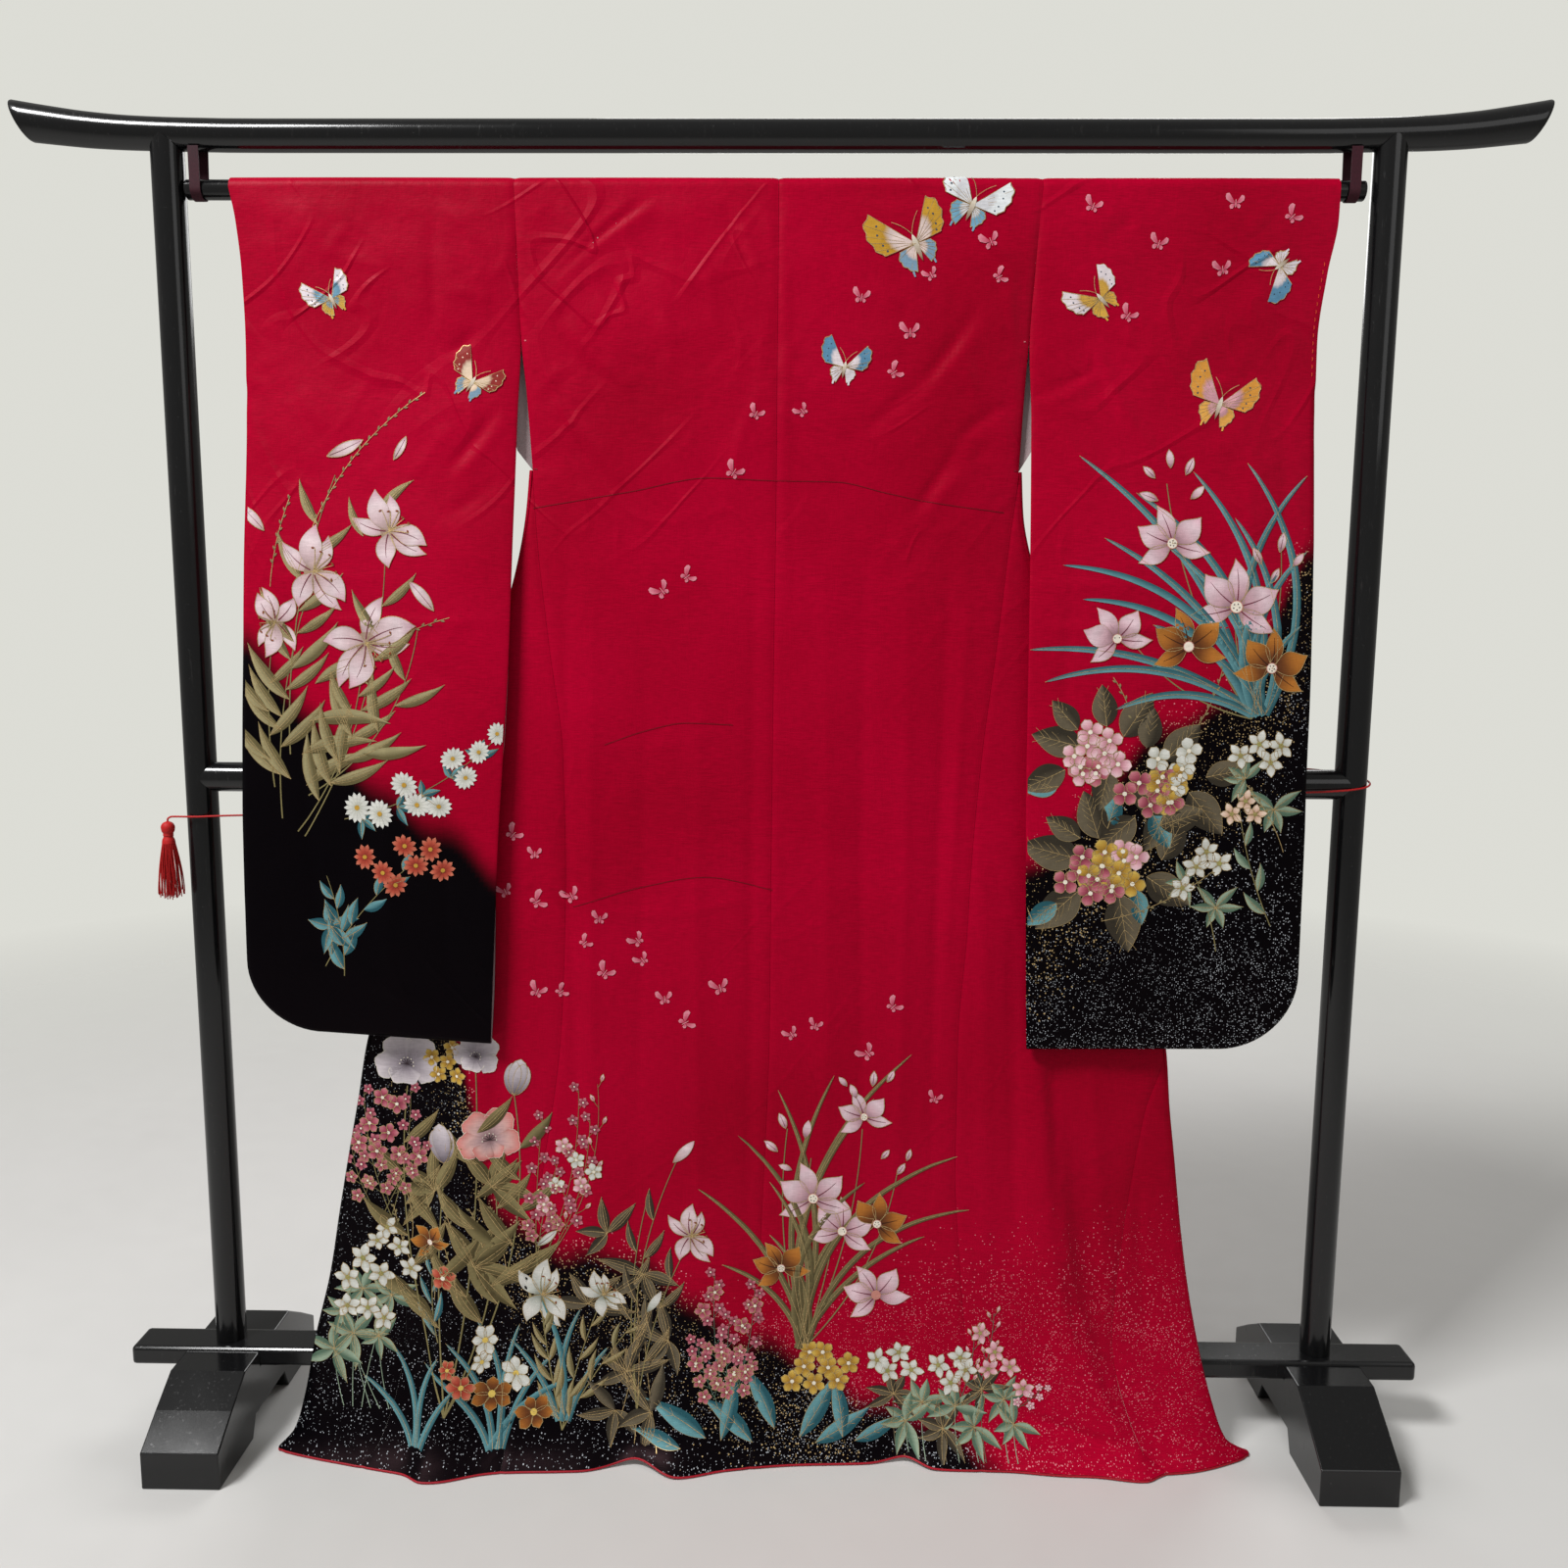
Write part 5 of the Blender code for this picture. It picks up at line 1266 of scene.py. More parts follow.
def strap(name, x):
    """A flat woven sling from the rail's underside, round the rod and up again, slack at the back."""
    cloth = Sheet()
    radius = ROD_RADIUS + GAP + STRAP_WALL / 2
    angles = np.linspace(0, pi, 25)
    around = np.stack([-radius * np.cos(angles), ROD_HEIGHT - radius * np.sin(angles)], axis=-1)
    runs = []
    for face, spread in ((-1, 0.0), (1, 0.0025)):
        top_y = face * (radius + spread)
        top = RAIL_HEIGHT - sqrt((RAIL_RADIUS + GAP) ** 2 - (abs(top_y) - STRAP_WALL / 2) ** 2)
        share = np.linspace(0, 1, 9)[:-1, None]
        runs.append((1 - share) * np.array([top_y, top]) + share * np.array([face * radius, ROD_HEIGHT]))
    outline = np.concatenate([runs[0], around, runs[1][::-1]])
    round_ways = np.stack([-np.cos(angles), -np.sin(angles)], axis=-1)
    ways = np.concatenate([np.tile([-1.0, 0.0], (8, 1)), round_ways, np.tile([1.0, 0.0], (8, 1))])
    places = x + STRAP_WIDTH * np.linspace(-0.5, 0.5, 7)
    points = np.array([[(place, y, z) for y, z in outline] for place in places])
    directions = np.array([[(0.0, y, z) for y, z in ways] for place in places])
    cloth.add_grid(points, directions)
    made = cloth.wall(name + "_tape", (TAPE, TAPE), STRAP_WALL)
    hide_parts(name)


for word, place in STRAP_PLACES:
    strap("strap_" + word, place)


# Cord: three twisted strands looped round the right post, led back along the rail to the tassel
CORD_ROUTE = [
    (-0.7560, -0.0215, 0.8092),
    (-0.7555, -0.0215, 0.8122),
    (-0.7520, -0.0217, 0.8146),
    (-0.7460, -0.0220, 0.8152),
    (-0.7200, -0.0224, 0.8152),
    (-0.7000, -0.0220, 0.8160),
    (-0.6580, -0.0214, 0.8175),
    (-0.5000, -0.0212, 0.8215),
    (-0.3000, -0.0212, 0.8270),
    (-0.1000, -0.0212, 0.8325),
    (0.1000, -0.0212, 0.8385),
    (0.3000, -0.0214, 0.8445),
    (0.5000, -0.0216, 0.8505),
    (0.6560, -0.0220, 0.8560),
    (0.6950, -0.0223, 0.8580),
    (0.7130, -0.0218, 0.8595),
    (0.7310, -0.0183, 0.8620),
    (0.7410, -0.0080, 0.8650),
    (0.7420, 0.0040, 0.8680),
    (0.7360, 0.0150, 0.8710),
    (0.7220, 0.0214, 0.8740),
    (0.7040, 0.0223, 0.8765),
    (0.6700, 0.0200, 0.8800),
    (0.6000, 0.0130, 0.8835),
    (0.4500, 0.0040, 0.8838),
    (0.2500, -0.0020, 0.8838),
    (0.0500, 0.0020, 0.8838),
    (-0.1500, -0.0010, 0.8838),
    (-0.3500, 0.0030, 0.8838),
    (-0.5200, 0.0010, 0.8838),
    (-0.6450, 0.0020, 0.8838),
]
CORD_RADIUS = 0.00125
CORD_PITCH = 0.011
CORD_STEP = 0.002


def even_route(route, spacing):
    """Evenly spaced points on a Catmull-Rom curve through a given route."""
    places = np.array(route)
    places = np.concatenate([[2 * places[0] - places[1]], places, [2 * places[-1] - places[-2]]])
    t = np.linspace(0, 1, 40, endpoint=False)[:, None]
    runs = []
    for a, b, c, d in zip(places, places[1:], places[2:], places[3:]):
        bend, twist = 2 * a - 5 * b + 4 * c - d, 3 * b - 3 * c + d - a
        runs.append((2 * b + (c - a) * t + bend * t**2 + twist * t**3) / 2)
    dense = np.concatenate(runs + [places[-2:-1]])
    reach = np.concatenate(([0], np.cumsum(np.linalg.norm(np.diff(dense, axis=0), axis=1))))
    stations = np.linspace(0, reach[-1], int(reach[-1] / spacing) + 1)
    return np.stack([np.interp(stations, reach, dense[:, k]) for k in range(3)], axis=-1)


def sweep(bm, points, radii):
    """A closed tube along points, with a row of radii, one for each side, at each of them."""
    ahead = np.gradient(points, axis=0)
    ahead /= np.linalg.norm(ahead, axis=1, keepdims=True)
    across = [np.cross(ahead[0], (0.0, 1.0, 0.1))]
    for way in ahead:
        turned_on = across[-1] - way * across[-1].dot(way)
        across.append(turned_on / np.linalg.norm(turned_on))
    across = np.array(across[1:])[:, None]
    upward = np.cross(ahead[:, None], across)
    turns = np.linspace(0, 2 * pi, radii.shape[1], endpoint=False)[None, :, None]
    skin(bm, points[:, None] + radii[..., None] * (across * np.cos(turns) + upward * np.sin(turns)))


cord_points = even_route(CORD_ROUTE[::-1], CORD_STEP)


def cord():
    sides = 12
    turns = np.linspace(0, 2 * pi, sides, endpoint=False)[None, :]
    twist = 2 * pi * CORD_STEP / CORD_PITCH * np.arange(len(cord_points))[:, None]
    radii = CORD_RADIUS * (0.80 + 0.22 * np.abs(np.cos(1.5 * (turns - twist))))
    bm = bmesh.new()
    sweep(bm, cord_points, radii)
    made = finished("cord_twisted", bm, (CORD_SILK,), sharp=80)
    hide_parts("cord")
    return made


TASSEL_TOP = np.array(CORD_ROUTE[0]) - np.array((0, 0, GAP))
TASSEL_PROFILE = [
    # drop below the top of the head, radius
    (0.0000, 0.0020),
    (0.0020, 0.0058),
    (0.0070, 0.0080),
    (0.0125, 0.0072),
    (0.0160, 0.0050),
    (0.0190, 0.0054),
    (0.0235, 0.0072),
    (0.0275, 0.0078),
]
STRAND_RINGS = [
    # strands, radius at the root, radius at the tip, length
    (26, 0.0066, 0.0148, 0.068),
    (18, 0.0048, 0.0110, 0.070),
    (12, 0.0028, 0.0066, 0.072),
    (5, 0.0010, 0.0026, 0.071),
]


def tassel_head():
    """A thread-covered knot, bound below with three turns of cord."""
    bm = bmesh.new()
    sides = 36
    turns = np.linspace(0, 2 * pi, sides, endpoint=False)
    radius = curve_of(TASSEL_PROFILE, 1)
    rings = []
    for drop in np.linspace(0, TASSEL_PROFILE[-1][0], 24):
        r = radius(drop) * (1 + 0.035 * np.cos(18 * turns))
        rings.append(np.stack([r * np.cos(turns), r * np.sin(turns), 0 * turns - drop], axis=-1) + TASSEL_TOP)
    skin(bm, rings)
    for drop in (0.0150, 0.0166, 0.0182):
        loop = np.linspace(0, 2 * pi, 33)
        line = np.stack([0.0054 * np.cos(loop), 0.0054 * np.sin(loop), 0.00022 * loop - drop], axis=-1)
        sweep(bm, line + TASSEL_TOP, np.full((33, 6), 0.0009))
    made = finished("tassel_head", bm, (CORD_SILK,), sharp=60)
    return made


def tassel_threads():
    """The skirt of loose threads, whose roots are held in the head."""
    bm = bmesh.new()
    for ring, (count, inner, outer, length) in enumerate(STRAND_RINGS):
        for n in range(count):
            turn = 2 * pi * (n + 0.5 * ring) / count
            share = np.linspace(0, 1, 10)
            away = inner + (outer - inner) * np.sin(share * pi / 2)
            away = away + 0.0007 * np.sin(5 * turn + ring) * share
            turn = turn + 0.10 * np.sin(7 * share + 3 * n) * share
            fall = length * (1 + 0.04 * sin(9 * n + ring))
            line = np.stack([away * np.cos(turn), away * np.sin(turn), -0.024 - fall * share], axis=-1)
            sweep(bm, line + TASSEL_TOP, np.full((10, 5), 0.00062))
    made = finished("tassel_threads", bm, (CORD_SILK,), sharp=60)
    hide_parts("tassel")


head = tassel_head()
tassel_threads()
cord()


# Hem roll: the lining's padded red edge, which shows under the outer cloth all along the hem
ROLL_RADIUS = 0.0015
ROLL_DROP, ROLL_STEP = 0.0008, 0.0022


def hem_roll():
    rows = [np.concatenate(hems["left"])[::-1], np.concatenate(hems["right"])]
    points = []
    for point in np.concatenate(rows) - np.array((0, 0, ROLL_RADIUS + ROLL_DROP)):
        if not points or np.linalg.norm(point - points[-1]) > ROLL_STEP:
            points.append(point)
    bm = bmesh.new()
    sweep(bm, np.array(points), np.full((len(points), 8), ROLL_RADIUS))
    made = finished("hem_roll_silk", bm, (HEM_SILK,), sharp=80)
    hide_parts("hem_roll")
    return made


hem_roll()


# Painting and gold: thin coats drawn flat in (x, z) and then brought onto the cloth
def tone(red, green, blue):
    """A colour on a screen's scale of 0 to 255, as linear light."""
    return tuple(((value / 255 + 0.055) / 1.055) ** 2.4 for value in (red, green, blue))


GOLD = tone(214, 178, 104)
CREAM = tone(232, 224, 206)
LILY = (tone(158, 132, 118), tone(206, 178, 182), tone(222, 202, 206), tone(196, 148, 164))
LILY_RIB = tone(112, 44, 62)
WHITE_LILY = (tone(104, 110, 94), tone(192, 194, 186), tone(214, 212, 206), tone(186, 184, 178))
PINK_ORCHID = (tone(116, 78, 88), tone(200, 160, 170), tone(224, 198, 206), tone(216, 168, 182))
OCHRE_ORCHID = (tone(60, 30, 16), tone(112, 62, 26), tone(178, 110, 42), tone(186, 122, 50))
LIP = (tone(232, 222, 206), tone(196, 132, 120))
WHITE = (tone(168, 168, 150), tone(212, 212, 204), tone(222, 222, 216))
PEACH = (tone(168, 120, 96), tone(222, 190, 168), tone(236, 216, 200))
ROSE = (tone(96, 30, 46), tone(170, 78, 96), tone(206, 132, 142))
PINK = (tone(160, 84, 100), tone(222, 164, 176), tone(240, 208, 214))
RUST = (tone(118, 34, 26), tone(178, 70, 52), tone(208, 124, 98))
YELLOW = (tone(128, 84, 24), tone(188, 146, 56), tone(214, 184, 92))
MAUVE = (tone(84, 74, 82), tone(150, 140, 148), tone(186, 176, 182), tone(208, 198, 202))
BLUSH = (tone(120, 84, 88), tone(190, 156, 158), tone(216, 170, 164), tone(214, 124, 118))
OLIVE = (tone(98, 88, 56), tone(154, 144, 106))
HEM_OLIVE = (tone(80, 70, 42), tone(128, 116, 78))
BROWN_LEAF = (tone(50, 44, 34), tone(98, 88, 70))
TEAL = (tone(34, 82, 92), tone(98, 148, 154))
SAGE = (tone(82, 106, 88), tone(142, 160, 138))
SPIKE = (tone(116, 104, 70), tone(160, 146, 104))
STALK = tone(126, 116, 76)
SEAM_THREAD = tone(112, 4, 22)


def fade(share, *tones):
    """A run of colours, read at shares from 0 to 1."""
    stops = np.linspace(0, 1, len(tones))
    return np.stack([np.interp(share, stops, [each[k] for each in tones]) for k in range(3)], axis=-1)


def halved(tones, sharpness, root, rise):
    """Shades of a leaf in two halves, lighter towards its tip."""
    return lambda s, t: (fade(0.5 + 0.5 * np.clip(sharpness * t, -1, 1), *tones)
                         * (root + rise * s[..., None]))


def lens(s, peak=0.45, power=0.9):
    """A width that swells from nothing to one at its peak and tapers away again."""
    return np.sin(pi * np.clip(s, 0.0, 1.0) ** (np.log(0.5) / np.log(peak))).clip(0.0, 1.0) ** power


def arc(start, heading, length, bend=0.0, step=0.004):
    """Places along a curve that leaves a start in a heading and turns evenly by its bend."""
    count = max(3, int(round(length / step)))
    turns = heading + bend * (np.arange(count) + 0.5) / count
    steps = np.stack([np.cos(turns), np.sin(turns)], axis=-1) * length / count
    return np.array(start) + np.concatenate([[(0.0, 0.0)], np.cumsum(steps, axis=0)])


def bowed(start, end, bow, step=0.004):
    """Places on a bowed line between two places."""
    start, end = np.array(start), np.array(end)
    run = end - start
    s = np.linspace(0, 1, max(4, int(np.linalg.norm(run) / step)))[:, None]
    return start + run * s + np.array((-run[1], run[0])) * bow * 4 * s * (1 - s)


def edge_of(line, width):
    """The line that runs at a width beside another, on its left."""
    ahead = np.gradient(line, axis=0)
    ahead /= np.maximum(np.linalg.norm(ahead, axis=1, keepdims=True), 1e-9)
    return line + np.stack([-ahead[:, 1], ahead[:, 0]], axis=-1) * np.reshape(width, (-1, 1))


COAT, COATS = 0.02, 12
PAST_ROD = 1.3


class Painting:
    """Painted shapes, gathered flat as grids of (x, z) and then laid on the cloth of one side."""

    def __init__(self):
        self.flats, self.lifts, self.shades, self.cells, self.gilt = [], [], [], [], []
        self.points = 0

    def grid(self, flat, lift, shade, gilt=False):
        rows, columns = flat.shape[:2]
        order = self.points + np.arange(rows * columns).reshape(rows, columns)
        corners = (order[:-1, :-1], order[:-1, 1:], order[1:, 1:], order[1:, :-1])
        self.cells.append(np.stack(corners, axis=-1).reshape(-1, 4))
        self.gilt.append(np.full(len(self.cells[-1]), int(gilt)))
        self.flats.append(flat.reshape(-1, 2))
        coat = COAT * (len(self.cells) % COATS)
        self.lifts.append(np.full(rows * columns, (lift + coat) * MM))
        self.shades.append(np.broadcast_to(shade, (rows, columns, 3)).reshape(-1, 3))
        self.points += rows * columns

    def strip(self, line, half_width, shade, lift=0.6, across=2, gilt=False):
        """A band along a line. Half width and shade are read at shares along it and across it."""
        s, t = np.meshgrid(np.linspace(0, 1, len(line)), np.linspace(-1, 1, across + 1), indexing="ij")
        widths = half_width(s) * t
        flat = np.stack([edge_of(line, widths[:, k]) for k in range(across + 1)], axis=1)
        self.grid(flat, lift, shade(s, t), gilt)

    def stroke(self, line, width, colour, lift=0.9, gilt=False, taper=0.0):
        self.strip(line, lambda s: width / 2 * (1 - taper * s), lambda s, t: colour, lift, 1, gilt)

    def fan(self, root, heading, spread, reach, shade, lift=0.6, rings=5, rays=8):
        """A patch that opens from a root. Reach is read across it, shade along and across it."""
        s, t = np.meshgrid(np.linspace(0.03, 1, rings + 1), np.linspace(-1, 1, rays + 1), indexing="ij")
        turns, out = heading + spread / 2 * t, reach(t) * s
        flat = np.stack([root[0] + out * np.cos(turns), root[1] + out * np.sin(turns)], axis=-1)
        self.grid(flat, lift, shade(s, t))

    def disc(self, centre, radius, colour, lift=1.0, rays=8):
        self.fan(centre, 0.0, 2 * pi, lambda t: radius + 0 * t, lambda s, t: colour, lift, 1, rays)

    def petal(self, root, heading, length, width, tones, bend=0.0, lift=0.7, peak=0.55, power=0.7, rib=None,
              rim=True, across=4, step=0.004):
        """A petal or leaf: its blade, a fine gold rim, and where wanted a rib that tapers away."""
        line = arc(root, heading, length, bend, step)
        self.strip(line, lambda s: width / 2 * lens(s, peak, power),
                   lambda s, t: fade(s, *tones) * (1 - 0.16 * np.abs(t[..., None]) ** 3), lift, across)
        if rim:
            along = width / 2 * lens(np.linspace(0, 1, len(line)), peak, power)
            for side in (-1, 1):
                self.stroke(edge_of(line, side * along), 0.0006, GOLD, lift + 0.12, gilt=True)
        if rib:
            self.stroke(line[1:max(4, int(len(line) * 0.8))], 0.0016, rib, lift + 0.14, taper=0.8)
        return line

    def leaf(self, root, heading, length, width, tones, bend=0.0, lift=0.5, veins=0, peak=0.42, power=1.15):
        """A leaf, lighter on one side of its gilded midrib, with side veins or, if long, parallel ones."""
        line = arc(root, heading, length, bend)
        self.strip(line, lambda s: width / 2 * lens(s, peak, power),
                   halved(tones, 2.5, 0.9, 0.2), lift, 4)
        self.stroke(line[: max(4, int(len(line) * 0.9))], 0.0008, GOLD, lift + 0.14, gilt=True, taper=0.5)
        along = width / 2 * lens(np.linspace(0, 1, len(line)), peak, power)
        self.stroke(edge_of(line, along), 0.0004, GOLD, lift + 0.12, gilt=True)
        if length > 0.045 and not veins:
            for side in (-0.45, 0.45):
                self.stroke(edge_of(line, side * along)[1:-1], 0.0004, GOLD, lift + 0.12, gilt=True)
        for k in range(veins):
            share = (k + 1.2) / (veins + 1.6)
            start = line[int(share * (len(line) - 1))]
            turn = heading + bend * share
            for side in (-1, 1):
                self.stroke(arc(start, turn + 0.75 * side, 0.42 * width, -0.3 * side, 0.006), 0.0004, GOLD,
                            lift + 0.13, gilt=True)
        return line

    def lay(self, name, shells, depth, face, edges, floor):
        """Brings the shapes onto the shells as one piece, cut off at the cloth's edges and openings."""
        x, z = np.concatenate(self.flats).T
        low, high = edges(np.clip(z, floor, ROD_HEIGHT))
        outside = (x < low) | (x > high) | (z < floor)
        x, z = np.clip(x, low, high), np.maximum(z, floor)
        reach = body_gap(ROD_HEIGHT) + CLOTH / 2
        over = np.maximum(z - ROD_HEIGHT, 0.0) / reach
        outside |= over > PAST_ROD
        over = np.minimum(over, PAST_ROD)
        z = np.minimum(z, ROD_HEIGHT)
        expected = depth(x, z) + face * CLOTH / 2
        expected = np.where(over > 0, face * reach * np.cos(over), expected)
        places = np.stack([x, expected, z + reach * np.sin(over)], axis=-1)
        ways = np.stack([0 * x, face * np.cos(over), np.sin(over)], axis=-1)
        cloth = bmesh.new()
        for shell in shells:
            cloth.from_mesh(shell.data)
        tree = BVHTree.FromBMesh(cloth)
        cloth.free()
        for k, (place, way) in enumerate(zip(places.copy(), ways.copy())):
            hit, normal, *_ = tree.ray_cast(Vector(place + 0.03 * way), Vector(-way), 0.04)
            if hit and (hit - Vector(place)).length < 0.004 and normal.dot(Vector(way)) > 0.2:
                places[k], ways[k] = hit, normal
            else:
                outside[k] = True
        points = places + ways * np.concatenate(self.lifts)[:, None]
        cells = np.concatenate(self.cells)
        kept = ~outside[cells].all(axis=1)
        a, b, c, d = (points[cells[:, k]] for k in range(4))
        facing = np.cross(c - a, d - b)
        kept &= np.linalg.norm(facing, axis=1) > 2e-9
        flipped = np.einsum("ij,ij->i", facing, ways[cells[:, 0]]) < 0
        cells[flipped] = cells[flipped][:, ::-1]
        mesh = bpy.data.meshes.new(name)
        mesh.from_pydata(points.tolist(), [], cells[kept].tolist())
        mesh.polygons.foreach_set("material_index", np.concatenate(self.gilt)[kept].astype(np.int32))
        mesh.materials.append(PAINT)
        mesh.materials.append(GOLD_LEAF)
        shades = np.concatenate([np.concatenate(self.shades), np.ones((len(x), 1))], axis=1)
        attribute = mesh.color_attributes.new(name="paint", type="FLOAT_COLOR", domain="POINT")
        attribute.data.foreach_set("color", shades.astype(np.float32).ravel())
        bm = bmesh.new()
        bm.from_mesh(mesh)
        bmesh.ops.delete(bm, geom=[vert for vert in bm.verts if not vert.link_faces], context="VERTS")
        bm.to_mesh(mesh)
        bm.free()
        mesh.shade_smooth()
        made = bpy.data.objects.new(name, mesh)
        bpy.context.collection.objects.link(made)
        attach(made, "root")
        return made


# Plants and butterflies of the kinds on the robe
def leaning(angle, lean, squash):
    """Heading and length share of a spoke in a flower whose disc is seen aslant, narrower along its lean."""
    along, across = cos(angle - lean) * squash, sin(angle - lean)
    return lean + atan2(across, along), sqrt(along**2 + across**2)


def lily(art, x, z, size, lean, tones=LILY):
    """Six pointed petals in two layers, seen aslant, and stamens with brown anthers."""
    art.disc((x, z), 0.20 * size, tones[0], 0.58, 10)
    for layer, (width, lift) in enumerate(((0.36, 0.60), (0.48, 0.80))):
        for k in range(3):
            heading, reach = leaning(lean + (2 * k + layer) * pi / 3 + 0.25, lean, 0.80)
            art.petal((x, z), heading, size * reach, size * width * (0.6 + 0.4 * reach), tones,
                      bend=0.70 * (-1) ** (k + layer), lift=lift, peak=0.50, power=1.15, across=6,
                      rib=LILY_RIB if tones is LILY else STALK)
    for k in range(6):
        line = arc((x, z), lean + (k - 2.5) * 0.34, size * (0.44 + 0.05 * (k % 2)), 0.12 * (k - 2.5))
        art.stroke(line, 0.0009, GOLD, 1.10, gilt=True)
        art.petal(line[-1], lean + 1.2 + 0.3 * k, 0.0046, 0.0024, (tone(110, 50, 30), tone(150, 84, 44)),
                  lift=1.15, rim=False, across=2, step=0.0014)


def bud(art, x, z, size, heading, tones=LILY, slim=0.30):
    """A closed bud with two folds, its tip at the given heading."""
    line = art.petal((x, z), heading, size, size * slim, tones, bend=0.15, lift=0.7, peak=0.5, power=0.8)
    art.stroke(line[1:-1], 0.0007, LILY_RIB, 0.86, taper=0.6)


ORCHID_SPOKES = [
    # heading in degrees, length, width: three sepals behind and two broad petals before them
    (92, 1.10, 0.48),
    (214, 1.06, 0.46),
    (326, 1.06, 0.46),
    (158, 1.04, 0.66),
    (22, 1.04, 0.66),
]


def orchid(art, x, z, size, lean=0.0, tones=PINK_ORCHID):
    """Five pointed petals, shaded at their roots, round a pale dotted eye."""
    for k, (degrees, length, width) in enumerate(ORCHID_SPOKES):
        art.petal((x, z), radians(degrees) + lean, size * length, size * width, tones,
                  bend=0.42 * (-1) ** k, lift=0.62 + 0.05 * k, peak=0.50, power=1.25,
                  rib=LILY_RIB if tones is PINK_ORCHID else tones[0], across=6)
    art.disc((x, z), 0.15 * size, LIP[1], 1.04, 12)
    art.disc((x, z), 0.13 * size, LIP[0], 1.08, 12)
    for k in range(5):
        spot = (x + 0.07 * size * cos(1.26 * k + lean), z + 0.07 * size * sin(1.26 * k + lean))
        art.disc(spot, 0.020 * size, tone(96, 84, 88), 1.12, 5)


def poppy(art, x, z, size, heading, tones=MAUVE):
    """A wide open bowl of ruffled petals seen from a little above, dark at its eye."""
    for turn, reach, spread, lift in (
            (-0.52, 1.00, 1.35, 0.52), (0.62, 0.95, 1.35, 0.58), (-1.72, 0.90, 1.30, 0.64),
            (1.78, 0.92, 1.30, 0.70), (-2.72, 0.60, 1.40, 0.78), (2.66, 0.64, 1.40, 0.86)):
        def rim(t, reach=reach):
            ruffled = 1 - 0.24 * t**2 + 0.035 * np.cos(7 * t + 9 * reach) + 0.012 * np.cos(23 * t)
            return size * reach * ruffled

        def streaked(s, t):
            veins = 1 - 0.12 * np.cos(12 * t[..., None]) ** 2 * (1 - s[..., None])
            return fade(s, *tones) * veins * (1 - 0.22 * np.abs(t[..., None]) ** 4)

        art.fan((x, z), heading + turn, spread, rim, streaked, lift, 8, 12)
        t = np.linspace(-1, 1, 19)
        turns = heading + turn + spread / 2 * t
        line = np.stack([x + rim(t) * np.cos(turns), z + rim(t) * np.sin(turns)], axis=-1)
        art.stroke(line, 0.0005, CREAM, lift + 0.10)
    for k in range(7):
        line = arc((x, z), heading + 0.55 * (k - 3), size * 0.20, 0.0, 0.004)
        art.stroke(line, 0.0007, tone(58, 44, 50), 1.06)
        art.disc(line[-1], size * 0.022, CREAM, 1.12, 5)


def tulip(art, x, z, size, heading, tones=MAUVE):
    """A closed cup of three overlapping petals on its stalk."""
    for turn, width, lift in ((-0.44, 0.44, 0.60), (0.44, 0.44, 0.66), (0.0, 0.48, 0.80)):
        art.petal((x, z), heading + turn, size * (0.94 + 0.06 * cos(5 * turn)), size * width, tones,
                  bend=-1.6 * turn, lift=lift, peak=0.58, power=0.5, across=6)


def rayed(art, x, z, size, petals, width, tones, heart, turn=0.0, peak=0.62, power=0.55, rim=False,
          squash=1.0):
    """A round flower of equal petals with a heart: daisies, stars and florets."""
    for k in range(petals):
        heading, reach = leaning(turn + 2 * pi * k / petals, turn, squash)
        art.petal((x, z), heading, size * reach, size * width, tones, lift=0.72, peak=peak, power=power,
                  rim=rim, across=2, step=max(0.003, size / 5))
    art.disc((x, z), size * 0.17, heart, 1.04)


def daisy(art, x, z, size, turn=0.0, tones=WHITE):
    rayed(art, x, z, size, 14, 0.30, tones, YELLOW[1], turn, 0.66, 0.5, squash=0.86)


def star(art, x, z, size, turn=0.0, tones=WHITE):
    rayed(art, x, z, size, 5, 0.56, tones, tone(150, 146, 84), turn, 0.5, 0.75, rim=True, squash=0.84)
    for k in range(5):
        line = arc((x, z), turn + 2 * pi * (k + 0.5) / 5, size * 0.36, 0, 0.005)
        art.stroke(line, 0.0005, GOLD, 1.1, gilt=True)


def floret(art, x, z, size, turn=0.0, tones=ROSE, petals=5):
    width = 0.86 if petals == 4 else 0.70
    rayed(art, x, z, size, petals, width, tones, CREAM, turn, 0.62, 0.5, rim=size > 0.009)


def whorl(art, x, z, size, count, heading, sweep, tones=SAGE, slim=0.30):
    """Leaves that spread from one place."""
    for k in range(count):
        turn = heading + sweep * (k / max(1, count - 1) - 0.5)
        art.leaf((x, z), turn, size * (0.86 + 0.14 * cos(5 * k)), size * slim, tones, bend=0.25 * (-1) ** k)


def stem(art, root, tip, bow=0.0, width=0.0016, colour=STALK, leaves=0, length=0.05, slim=0.2, tones=OLIVE,
         spread=0.65, first=0.1):
    """A bowed stalk with leaves on alternate sides, which grow shorter towards its tip."""
    line = bowed(root, tip, bow)
    art.stroke(line, width, colour, 0.42, taper=0.4)
    for k in range(leaves):
        share = first + (0.94 - first) * k / max(1, leaves)
        at = int(share * (len(line) - 2))
        ahead = line[at + 1] - line[at]
        side = (-1) ** k
        size = length * (1 - 0.45 * share)
        art.leaf(line[at], atan2(ahead[1], ahead[0]) + spread * side, size, size * slim, tones,
                 bend=-0.5 * side, lift=0.5 + 0.05 * (k % 3))
    return line


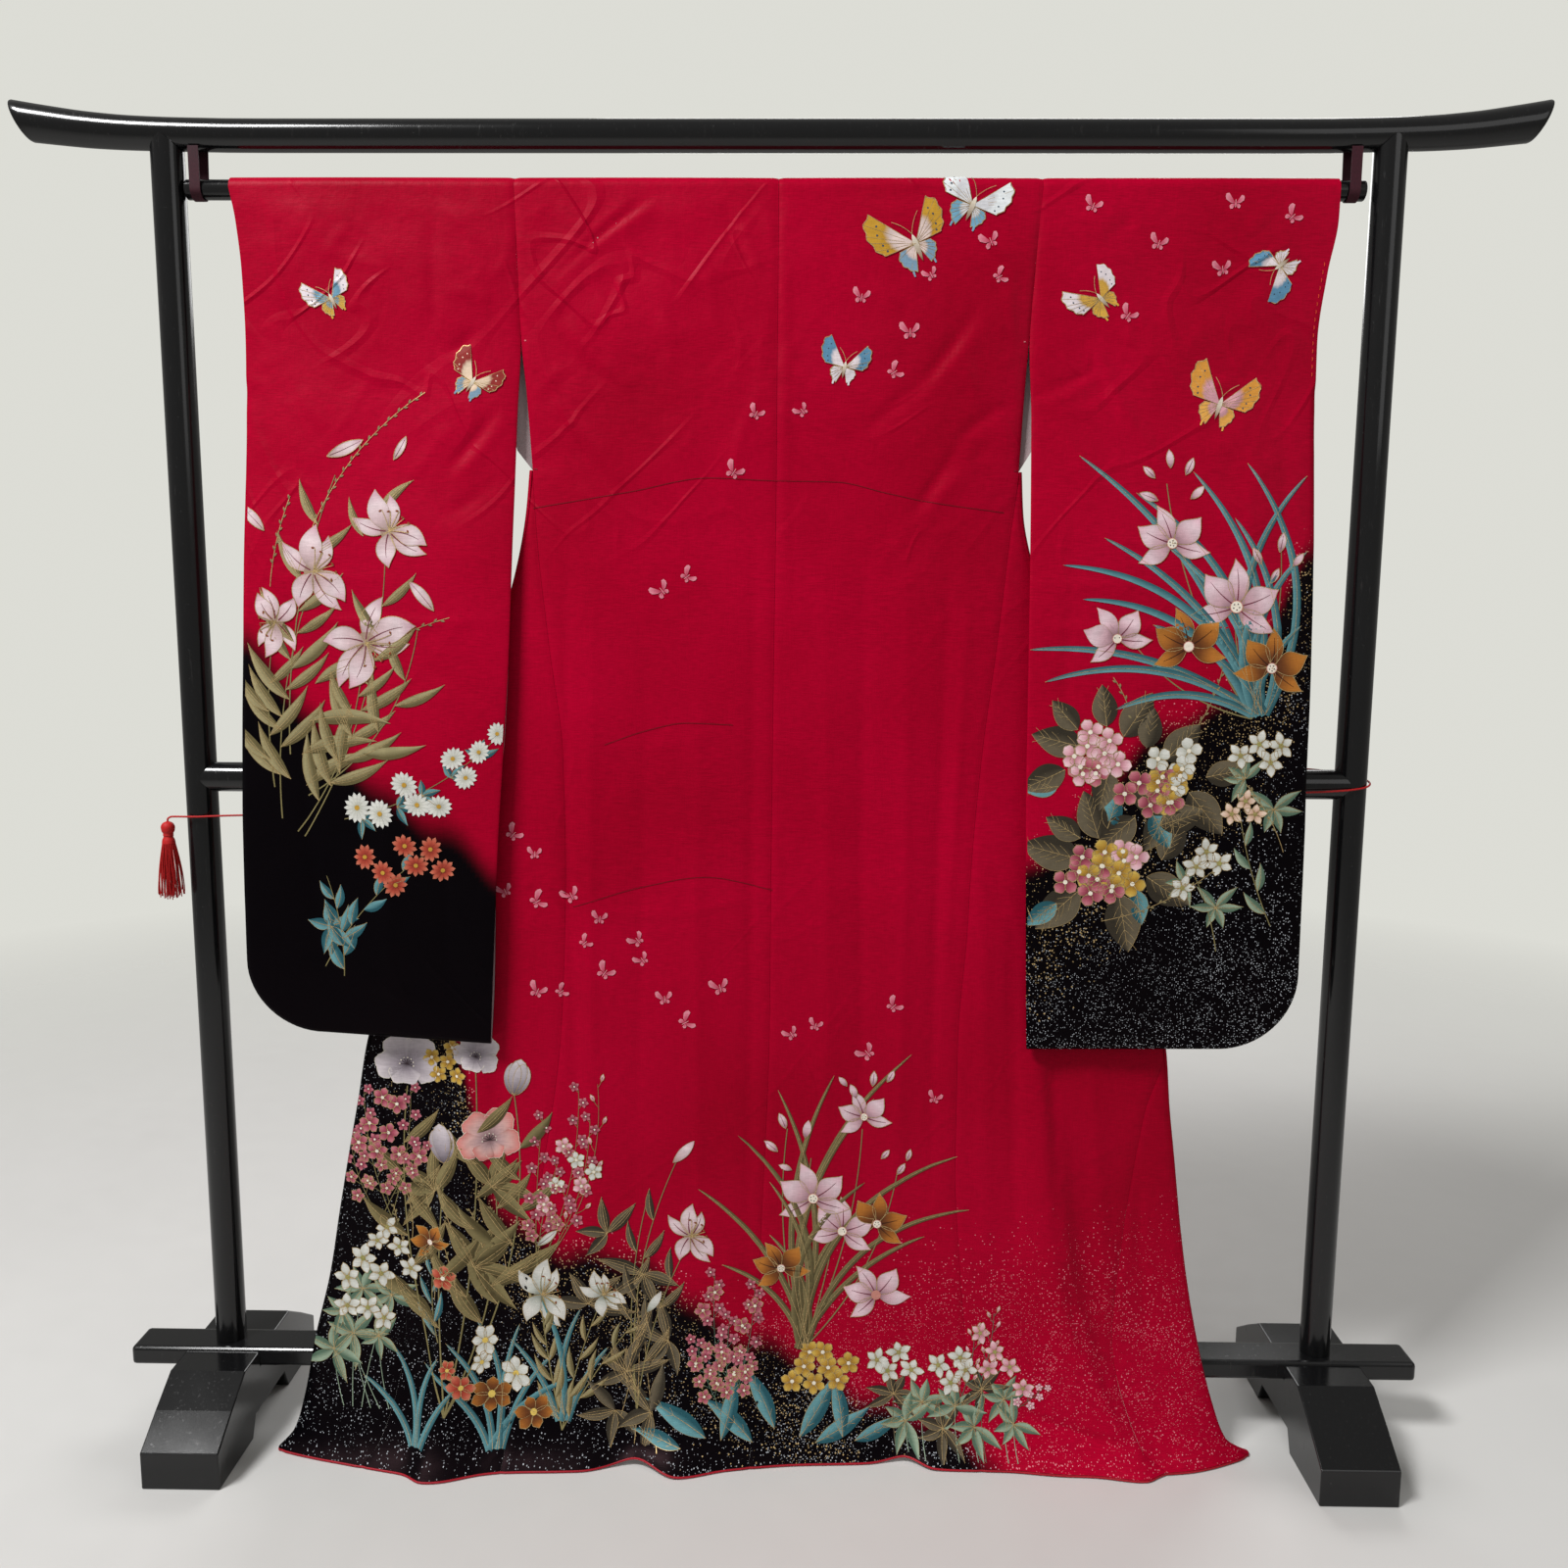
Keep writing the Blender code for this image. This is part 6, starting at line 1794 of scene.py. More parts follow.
def reed(art, root, heading, length, bend, tones=SPIKE, every=0.008):
    """A thin arching stalk with small grains along both sides."""
    line = arc(root, heading, length, bend)
    art.stroke(line, 0.0008, tones[0], 0.42, gilt=True)
    for k, share in enumerate(np.arange(0.25, 0.98, every / length)):
        at = int(share * (len(line) - 1))
        art.petal(line[at], heading + bend * share + 0.5 * (-1) ** k, 0.0062, 0.0024, tones, lift=0.6,
                  rim=False, across=1, step=0.002)


def blades(art, root, tips, tones=TEAL, width=0.009, bow=0.10):
    """Long narrow leaves that arch from one root to their tips."""
    for k, tip in enumerate(tips):
        run = np.array(tip) - np.array(root)
        side = 1 if run[0] < 0 else -1
        line = bowed((root[0] + 0.004 * (k % 5 - 2), root[1]), tip, -side * bow * (0.6 + 0.2 * (k % 3)))
        art.strip(line, lambda s: width / 2 * np.sqrt(np.clip(1 - s**2.6, 0, 1)),
                  halved(tones, 3, 0.86, 0.24), 0.45 + 0.04 * (k % 4), 2)
        art.stroke(line, 0.0005, GOLD, 0.66 + 0.04 * (k % 4), gilt=True)


def spray(art, root, tip, bow, tones=ROSE, count=7, size=0.006, stalk=STALK, flowers=True):
    """A thin stalk whose short side twigs end in small florets or buds."""
    line = bowed(root, tip, bow)
    art.stroke(line, 0.0010, stalk, 0.45, taper=0.5)
    for k in range(count):
        share = 0.25 + 0.75 * k / (count - 1)
        at = min(len(line) - 2, int(share * (len(line) - 1)))
        ahead = line[at + 1] - line[at]
        side = (-1) ** k
        twig = arc(line[at], atan2(ahead[1], ahead[0]) + 0.8 * side, size * (2.6 - 1.4 * share), -0.4 * side)
        art.stroke(twig, 0.0006, stalk, 0.5)
        if flowers:
            floret(art, *twig[-1], size * (1.25 - 0.4 * share), 0.7 * k, tones)
        else:
            bud(art, *twig[-1], size * 1.5, atan2(ahead[1], ahead[0]) + 0.4 * side, tones, 0.46)


def butterfly(art, x, z, span, heading, tones, spots, folded=0.85):
    """Fanned fore wings in two tones, tailed hind wings in a third, outlined in gold and a little aslant."""
    inner, outer, hind = tones
    for side, share in ((1, 1.0), (-1, folded)):
        for turn, spread, reach, slope, far, lift in ((2.24, 1.15, 0.27, -0.10, hind, 0.66),
                                                      (1.08, 0.92, 0.52, 0.26, outer, 0.86)):
            def rim(t, reach=reach * span * share, slope=slope):
                front = side * t
                lobed = 0.84 - slope * front - 0.22 * np.maximum(-front - 0.45, 0) + 0.025 * np.cos(11 * t)
                return reach * lobed

            def dyed(s, t, far=far):
                edge = ease((s - 0.52) / 0.10)[..., None]
                border = 1 - 0.45 * np.exp(-((s - 0.57) / 0.05) ** 2)[..., None]
                return (inner * (1 - edge) + far * edge) * border

            art.fan((x, z), heading + side * turn, spread, rim, dyed, lift, 8, 8)
            t = np.linspace(-1, 1, 15)
            turns = heading + side * turn + spread / 2 * t
            ends = np.stack([x + rim(t) * np.cos(turns), z + rim(t) * np.sin(turns)], axis=-1)
            art.stroke(ends, 0.0009, GOLD, lift + 0.12, gilt=True)
            for k in (0, 3, 6, 8, 11, 14):
                vein = np.linspace(np.array((x, z)), ends[k], 4)
                art.stroke(vein, 0.0006 if k in (0, 14) else 0.0004, GOLD, lift + 0.11, gilt=True)
            for k in (2, 5, 9, 12) if far is outer else ():
                place = np.array((x, z)) * 0.22 + ends[k] * 0.78
                art.disc(place, 0.011 * span * share, spots, lift + 0.14, 6)
        back, out = heading + side * 2.62, 0.20 * span * share
        tail = arc((x + out * cos(back), z + out * sin(back)), back, 0.10 * span * share, 0.6 * side, 0.002)
        art.strip(tail, lambda s: 0.0016 * (1 - 0.4 * s), lambda s, t: hind, 0.70)
    ahead = np.array((cos(heading), sin(heading)))
    body = np.linspace(np.array((x, z)) - 0.17 * span * ahead, np.array((x, z)) + 0.09 * span * ahead, 9)
    art.strip(body, lambda s: 0.024 * span * lens(s, 0.6, 0.6),
              lambda s, t: fade(s, tone(120, 84, 50), CREAM), 1.12, 2)
    for side in (-1, 1):
        feeler = arc(body[-1], heading + 0.40 * side, span * 0.22, 0.5 * side)
        art.stroke(feeler, 0.0006, GOLD, 1.05, gilt=True)


def small_butterfly(art, x, z, size, heading):
    """A little butterfly in pale pink, deeper towards its body."""
    shades = (tone(168, 36, 66), tone(196, 92, 114), tone(216, 138, 152))
    for side, share in ((1, 1.0), (-1, 0.84)):
        for turn, spread, reach, slope in ((2.15, 1.0, 0.66, -0.10), (0.98, 0.80, 1.20, 0.24)):
            art.fan((x, z), heading + side * turn, spread,
                    lambda t: size * share * reach * (0.86 - slope * side * t - 0.25 * np.abs(t) ** 3),
                    lambda s, t: fade(s, *shades), 0.6, 4, 4)
    ahead = np.array((cos(heading), sin(heading)))
    body = np.linspace(np.array((x, z)) - 0.3 * size * ahead, np.array((x, z)) + 0.35 * size * ahead, 4)
    art.stroke(body, 0.0007, tone(222, 150, 160), 0.8)


def scatter(art, draw, size, turn, places, *tones, shrink=0.0):
    """Draws one kind of flower at places, each turned a little further than the one before."""
    for k, (x, z) in enumerate(places):
        draw(art, x, z, size - shrink * k, turn * k, *tones)


# Where they grow: each robe part has its own planting, in rough groups
BLUE_WINGS = (tone(104, 148, 172), tone(226, 214, 220), tone(196, 156, 62))
GOLD_WINGS = (tone(218, 196, 190), tone(188, 142, 44), tone(120, 150, 172))
CREAM_WINGS = (tone(204, 158, 66), tone(222, 210, 214), tone(206, 160, 64))
RUST_WINGS = (tone(226, 200, 174), tone(140, 40, 36), tone(120, 150, 172))
OCHRE_WINGS = (tone(206, 150, 160), tone(212, 146, 60), tone(218, 160, 76))
SILVER_WINGS = (tone(206, 206, 210), tone(222, 226, 228), tone(110, 158, 182))
WATER_WINGS = (tone(222, 210, 214), tone(88, 136, 166), tone(214, 206, 212))
DARK_SPOT = tone(58, 72, 88)
PALE_SPOT = tone(232, 206, 188)


def left_sleeve_painting():
    art = Painting()
    for foot, tip, bow, leaves in (
            ((-0.592, 0.822), (-0.552, 1.100), 0.05, 6), ((-0.574, 0.806), (-0.490, 1.020), -0.08, 6),
            ((-0.566, 0.800), (-0.462, 1.140), -0.07, 8), ((-0.600, 0.860), (-0.600, 1.030), 0.03, 4),
            ((-0.580, 0.900), (-0.522, 1.232), 0.05, 7), ((-0.560, 0.850), (-0.424, 1.048), -0.12, 5)):
        stem(art, foot, tip, bow, leaves=leaves, length=0.094, slim=0.19, spread=0.95, first=0.20)
    for x, z, heading, length in (
            (-0.580, 0.870, 2.35, 0.080), (-0.562, 0.862, 0.75, 0.090), (-0.566, 0.900, 0.45, 0.095),
            (-0.556, 0.940, 0.25, 0.100), (-0.590, 0.930, 2.60, 0.070), (-0.548, 0.985, 0.65, 0.085),
            (-0.470, 1.185, 1.05, 0.060), (-0.488, 1.160, 2.2, 0.050)):
        art.leaf((x, z), heading, length, 0.19 * length, OLIVE, bend=-0.55)
    reed(art, (-0.566, 1.120), 1.32, 0.265, -0.75)
    reed(art, (-0.520, 1.000), 0.62, 0.150, -0.35)
    reed(art, (-0.600, 1.100), 1.50, 0.110, -0.3)
    for x, z, size, heading in (
            (-0.532, 1.254, 0.048, 0.35), (-0.607, 1.166, 0.044, 2.3), (-0.404, 1.072, 0.046, 2.2),
            (-0.452, 1.250, 0.032, 1.0)):
        bud(art, x, z, size, heading)
    lily(art, -0.594, 1.058, 0.046, 3.4)
    lily(art, -0.548, 1.118, 0.058, 0.5)
    lily(art, -0.457, 1.166, 0.054, 0.9)
    lily(art, -0.486, 1.034, 0.066, 5.6)
    line = stem(art, (-0.516, 0.822), (-0.318, 0.934), -0.08, width=0.0012)
    for k, share in enumerate((0.1, 0.3, 0.45, 0.62, 0.8)):
        at = line[int(share * (len(line) - 1))]
        whorl(art, at[0], at[1] - 0.004, 0.026, 3, -0.6 + 0.5 * k, 2.2, TEAL, 0.34)
    scatter(art, daisy, 0.019, 0.4, (
            (-0.500, 0.836), (-0.472, 0.829), (-0.442, 0.864), (-0.427, 0.840), (-0.401, 0.838),
            (-0.383, 0.896), (-0.368, 0.873), (-0.352, 0.904), (-0.330, 0.926)), shrink=0.0006)
    for foot, tip, bow, length in (((-0.545, 0.640), (-0.412, 0.784), 0.06, 0.042),
                                   ((-0.522, 0.628), (-0.540, 0.752), -0.05, 0.046)):
        stem(art, foot, tip, bow, width=0.0012, leaves=7, length=length, slim=0.36, tones=TEAL)
    whorl(art, -0.536, 0.690, 0.040, 5, 1.7, 5.2, TEAL, 0.36)
    for k, (x, z) in enumerate((
            (-0.492, 0.776), (-0.470, 0.757), (-0.443, 0.790), (-0.430, 0.766), (-0.398, 0.760),
            (-0.455, 0.742), (-0.412, 0.786))):
        rayed(art, x, z, 0.016, 10, 0.36, RUST, YELLOW[1], 0.5 * k, 0.66, 0.5, squash=0.85)
    butterfly(art, -0.524, 1.438, 0.078, 2.05, BLUE_WINGS, DARK_SPOT, 0.9)
    butterfly(art, -0.358, 1.342, 0.086, 1.0, RUST_WINGS, PALE_SPOT, 0.9)
    return art


def right_sleeve_painting():
    art = Painting()
    blades(art, (0.580, 0.955), (
            (0.362, 1.258), (0.497, 1.240), (0.632, 1.236), (0.393, 1.162), (0.546, 1.186),
            (0.369, 1.090), (0.308, 1.030), (0.326, 0.992), (0.634, 1.148), (0.452, 1.060),
            (0.410, 0.960), (0.598, 1.120), (0.520, 1.110), (0.430, 1.215), (0.560, 1.250),
            (0.628, 1.060), (0.470, 1.150), (0.345, 1.130)), width=0.010, bow=0.16)
    for tip, bow in (
            ((0.466, 1.226), 0.06), ((0.420, 1.052), 0.10), ((0.545, 1.098), 0.03),
            ((0.602, 1.150), -0.05)):
        stem(art, (0.572, 0.950), tip, bow, width=0.0018)
    for x, z, size, heading in (
            (0.452, 1.232, 0.020, 2.3), (0.470, 1.244, 0.022, 1.6), (0.488, 1.236, 0.022, 1.1),
            (0.456, 1.206, 0.024, 2.7), (0.494, 1.208, 0.022, 0.7), (0.578, 1.132, 0.022, 2.0),
            (0.600, 1.146, 0.024, 1.3), (0.616, 1.130, 0.020, 0.8), (0.590, 1.110, 0.020, 1.0)):
        bud(art, x, z, size, heading, PINK_ORCHID, 0.42)
    orchid(art, 0.473, 1.156, 0.044, 0.15)
    orchid(art, 0.550, 1.082, 0.052, -0.2)
    orchid(art, 0.410, 1.044, 0.040, 0.35)
    orchid(art, 0.495, 1.035, 0.044, 0.1, OCHRE_ORCHID)
    orchid(art, 0.594, 1.010, 0.044, -0.25, OCHRE_ORCHID)
    for x, z, size, heading in (
            (0.372, 0.915, 0.062, 2.9), (0.420, 0.928, 0.062, 1.0), (0.352, 0.888, 0.056, 3.6),
            (0.430, 0.870, 0.070, 5.8), (0.470, 0.900, 0.060, 0.8), (0.500, 0.862, 0.066, 5.4),
            (0.372, 0.780, 0.072, 2.9), (0.372, 0.742, 0.070, 3.9), (0.420, 0.738, 0.072, 4.9),
            (0.452, 0.760, 0.064, 5.7), (0.466, 0.822, 0.058, 0.3), (0.394, 0.806, 0.060, 1.9),
            (0.400, 0.940, 0.050, 1.7), (0.366, 0.936, 0.046, 2.3), (0.404, 0.890, 0.052, 4.5),
            (0.448, 0.915, 0.048, 1.4), (0.520, 0.880, 0.052, 0.2), (0.476, 0.840, 0.056, 4.2),
            (0.436, 0.832, 0.060, 3.9), (0.470, 0.780, 0.056, 1.1), (0.372, 0.806, 0.048, 2.6)):
        art.leaf((x, z), heading, size, size * 0.60, BROWN_LEAF, veins=5, lift=0.45, power=0.9)
    for x, z, size, heading in (
            (0.344, 0.868, 0.040, 3.3), (0.456, 0.838, 0.050, 5.2), (0.346, 0.726, 0.046, 3.8),
            (0.440, 0.744, 0.044, 4.9), (0.404, 0.818, 0.044, 1.3)):
        art.leaf((x, z), heading, size, size * 0.55, TEAL, veins=4, lift=0.47, power=0.9)
    groups = (
            ((0.389, 0.908), 0.036, PINK, 8), ((0.380, 0.884), 0.016, ROSE, 2),
            ((0.452, 0.864), 0.034, ROSE, 6), ((0.474, 0.866), 0.026, YELLOW, 4),
            ((0.478, 0.890), 0.036, WHITE, 4), ((0.384, 0.756), 0.036, ROSE, 7),
            ((0.410, 0.764), 0.034, YELLOW, 7), ((0.432, 0.784), 0.014, PINK, 2))
    for (x, z), reach, tones, count in groups:
        for k in range(count):
            out = reach * sqrt((k + 0.5) / count)
            floret(art, x + out * cos(2.4 * k), z + 0.8 * out * sin(2.4 * k), 0.0165, 0.6 * k, tones, 4)
    stem(art, (0.604, 0.700), (0.556, 0.900), 0.05, width=0.0012, leaves=6, length=0.040, slim=0.3,
         tones=SAGE)
    stem(art, (0.540, 0.668), (0.505, 0.770), -0.05, width=0.0012)
    whorl(art, 0.602, 0.842, 0.040, 6, 4.7, 4.6, SAGE)
    whorl(art, 0.538, 0.722, 0.036, 6, 4.7, 5.0, SAGE)
    whorl(art, 0.500, 0.752, 0.034, 5, 3.0, 3.6, SAGE)
    whorl(art, 0.566, 0.878, 0.034, 5, 2.4, 3.4, SAGE)
    scatter(art, star, 0.018, 0.5, (
            (0.582, 0.920), (0.608, 0.918), (0.560, 0.906), (0.512, 0.772), (0.540, 0.776),
            (0.496, 0.746), (0.524, 0.790), (0.596, 0.898)))
    scatter(art, star, 0.015, 0.7, ((0.568, 0.852), (0.552, 0.836), (0.580, 0.836)), PEACH)
    for x, z, length, heading in (
            (0.400, 0.705, 0.16, 0.2), (0.500, 0.930, 0.09, 0.9), (0.318, 0.702, 0.10, 1.9),
            (0.616, 0.790, 0.12, 1.9), (0.432, 0.934, 0.07, 1.7)):
        reed(art, (x, z), heading, length, 0.5)
    butterfly(art, 0.384, 1.440, 0.090, 2.35, CREAM_WINGS, DARK_SPOT, 0.85)
    butterfly(art, 0.592, 1.478, 0.084, 3.8, WATER_WINGS, DARK_SPOT, 0.85)
    butterfly(art, 0.526, 1.318, 0.110, 1.25, OCHRE_WINGS, DARK_SPOT, 0.95)
    for k, (x, z) in enumerate((
            (0.372, 1.544), (0.450, 1.502), (0.416, 1.420), (0.538, 1.548), (0.604, 1.533), (0.526, 1.473))):
        small_butterfly(art, x, z, 0.014, 1.2 + 0.8 * sin(3 * k))
    for k in range(15):
        z = 1.352 + 0.009 * k
        x = CUFF[RIGHT](z) - 0.006
        stitch = np.array([(x, z), (x + 0.0004, z + 0.002), (x, z + 0.0042)])
        art.stroke(stitch, 0.0009, tone(214, 70, 40), 0.7)
    return art


SMALL_BUTTERFLIES = [
    (0.103, 1.440), (0.185, 1.466), (0.264, 1.464), (0.254, 1.504), (0.161, 1.400), (0.142, 1.354),
    (0.035, 1.309), (-0.021, 1.305), (-0.047, 1.237), (-0.132, 1.097), (-0.103, 1.114), (-0.290, 0.776),
    (-0.327, 0.729), (-0.289, 0.717), (-0.245, 0.724), (-0.211, 0.696), (-0.230, 0.666), (-0.164, 0.669),
    (-0.206, 0.628), (-0.290, 0.603), (-0.158, 0.644), (-0.261, 0.603), (-0.131, 0.595), (-0.062, 0.610),
    (-0.106, 0.566), (0.027, 0.552), (0.056, 0.563), (0.152, 0.589), (0.122, 0.528), (-0.317, 0.800),
    (0.206, 0.470),
]
STITCHED_ARCS = [
    # places on a line of the inner stitching that shows faintly through
    (
        (-0.288, 1.195), (-0.221, 1.206), (-0.168, 1.215), (-0.076, 1.231), (0.001, 1.228),
        (0.075, 1.227), (0.136, 1.214), (0.186, 1.204), (0.282, 1.191)),
    ((-0.244, 0.711), (-0.160, 0.736), (-0.080, 0.750), (0.004, 0.734)),
    ((-0.203, 0.912), (-0.150, 0.930), (-0.104, 0.939), (-0.045, 0.937)),
]


def through(places, spacing=0.006):
    """A smooth line through places that run from left to right."""
    height = curve_of(places, 1)
    x = np.arange(places[0][0], places[-1][0], spacing)
    return np.stack([x, height(x)], axis=-1)


def robe_back_painting():
    art = Painting()
    for side in (LEFT, RIGHT):
        for z, tint in ((SLIT_TOP + 0.001, tone(214, 120, 130)), (SLIT_BOTTOM + 0.001, tone(120, 10, 30))):
            inner = side * (abs(side_seam(side, z)) - 0.0025)
            tack = np.linspace((inner - side * 0.004, z), (inner + side * 0.0015, z + 0.0006), 4)
            art.stroke(tack, 0.0012, tint, 0.5)
    for places in STITCHED_ARCS:
        art.stroke(through(places), 0.0008, SEAM_THREAD, 0.35)
    butterfly(art, 0.166, 1.502, 0.128, 2.0, GOLD_WINGS, DARK_SPOT, 0.85)
    butterfly(art, 0.232, 1.546, 0.118, 1.15, SILVER_WINGS, DARK_SPOT, 0.85)
    butterfly(art, 0.084, 1.360, 0.080, 1.35, WATER_WINGS, DARK_SPOT, 0.9)
    for k, (x, z) in enumerate(SMALL_BUTTERFLIES):
        small_butterfly(art, x, z, 0.0135 + 0.002 * sin(5 * k), 1.4 + 0.9 * sin(2.3 * k))
    left_hem_plants(art)
    middle_hem_plants(art)
    right_hem_plants(art)
    return art


def left_hem_plants(art):
    """Poppies, roses and lilies on the black ground at the left, and what grows at their feet."""
    root = (-0.410, 0.060)
    for tip, bow, leaves in (
            ((-0.456, 0.480), 0.06, 6), ((-0.368, 0.500), -0.03, 6), ((-0.352, 0.400), -0.08, 4),
            ((-0.322, 0.476), -0.09, 6), ((-0.408, 0.384), 0.03, 3)):
        stem(art, root, tip, bow, width=0.0022, leaves=leaves, length=0.104, slim=0.24,
             tones=HEM_OLIVE, spread=1.0, first=0.35)
    for x, z, size, heading in (
            (-0.424, 0.343, 0.070, 2.4), (-0.352, 0.350, 0.070, 0.6), (-0.375, 0.246, 0.080, 0.5)):
        whorl(art, x, z, size, 5, heading, 2.9, HEM_OLIVE, 0.26)
    for k in range(9):
        x, z = -0.455 + 0.030 * (k % 5), 0.330 - 0.038 * (k // 3)
        reed(art, (x, z - 0.05), 1.7 + 0.25 * (k % 3 - 1), 0.085, 0.6 - 0.4 * (k % 3), SPIKE, 0.006)
    for k, (tip, bow) in enumerate((
            ((-0.512, 0.470), 0.05), ((-0.452, 0.474), -0.04), ((-0.532, 0.412), 0.08),
            ((-0.440, 0.402), 0.02))):
        spray(art, (-0.478 - 0.006 * k, 0.300), tip, bow, ROSE, 8, 0.0085)
    scatter(art, floret, 0.0115, 0.7, (
            (-0.404, 0.512), (-0.416, 0.496), (-0.392, 0.494), (-0.424, 0.518), (-0.398, 0.530)), YELLOW)
    scatter(art, floret, 0.0135, 0.9, (
            (-0.488, 0.464), (-0.470, 0.456), (-0.521, 0.404), (-0.497, 0.394), (-0.469, 0.390),
            (-0.444, 0.388), (-0.506, 0.430), (-0.482, 0.418)), ROSE)
    poppy(art, -0.456, 0.508, 0.044, 1.4, MAUVE)
    poppy(art, -0.368, 0.520, 0.032, 1.2, MAUVE)
    tulip(art, -0.322, 0.470, 0.048, 1.35, MAUVE)
    tulip(art, -0.410, 0.382, 0.050, 1.7, MAUVE)
    poppy(art, -0.353, 0.412, 0.043, 1.6, BLUSH)
    for tip, bow in (
            ((-0.240, 0.478), -0.06), ((-0.268, 0.380), 0.04), ((-0.226, 0.440), -0.08),
            ((-0.286, 0.440), 0.02)):
        spray(art, (-0.296, 0.236), tip, bow, ROSE, 9, 0.0080)
    spray(art, (-0.296, 0.236), (-0.216, 0.486), -0.10, PINK, 8, 0.0070, flowers=False)
    for k, (x, z) in enumerate((
            (-0.260, 0.404), (-0.222, 0.371), (-0.286, 0.327), (-0.244, 0.386), (-0.238, 0.352),
            (-0.270, 0.352))):
        floret(art, x, z, 0.0120, 0.6 * k, WHITE if k % 2 else PINK)
    stem(art, (-0.420, 0.150), (-0.424, 0.262), 0.06, leaves=5, length=0.05, tones=TEAL)
    orchid(art, -0.431, 0.276, 0.026, 0.5, OCHRE_ORCHID)
    floret(art, -0.413, 0.234, 0.017, 0.2, RUST)
    for k, (x, z, size) in enumerate((
            (-0.559, 0.130, 0.046), (-0.520, 0.212, 0.042), (-0.483, 0.204, 0.042),
            (-0.534, 0.152, 0.048), (-0.548, 0.180, 0.036), (-0.500, 0.150, 0.034))):
        stem(art, (-0.545 + 0.012 * k, 0.060), (x, z), 0.04, width=0.0010, colour=SAGE[1])
        whorl(art, x, z, size, 6, 1.2 + 0.4 * k, 5.0, SAGE)
    scatter(art, star, 0.021, 0.55, (
            (-0.519, 0.252), (-0.540, 0.225), (-0.496, 0.232), (-0.541, 0.188), (-0.514, 0.187),
            (-0.493, 0.174), (-0.487, 0.294), (-0.458, 0.240), (-0.472, 0.268), (-0.500, 0.276)),
            shrink=0.0006)
    for root, tips in (
            ((-0.344, 0.022), ((-0.440, 0.120), (-0.410, 0.150), (-0.372, 0.176), (-0.318, 0.170),
            (-0.276, 0.130), (-0.250, 0.100))), ((-0.442, 0.026), ((-0.520, 0.100), (-0.482, 0.140),
            (-0.420, 0.130), (-0.400, 0.090))), ((-0.259, 0.050), ((-0.330, 0.150), (-0.290, 0.200),
            (-0.240, 0.190), (-0.205, 0.140)))):
        blades(art, root, tips, TEAL, 0.008)
    for tip in ((-0.290, 0.205), (-0.212, 0.205), (-0.296, 0.270), (-0.156, 0.190)):
        stem(art, (-0.262, 0.040), tip, 0.03, leaves=6, length=0.050, slim=0.2)
    lily(art, -0.290, 0.208, 0.050, 0.4, WHITE_LILY)
    lily(art, -0.212, 0.208, 0.036, 0.9, WHITE_LILY)
    bud(art, -0.296, 0.272, 0.034, 0.6, WHITE_LILY)
    bud(art, -0.156, 0.186, 0.034, 0.9, WHITE_LILY)
    for k, (x, z, tones, size) in enumerate((
            (-0.362, 0.150, WHITE, 0.022), (-0.323, 0.106, WHITE, 0.024), (-0.391, 0.093, RUST, 0.020),
            (-0.353, 0.082, OCHRE_ORCHID[:3], 0.028), (-0.299, 0.060, OCHRE_ORCHID[:3], 0.026),
            (-0.366, 0.122, WHITE, 0.016), (-0.408, 0.116, RUST, 0.014))):
        rayed(art, x, z, size, 6, 0.56, tones, YELLOW[2], 0.5 * k, 0.62, 0.6, rim=True, squash=0.75)


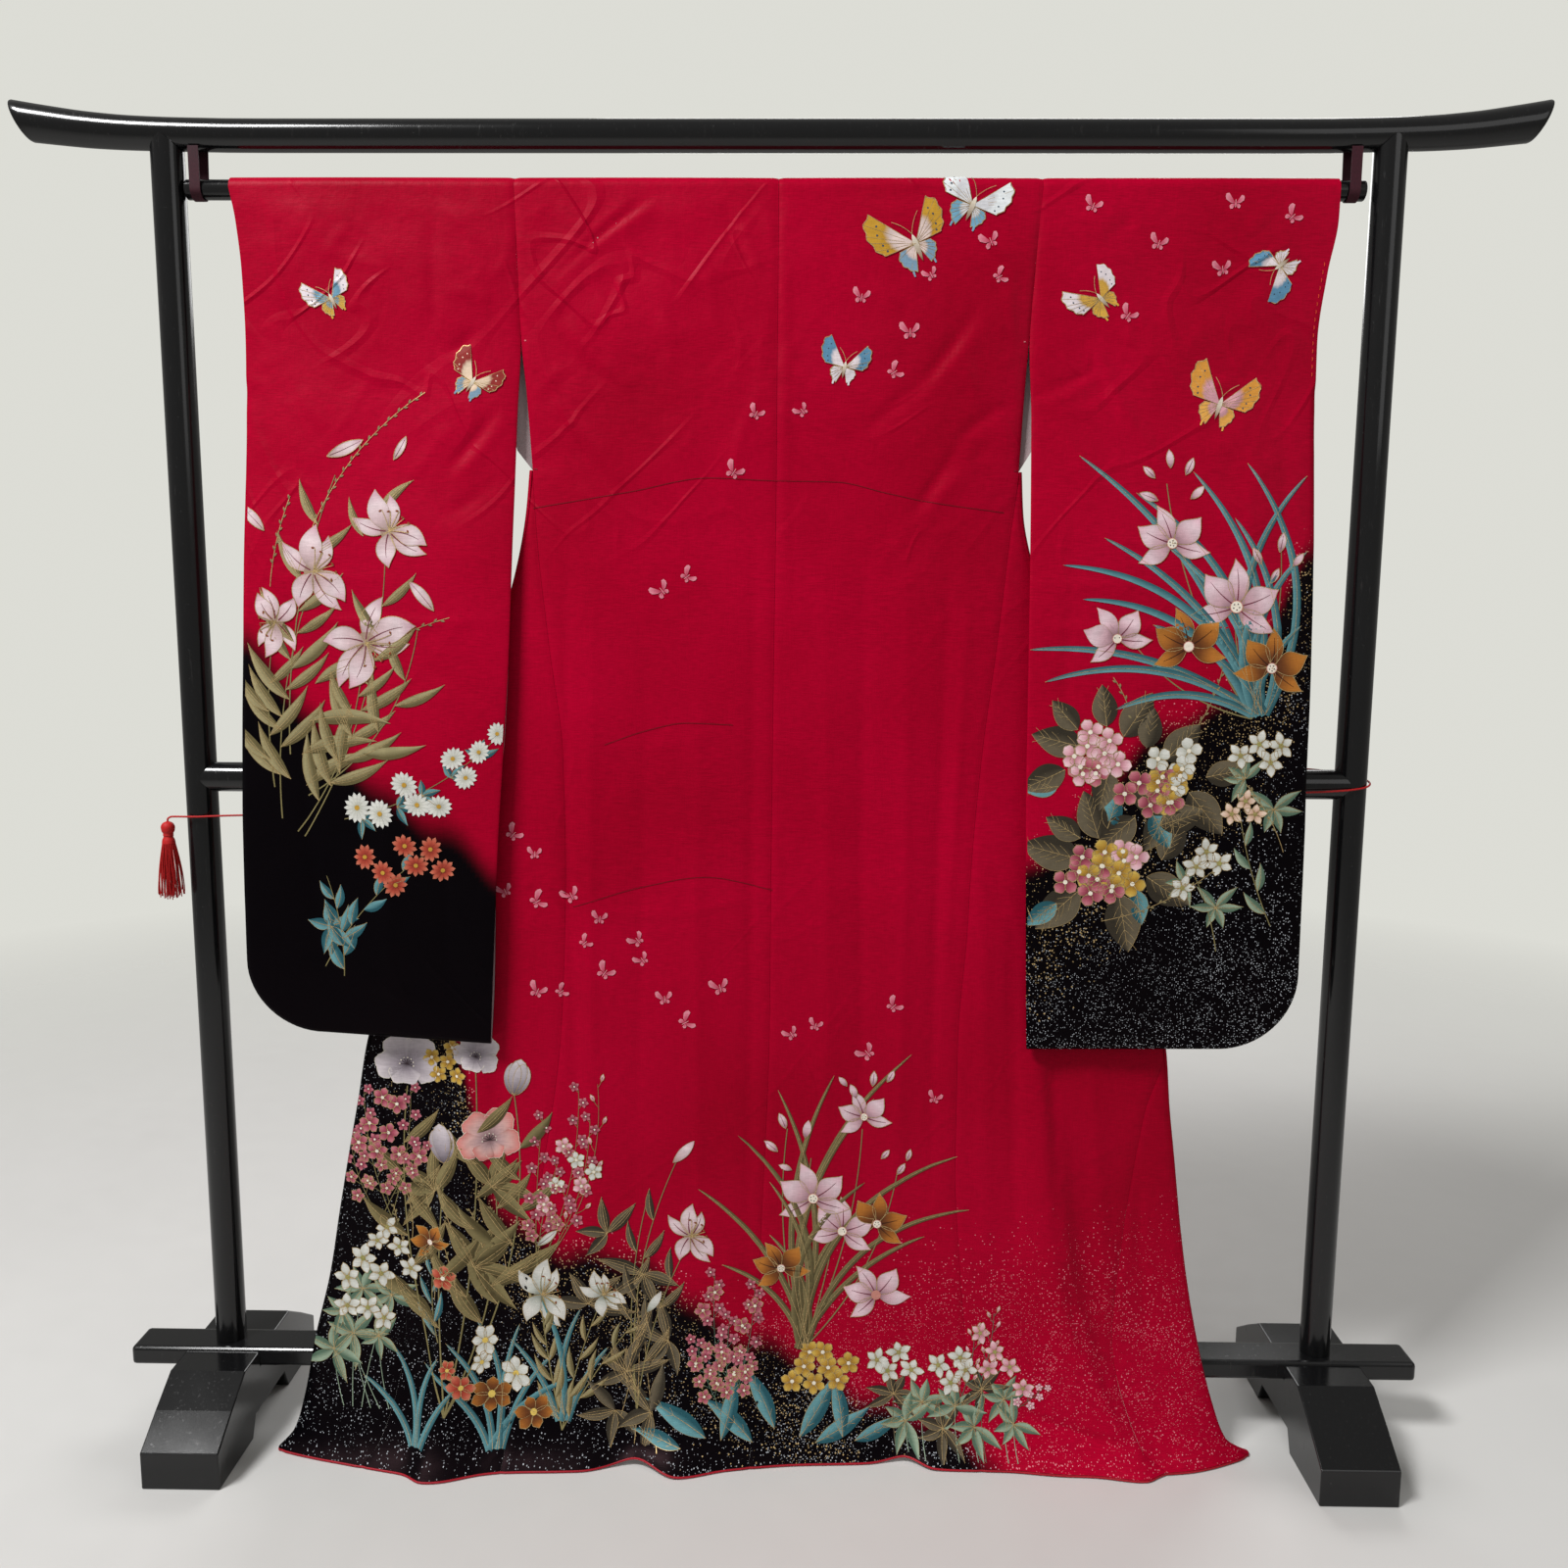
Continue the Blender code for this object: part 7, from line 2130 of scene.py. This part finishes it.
def middle_hem_plants(art):
    """A tangle of brown reeds, a lily, rose sprays and the tall orchid by the back seam."""
    for k in range(3):
        reed(art, (-0.200 + 0.030 * k, 0.020), 1.2 + 0.3 * k, 0.19 - 0.02 * k, 0.4 - 0.3 * k, BROWN_LEAF)
    for k, (x, z) in enumerate((
            (-0.231, 0.196), (-0.181, 0.108), (-0.206, 0.290), (-0.150, 0.060), (-0.128, 0.150),
            (-0.196, 0.060), (-0.160, 0.236))):
        whorl(art, x, z, 0.064 - 0.005 * (k % 3), 4, 1.4 + 0.5 * k, 3.4, BROWN_LEAF, 0.27)
    for tip, bow in (((-0.100, 0.282), 0.05), ((-0.118, 0.385), 0.07), ((-0.156, 0.330), 0.05)):
        stem(art, (-0.168, 0.060), tip, bow, leaves=5, length=0.066, slim=0.24, tones=BROWN_LEAF)
    bud(art, -0.122, 0.384, 0.040, 0.75)
    lily(art, -0.100, 0.288, 0.044, 0.5)
    for tip, bow in (
            ((-0.069, 0.236), 0.04), ((-0.018, 0.220), -0.04), ((-0.093, 0.150), 0.05),
            ((-0.030, 0.130), 0.0), ((-0.050, 0.180), 0.02)):
        spray(art, (-0.052, 0.050), tip, bow, ROSE, 9, 0.0085, SAGE[0])
    scatter(art, floret, 0.0115, 0.8, (
            (-0.069, 0.214), (-0.084, 0.190), (-0.018, 0.196), (-0.034, 0.170), (-0.093, 0.122),
            (-0.060, 0.136), (-0.030, 0.110)), ROSE)
    for x, z, size, heading in (
            (-0.079, 0.034, 0.090, 2.5), (-0.060, 0.030, 0.080, 1.2), (0.008, 0.040, 0.086, 1.9),
            (0.040, 0.030, 0.090, 0.9), (0.095, 0.030, 0.080, 1.6), (-0.020, 0.026, 0.084, 2.3),
            (0.060, 0.024, 0.084, 0.4), (0.110, 0.026, 0.070, 0.3), (-0.110, 0.026, 0.066, 2.8)):
        art.leaf((x, z), heading, size, size * 0.25, TEAL, bend=0.3, veins=4, lift=0.5)
    root = (0.044, 0.140)
    blades(art, root, (
            (0.010, 0.480), (0.176, 0.528), (0.236, 0.396), (-0.090, 0.350), (0.130, 0.470),
            (-0.040, 0.420), (0.196, 0.290), (-0.060, 0.250), (0.252, 0.326), (0.080, 0.500),
            (0.000, 0.360), (0.120, 0.360), (0.090, 0.300), (0.000, 0.290)), HEM_OLIVE, 0.008, 0.17)
    for tip, bow in (
            ((0.116, 0.430), -0.05), ((0.052, 0.392), 0.02), ((0.086, 0.330), -0.03),
            ((0.160, 0.372), -0.08), ((0.022, 0.430), 0.05)):
        stem(art, root, tip, bow, width=0.0018)
    for x, z, size, heading in (
            (0.108, 0.470, 0.020, 1.9), (0.128, 0.486, 0.020, 1.4), (0.146, 0.492, 0.018, 1.0),
            (0.096, 0.486, 0.016, 2.2), (0.010, 0.400, 0.022, 2.4), (0.020, 0.430, 0.022, 1.9),
            (0.044, 0.418, 0.024, 1.3), (0.160, 0.372, 0.018, 0.9), (0.172, 0.390, 0.016, 1.2),
            (0.028, 0.376, 0.018, 2.7), (0.140, 0.392, 0.016, 0.8)):
        bud(art, x, z, size, heading, PINK_ORCHID, 0.44)
    orchid(art, 0.118, 0.446, 0.034, 0.2)
    orchid(art, 0.055, 0.339, 0.046, 0.1)
    orchid(art, 0.092, 0.296, 0.042, -0.2)
    orchid(art, 0.136, 0.212, 0.042, 0.35)
    orchid(art, 0.015, 0.246, 0.036, 0.3, OCHRE_ORCHID)
    orchid(art, 0.136, 0.306, 0.038, -0.3, OCHRE_ORCHID)
    scatter(art, floret, 0.0150, 0.7, (
            (0.045, 0.117), (0.069, 0.136), (0.088, 0.100), (0.058, 0.096), (0.030, 0.098),
            (0.076, 0.116), (0.102, 0.122), (0.052, 0.136)), YELLOW)


def right_hem_plants(art):
    """Small white and pink stars over sage leaves, low along the right of the hem."""
    for k, (x, z, size) in enumerate((
            (0.160, 0.082, 0.040), (0.196, 0.074, 0.042), (0.238, 0.070, 0.042), (0.272, 0.092, 0.038),
            (0.300, 0.080, 0.038), (0.176, 0.048, 0.044), (0.222, 0.044, 0.044), (0.262, 0.046, 0.042),
            (0.312, 0.050, 0.036))):
        tones = SAGE if k % 3 else BROWN_LEAF
        stem(art, (x + 0.004, 0.010), (x, z), 0.03, width=0.0010, colour=tones[1])
        whorl(art, x, z, size, 6, 1.4 + 0.3 * k, 4.6, tones)
    scatter(art, star, 0.0175, 0.6, (
            (0.138, 0.126), (0.152, 0.112), (0.182, 0.114), (0.166, 0.136), (0.251, 0.116),
            (0.232, 0.100), (0.216, 0.122), (0.244, 0.132)))
    scatter(art, star, 0.0150, 0.5, (
            (0.269, 0.164), (0.288, 0.140), (0.307, 0.121), (0.324, 0.094), (0.280, 0.118)), PINK)
    spray(art, (0.262, 0.080), (0.286, 0.190), -0.05, PINK, 8, 0.0060, SAGE[0], flowers=False)
    spray(art, (0.236, 0.060), (0.262, 0.168), -0.06, PINK, 8, 0.0060, SAGE[0], flowers=False)
    spray(art, (0.300, 0.060), (0.352, 0.098), -0.05, PINK, 6, 0.0055, BROWN_LEAF[1])


def robe_front_painting():
    """A guess for the unseen side: the hem's plants carried round on to the fronts, and a few butterflies."""
    art = Painting()
    for side in (LEFT, RIGHT):
        x = side * 0.400
        places = ((-0.14, 0.20), (-0.09, 0.30), (-0.03, 0.36), (0.04, 0.34), (0.10, 0.24), (0.15, 0.14))
        blades(art, (x, 0.060), [(x + reach, 0.060 + rise) for reach, rise in places])
        for reach, rise, size in ((-0.07, 0.25, 0.046), (0.03, 0.31, 0.046), (0.08, 0.19, 0.042)):
            stem(art, (x, 0.070), (x + reach, 0.060 + rise), 0.04, leaves=6, length=0.06)
            lily(art, x + reach, 0.060 + rise, size, 1.0 + side, LILY if side == LEFT else WHITE_LILY)
        for k in range(7):
            whorl(art, x - 0.15 + 0.05 * k, 0.060 + 0.02 * (k % 2), 0.044, 6, 1.5 + k, 4.8, SAGE)
            star(art, x - 0.15 + 0.05 * k, 0.100 + 0.018 * (k % 3), 0.019, 0.7 * k)
        for k in range(8):
            floret(art, x + 0.12 * sin(3 * k), 0.140 + 0.016 * k, 0.014, k, ROSE if k % 2 else YELLOW)
        butterfly(art, side * 0.190, 1.420, 0.090, 1.4, GOLD_WINGS if side == LEFT else BLUE_WINGS, DARK_SPOT)
        for k in range(8):
            place = side * (0.17 + 0.04 * (k % 4))
            small_butterfly(art, place, 1.30 - 0.075 * k, 0.014, 1.3 + 0.8 * sin(3 * k))
    return art


def sleeve_front_painting(side):
    """A guess for the sleeve's unseen face: the same kinds of plants, lower and in another order."""
    art = Painting()
    x = side * 0.475
    if side == LEFT:
        for reach, rise, size in (
                (-0.06, 0.36, 0.050), (0.02, 0.42, 0.048), (0.07, 0.31, 0.046), (-0.10, 0.26, 0.040)):
            stem(art, (x, 0.640), (x + reach, 0.640 + rise), 0.05, leaves=8, length=0.075)
            lily(art, x + reach, 0.640 + rise, size, 1.2 + 9 * reach)
        for k in range(9):
            daisy(art, x - 0.10 + 0.025 * k, 0.700 + 0.02 * sin(2 * k), 0.018, 0.4 * k)
        butterfly(art, x, 1.330, 0.080, 1.2, RUST_WINGS, PALE_SPOT)
        return art
    places = ((-0.14, 0.22), (-0.09, 0.36), (-0.02, 0.42), (0.06, 0.38), (0.12, 0.26), (0.15, 0.12))
    blades(art, (x, 0.700), [(x + reach, 0.700 + rise) for reach, rise in places])
    for reach, rise, size in (
            (-0.05, 0.30, 0.046), (0.04, 0.36, 0.046), (0.08, 0.24, 0.042), (-0.10, 0.20, 0.040)):
        orchid(art, x + reach, 0.700 + rise, size, 3 * reach, PINK_ORCHID if rise > 0.25 else OCHRE_ORCHID)
    for k in range(14):
        floret(art, x - 0.06 + 0.045 * cos(2.4 * k), 0.690 + 0.035 * sin(2.4 * k), 0.013, k,
               PINK if k % 2 else YELLOW, 4)
    butterfly(art, x, 1.330, 0.086, 1.9, BLUE_WINGS, DARK_SPOT)
    return art


def robe_edges(z):
    return turn_line(LEFT, z) - 0.002, turn_line(RIGHT, z) + 0.002


def sleeve_edges(side, face):
    def edges(z):
        cuff, furi = cuff_line(side, z), furi_line(side, z, face)
        low, high = np.minimum(cuff, furi), np.maximum(cuff, furi)
        return low + 0.0015, high - 0.0015
    return edges


backs, fronts, okumis = ([panels[kind + word] for word in ("left", "right")]
                         for kind in ("back_", "front_", "okumi_"))
paintings = {
    "back": robe_back_painting().lay("painting_robe_back", backs + fronts + okumis, partial(body_y, NEAR),
                                     NEAR, robe_edges, HEM_HEIGHT + 0.003),
    "front": robe_front_painting().lay("painting_robe_front", fronts + okumis, partial(body_y, FAR),
                                       FAR, robe_edges, HEM_HEIGHT + 0.003),
}
for word, half, plan in (("left", LEFT, left_sleeve_painting), ("right", RIGHT, right_sleeve_painting)):
    for face, art in ((NEAR, plan()), (FAR, sleeve_front_painting(half))):
        paintings[word, face] = art.lay(
            f"painting_sleeve_{word}_{'back' if face == NEAR else 'front'}", [panels["sleeve_" + word]],
            partial(sleeve_y, half, face), face, sleeve_edges(half, face), SLEEVE_BOTTOM + 0.004)


# The collar and its cover band, put with the other panels
panels["collar"], panels["cover_collar"] = collar, cover


# Floor, light and world
def make_stage():
    nodes = Nodes("pale_floor")
    where = nodes.node("TexCoord", output="Object")
    away = nodes.node("VectorMath", {0: where}, operation="LENGTH", output="Value")
    clear = nodes.ramp(away, 1.6, 3.6)
    nodes.set(Base_Color=nodes.mix(nodes.noise(3.0, 3.0), (0.56, 0.553, 0.54, 1), (0.60, 0.592, 0.578, 1)),
              Roughness=nodes.ramp(nodes.noise(20.0), 0.3, 0.7, 0.55, 0.7))
    through = nodes.node("BsdfTransparent")
    fade = nodes.node("MixShader", {0: clear, 1: nodes.shader.outputs[0], 2: through})
    nodes.put(nodes.tree.nodes["Material Output"].inputs["Surface"], fade)
    mesh = bpy.data.meshes.new("floor")
    reach = 4.0
    corners = [(-reach, -reach, 0), (reach, -reach, 0), (reach, reach, 0), (-reach, reach, 0)]
    mesh.from_pydata(corners, [], [(0, 1, 2, 3)])
    mesh.materials.append(nodes.material)
    floor = bpy.data.objects.new("floor", mesh)
    bpy.context.collection.objects.link(floor)


def area_light(name, place, target, size, power):
    data = bpy.data.lights.new(name, "AREA")
    data.shape = "RECTANGLE"
    data.size, data.size_y = size
    data.energy = power
    light = bpy.data.objects.new(name, data)
    light.location = place
    light.rotation_euler = (Vector(target) - Vector(place)).to_track_quat("-Z", "Y").to_euler()
    bpy.context.collection.objects.link(light)


def make_light():
    world = bpy.data.worlds.new("pale_studio")
    world.use_nodes = True
    tree = world.node_tree
    sky = tree.nodes["Background"]
    sky.inputs["Color"].default_value = (0.80, 0.79, 0.75, 1)
    sky.inputs["Strength"].default_value = 0.36
    seen = tree.nodes.new("ShaderNodeBackground")
    seen.inputs["Color"].default_value = (0.72, 0.72, 0.67, 1)
    seen.inputs["Strength"].default_value = 1.0
    ray = tree.nodes.new("ShaderNodeLightPath")
    pick = tree.nodes.new("ShaderNodeMixShader")
    tree.links.new(ray.outputs["Is Camera Ray"], pick.inputs[0])
    tree.links.new(sky.outputs[0], pick.inputs[1])
    tree.links.new(seen.outputs[0], pick.inputs[2])
    tree.links.new(pick.outputs[0], tree.nodes["World Output"].inputs["Surface"])
    bpy.context.scene.world = world
    area_light("key", (-2.5, -2.2, 4.8), (0, 0, 1.0), (1.5, 0.9), 298)
    area_light("fill", (1.9, -2.2, 2.2), (0, 0, 1.1), (1.4, 1.4), 7)
    area_light("back", (0.6, 2.6, 2.6), (0, 0, 0.9), (2.4, 1.4), 40)
    view = bpy.context.scene.view_settings
    view.view_transform = "Standard"
    view.look = "None"


make_stage()
make_light()
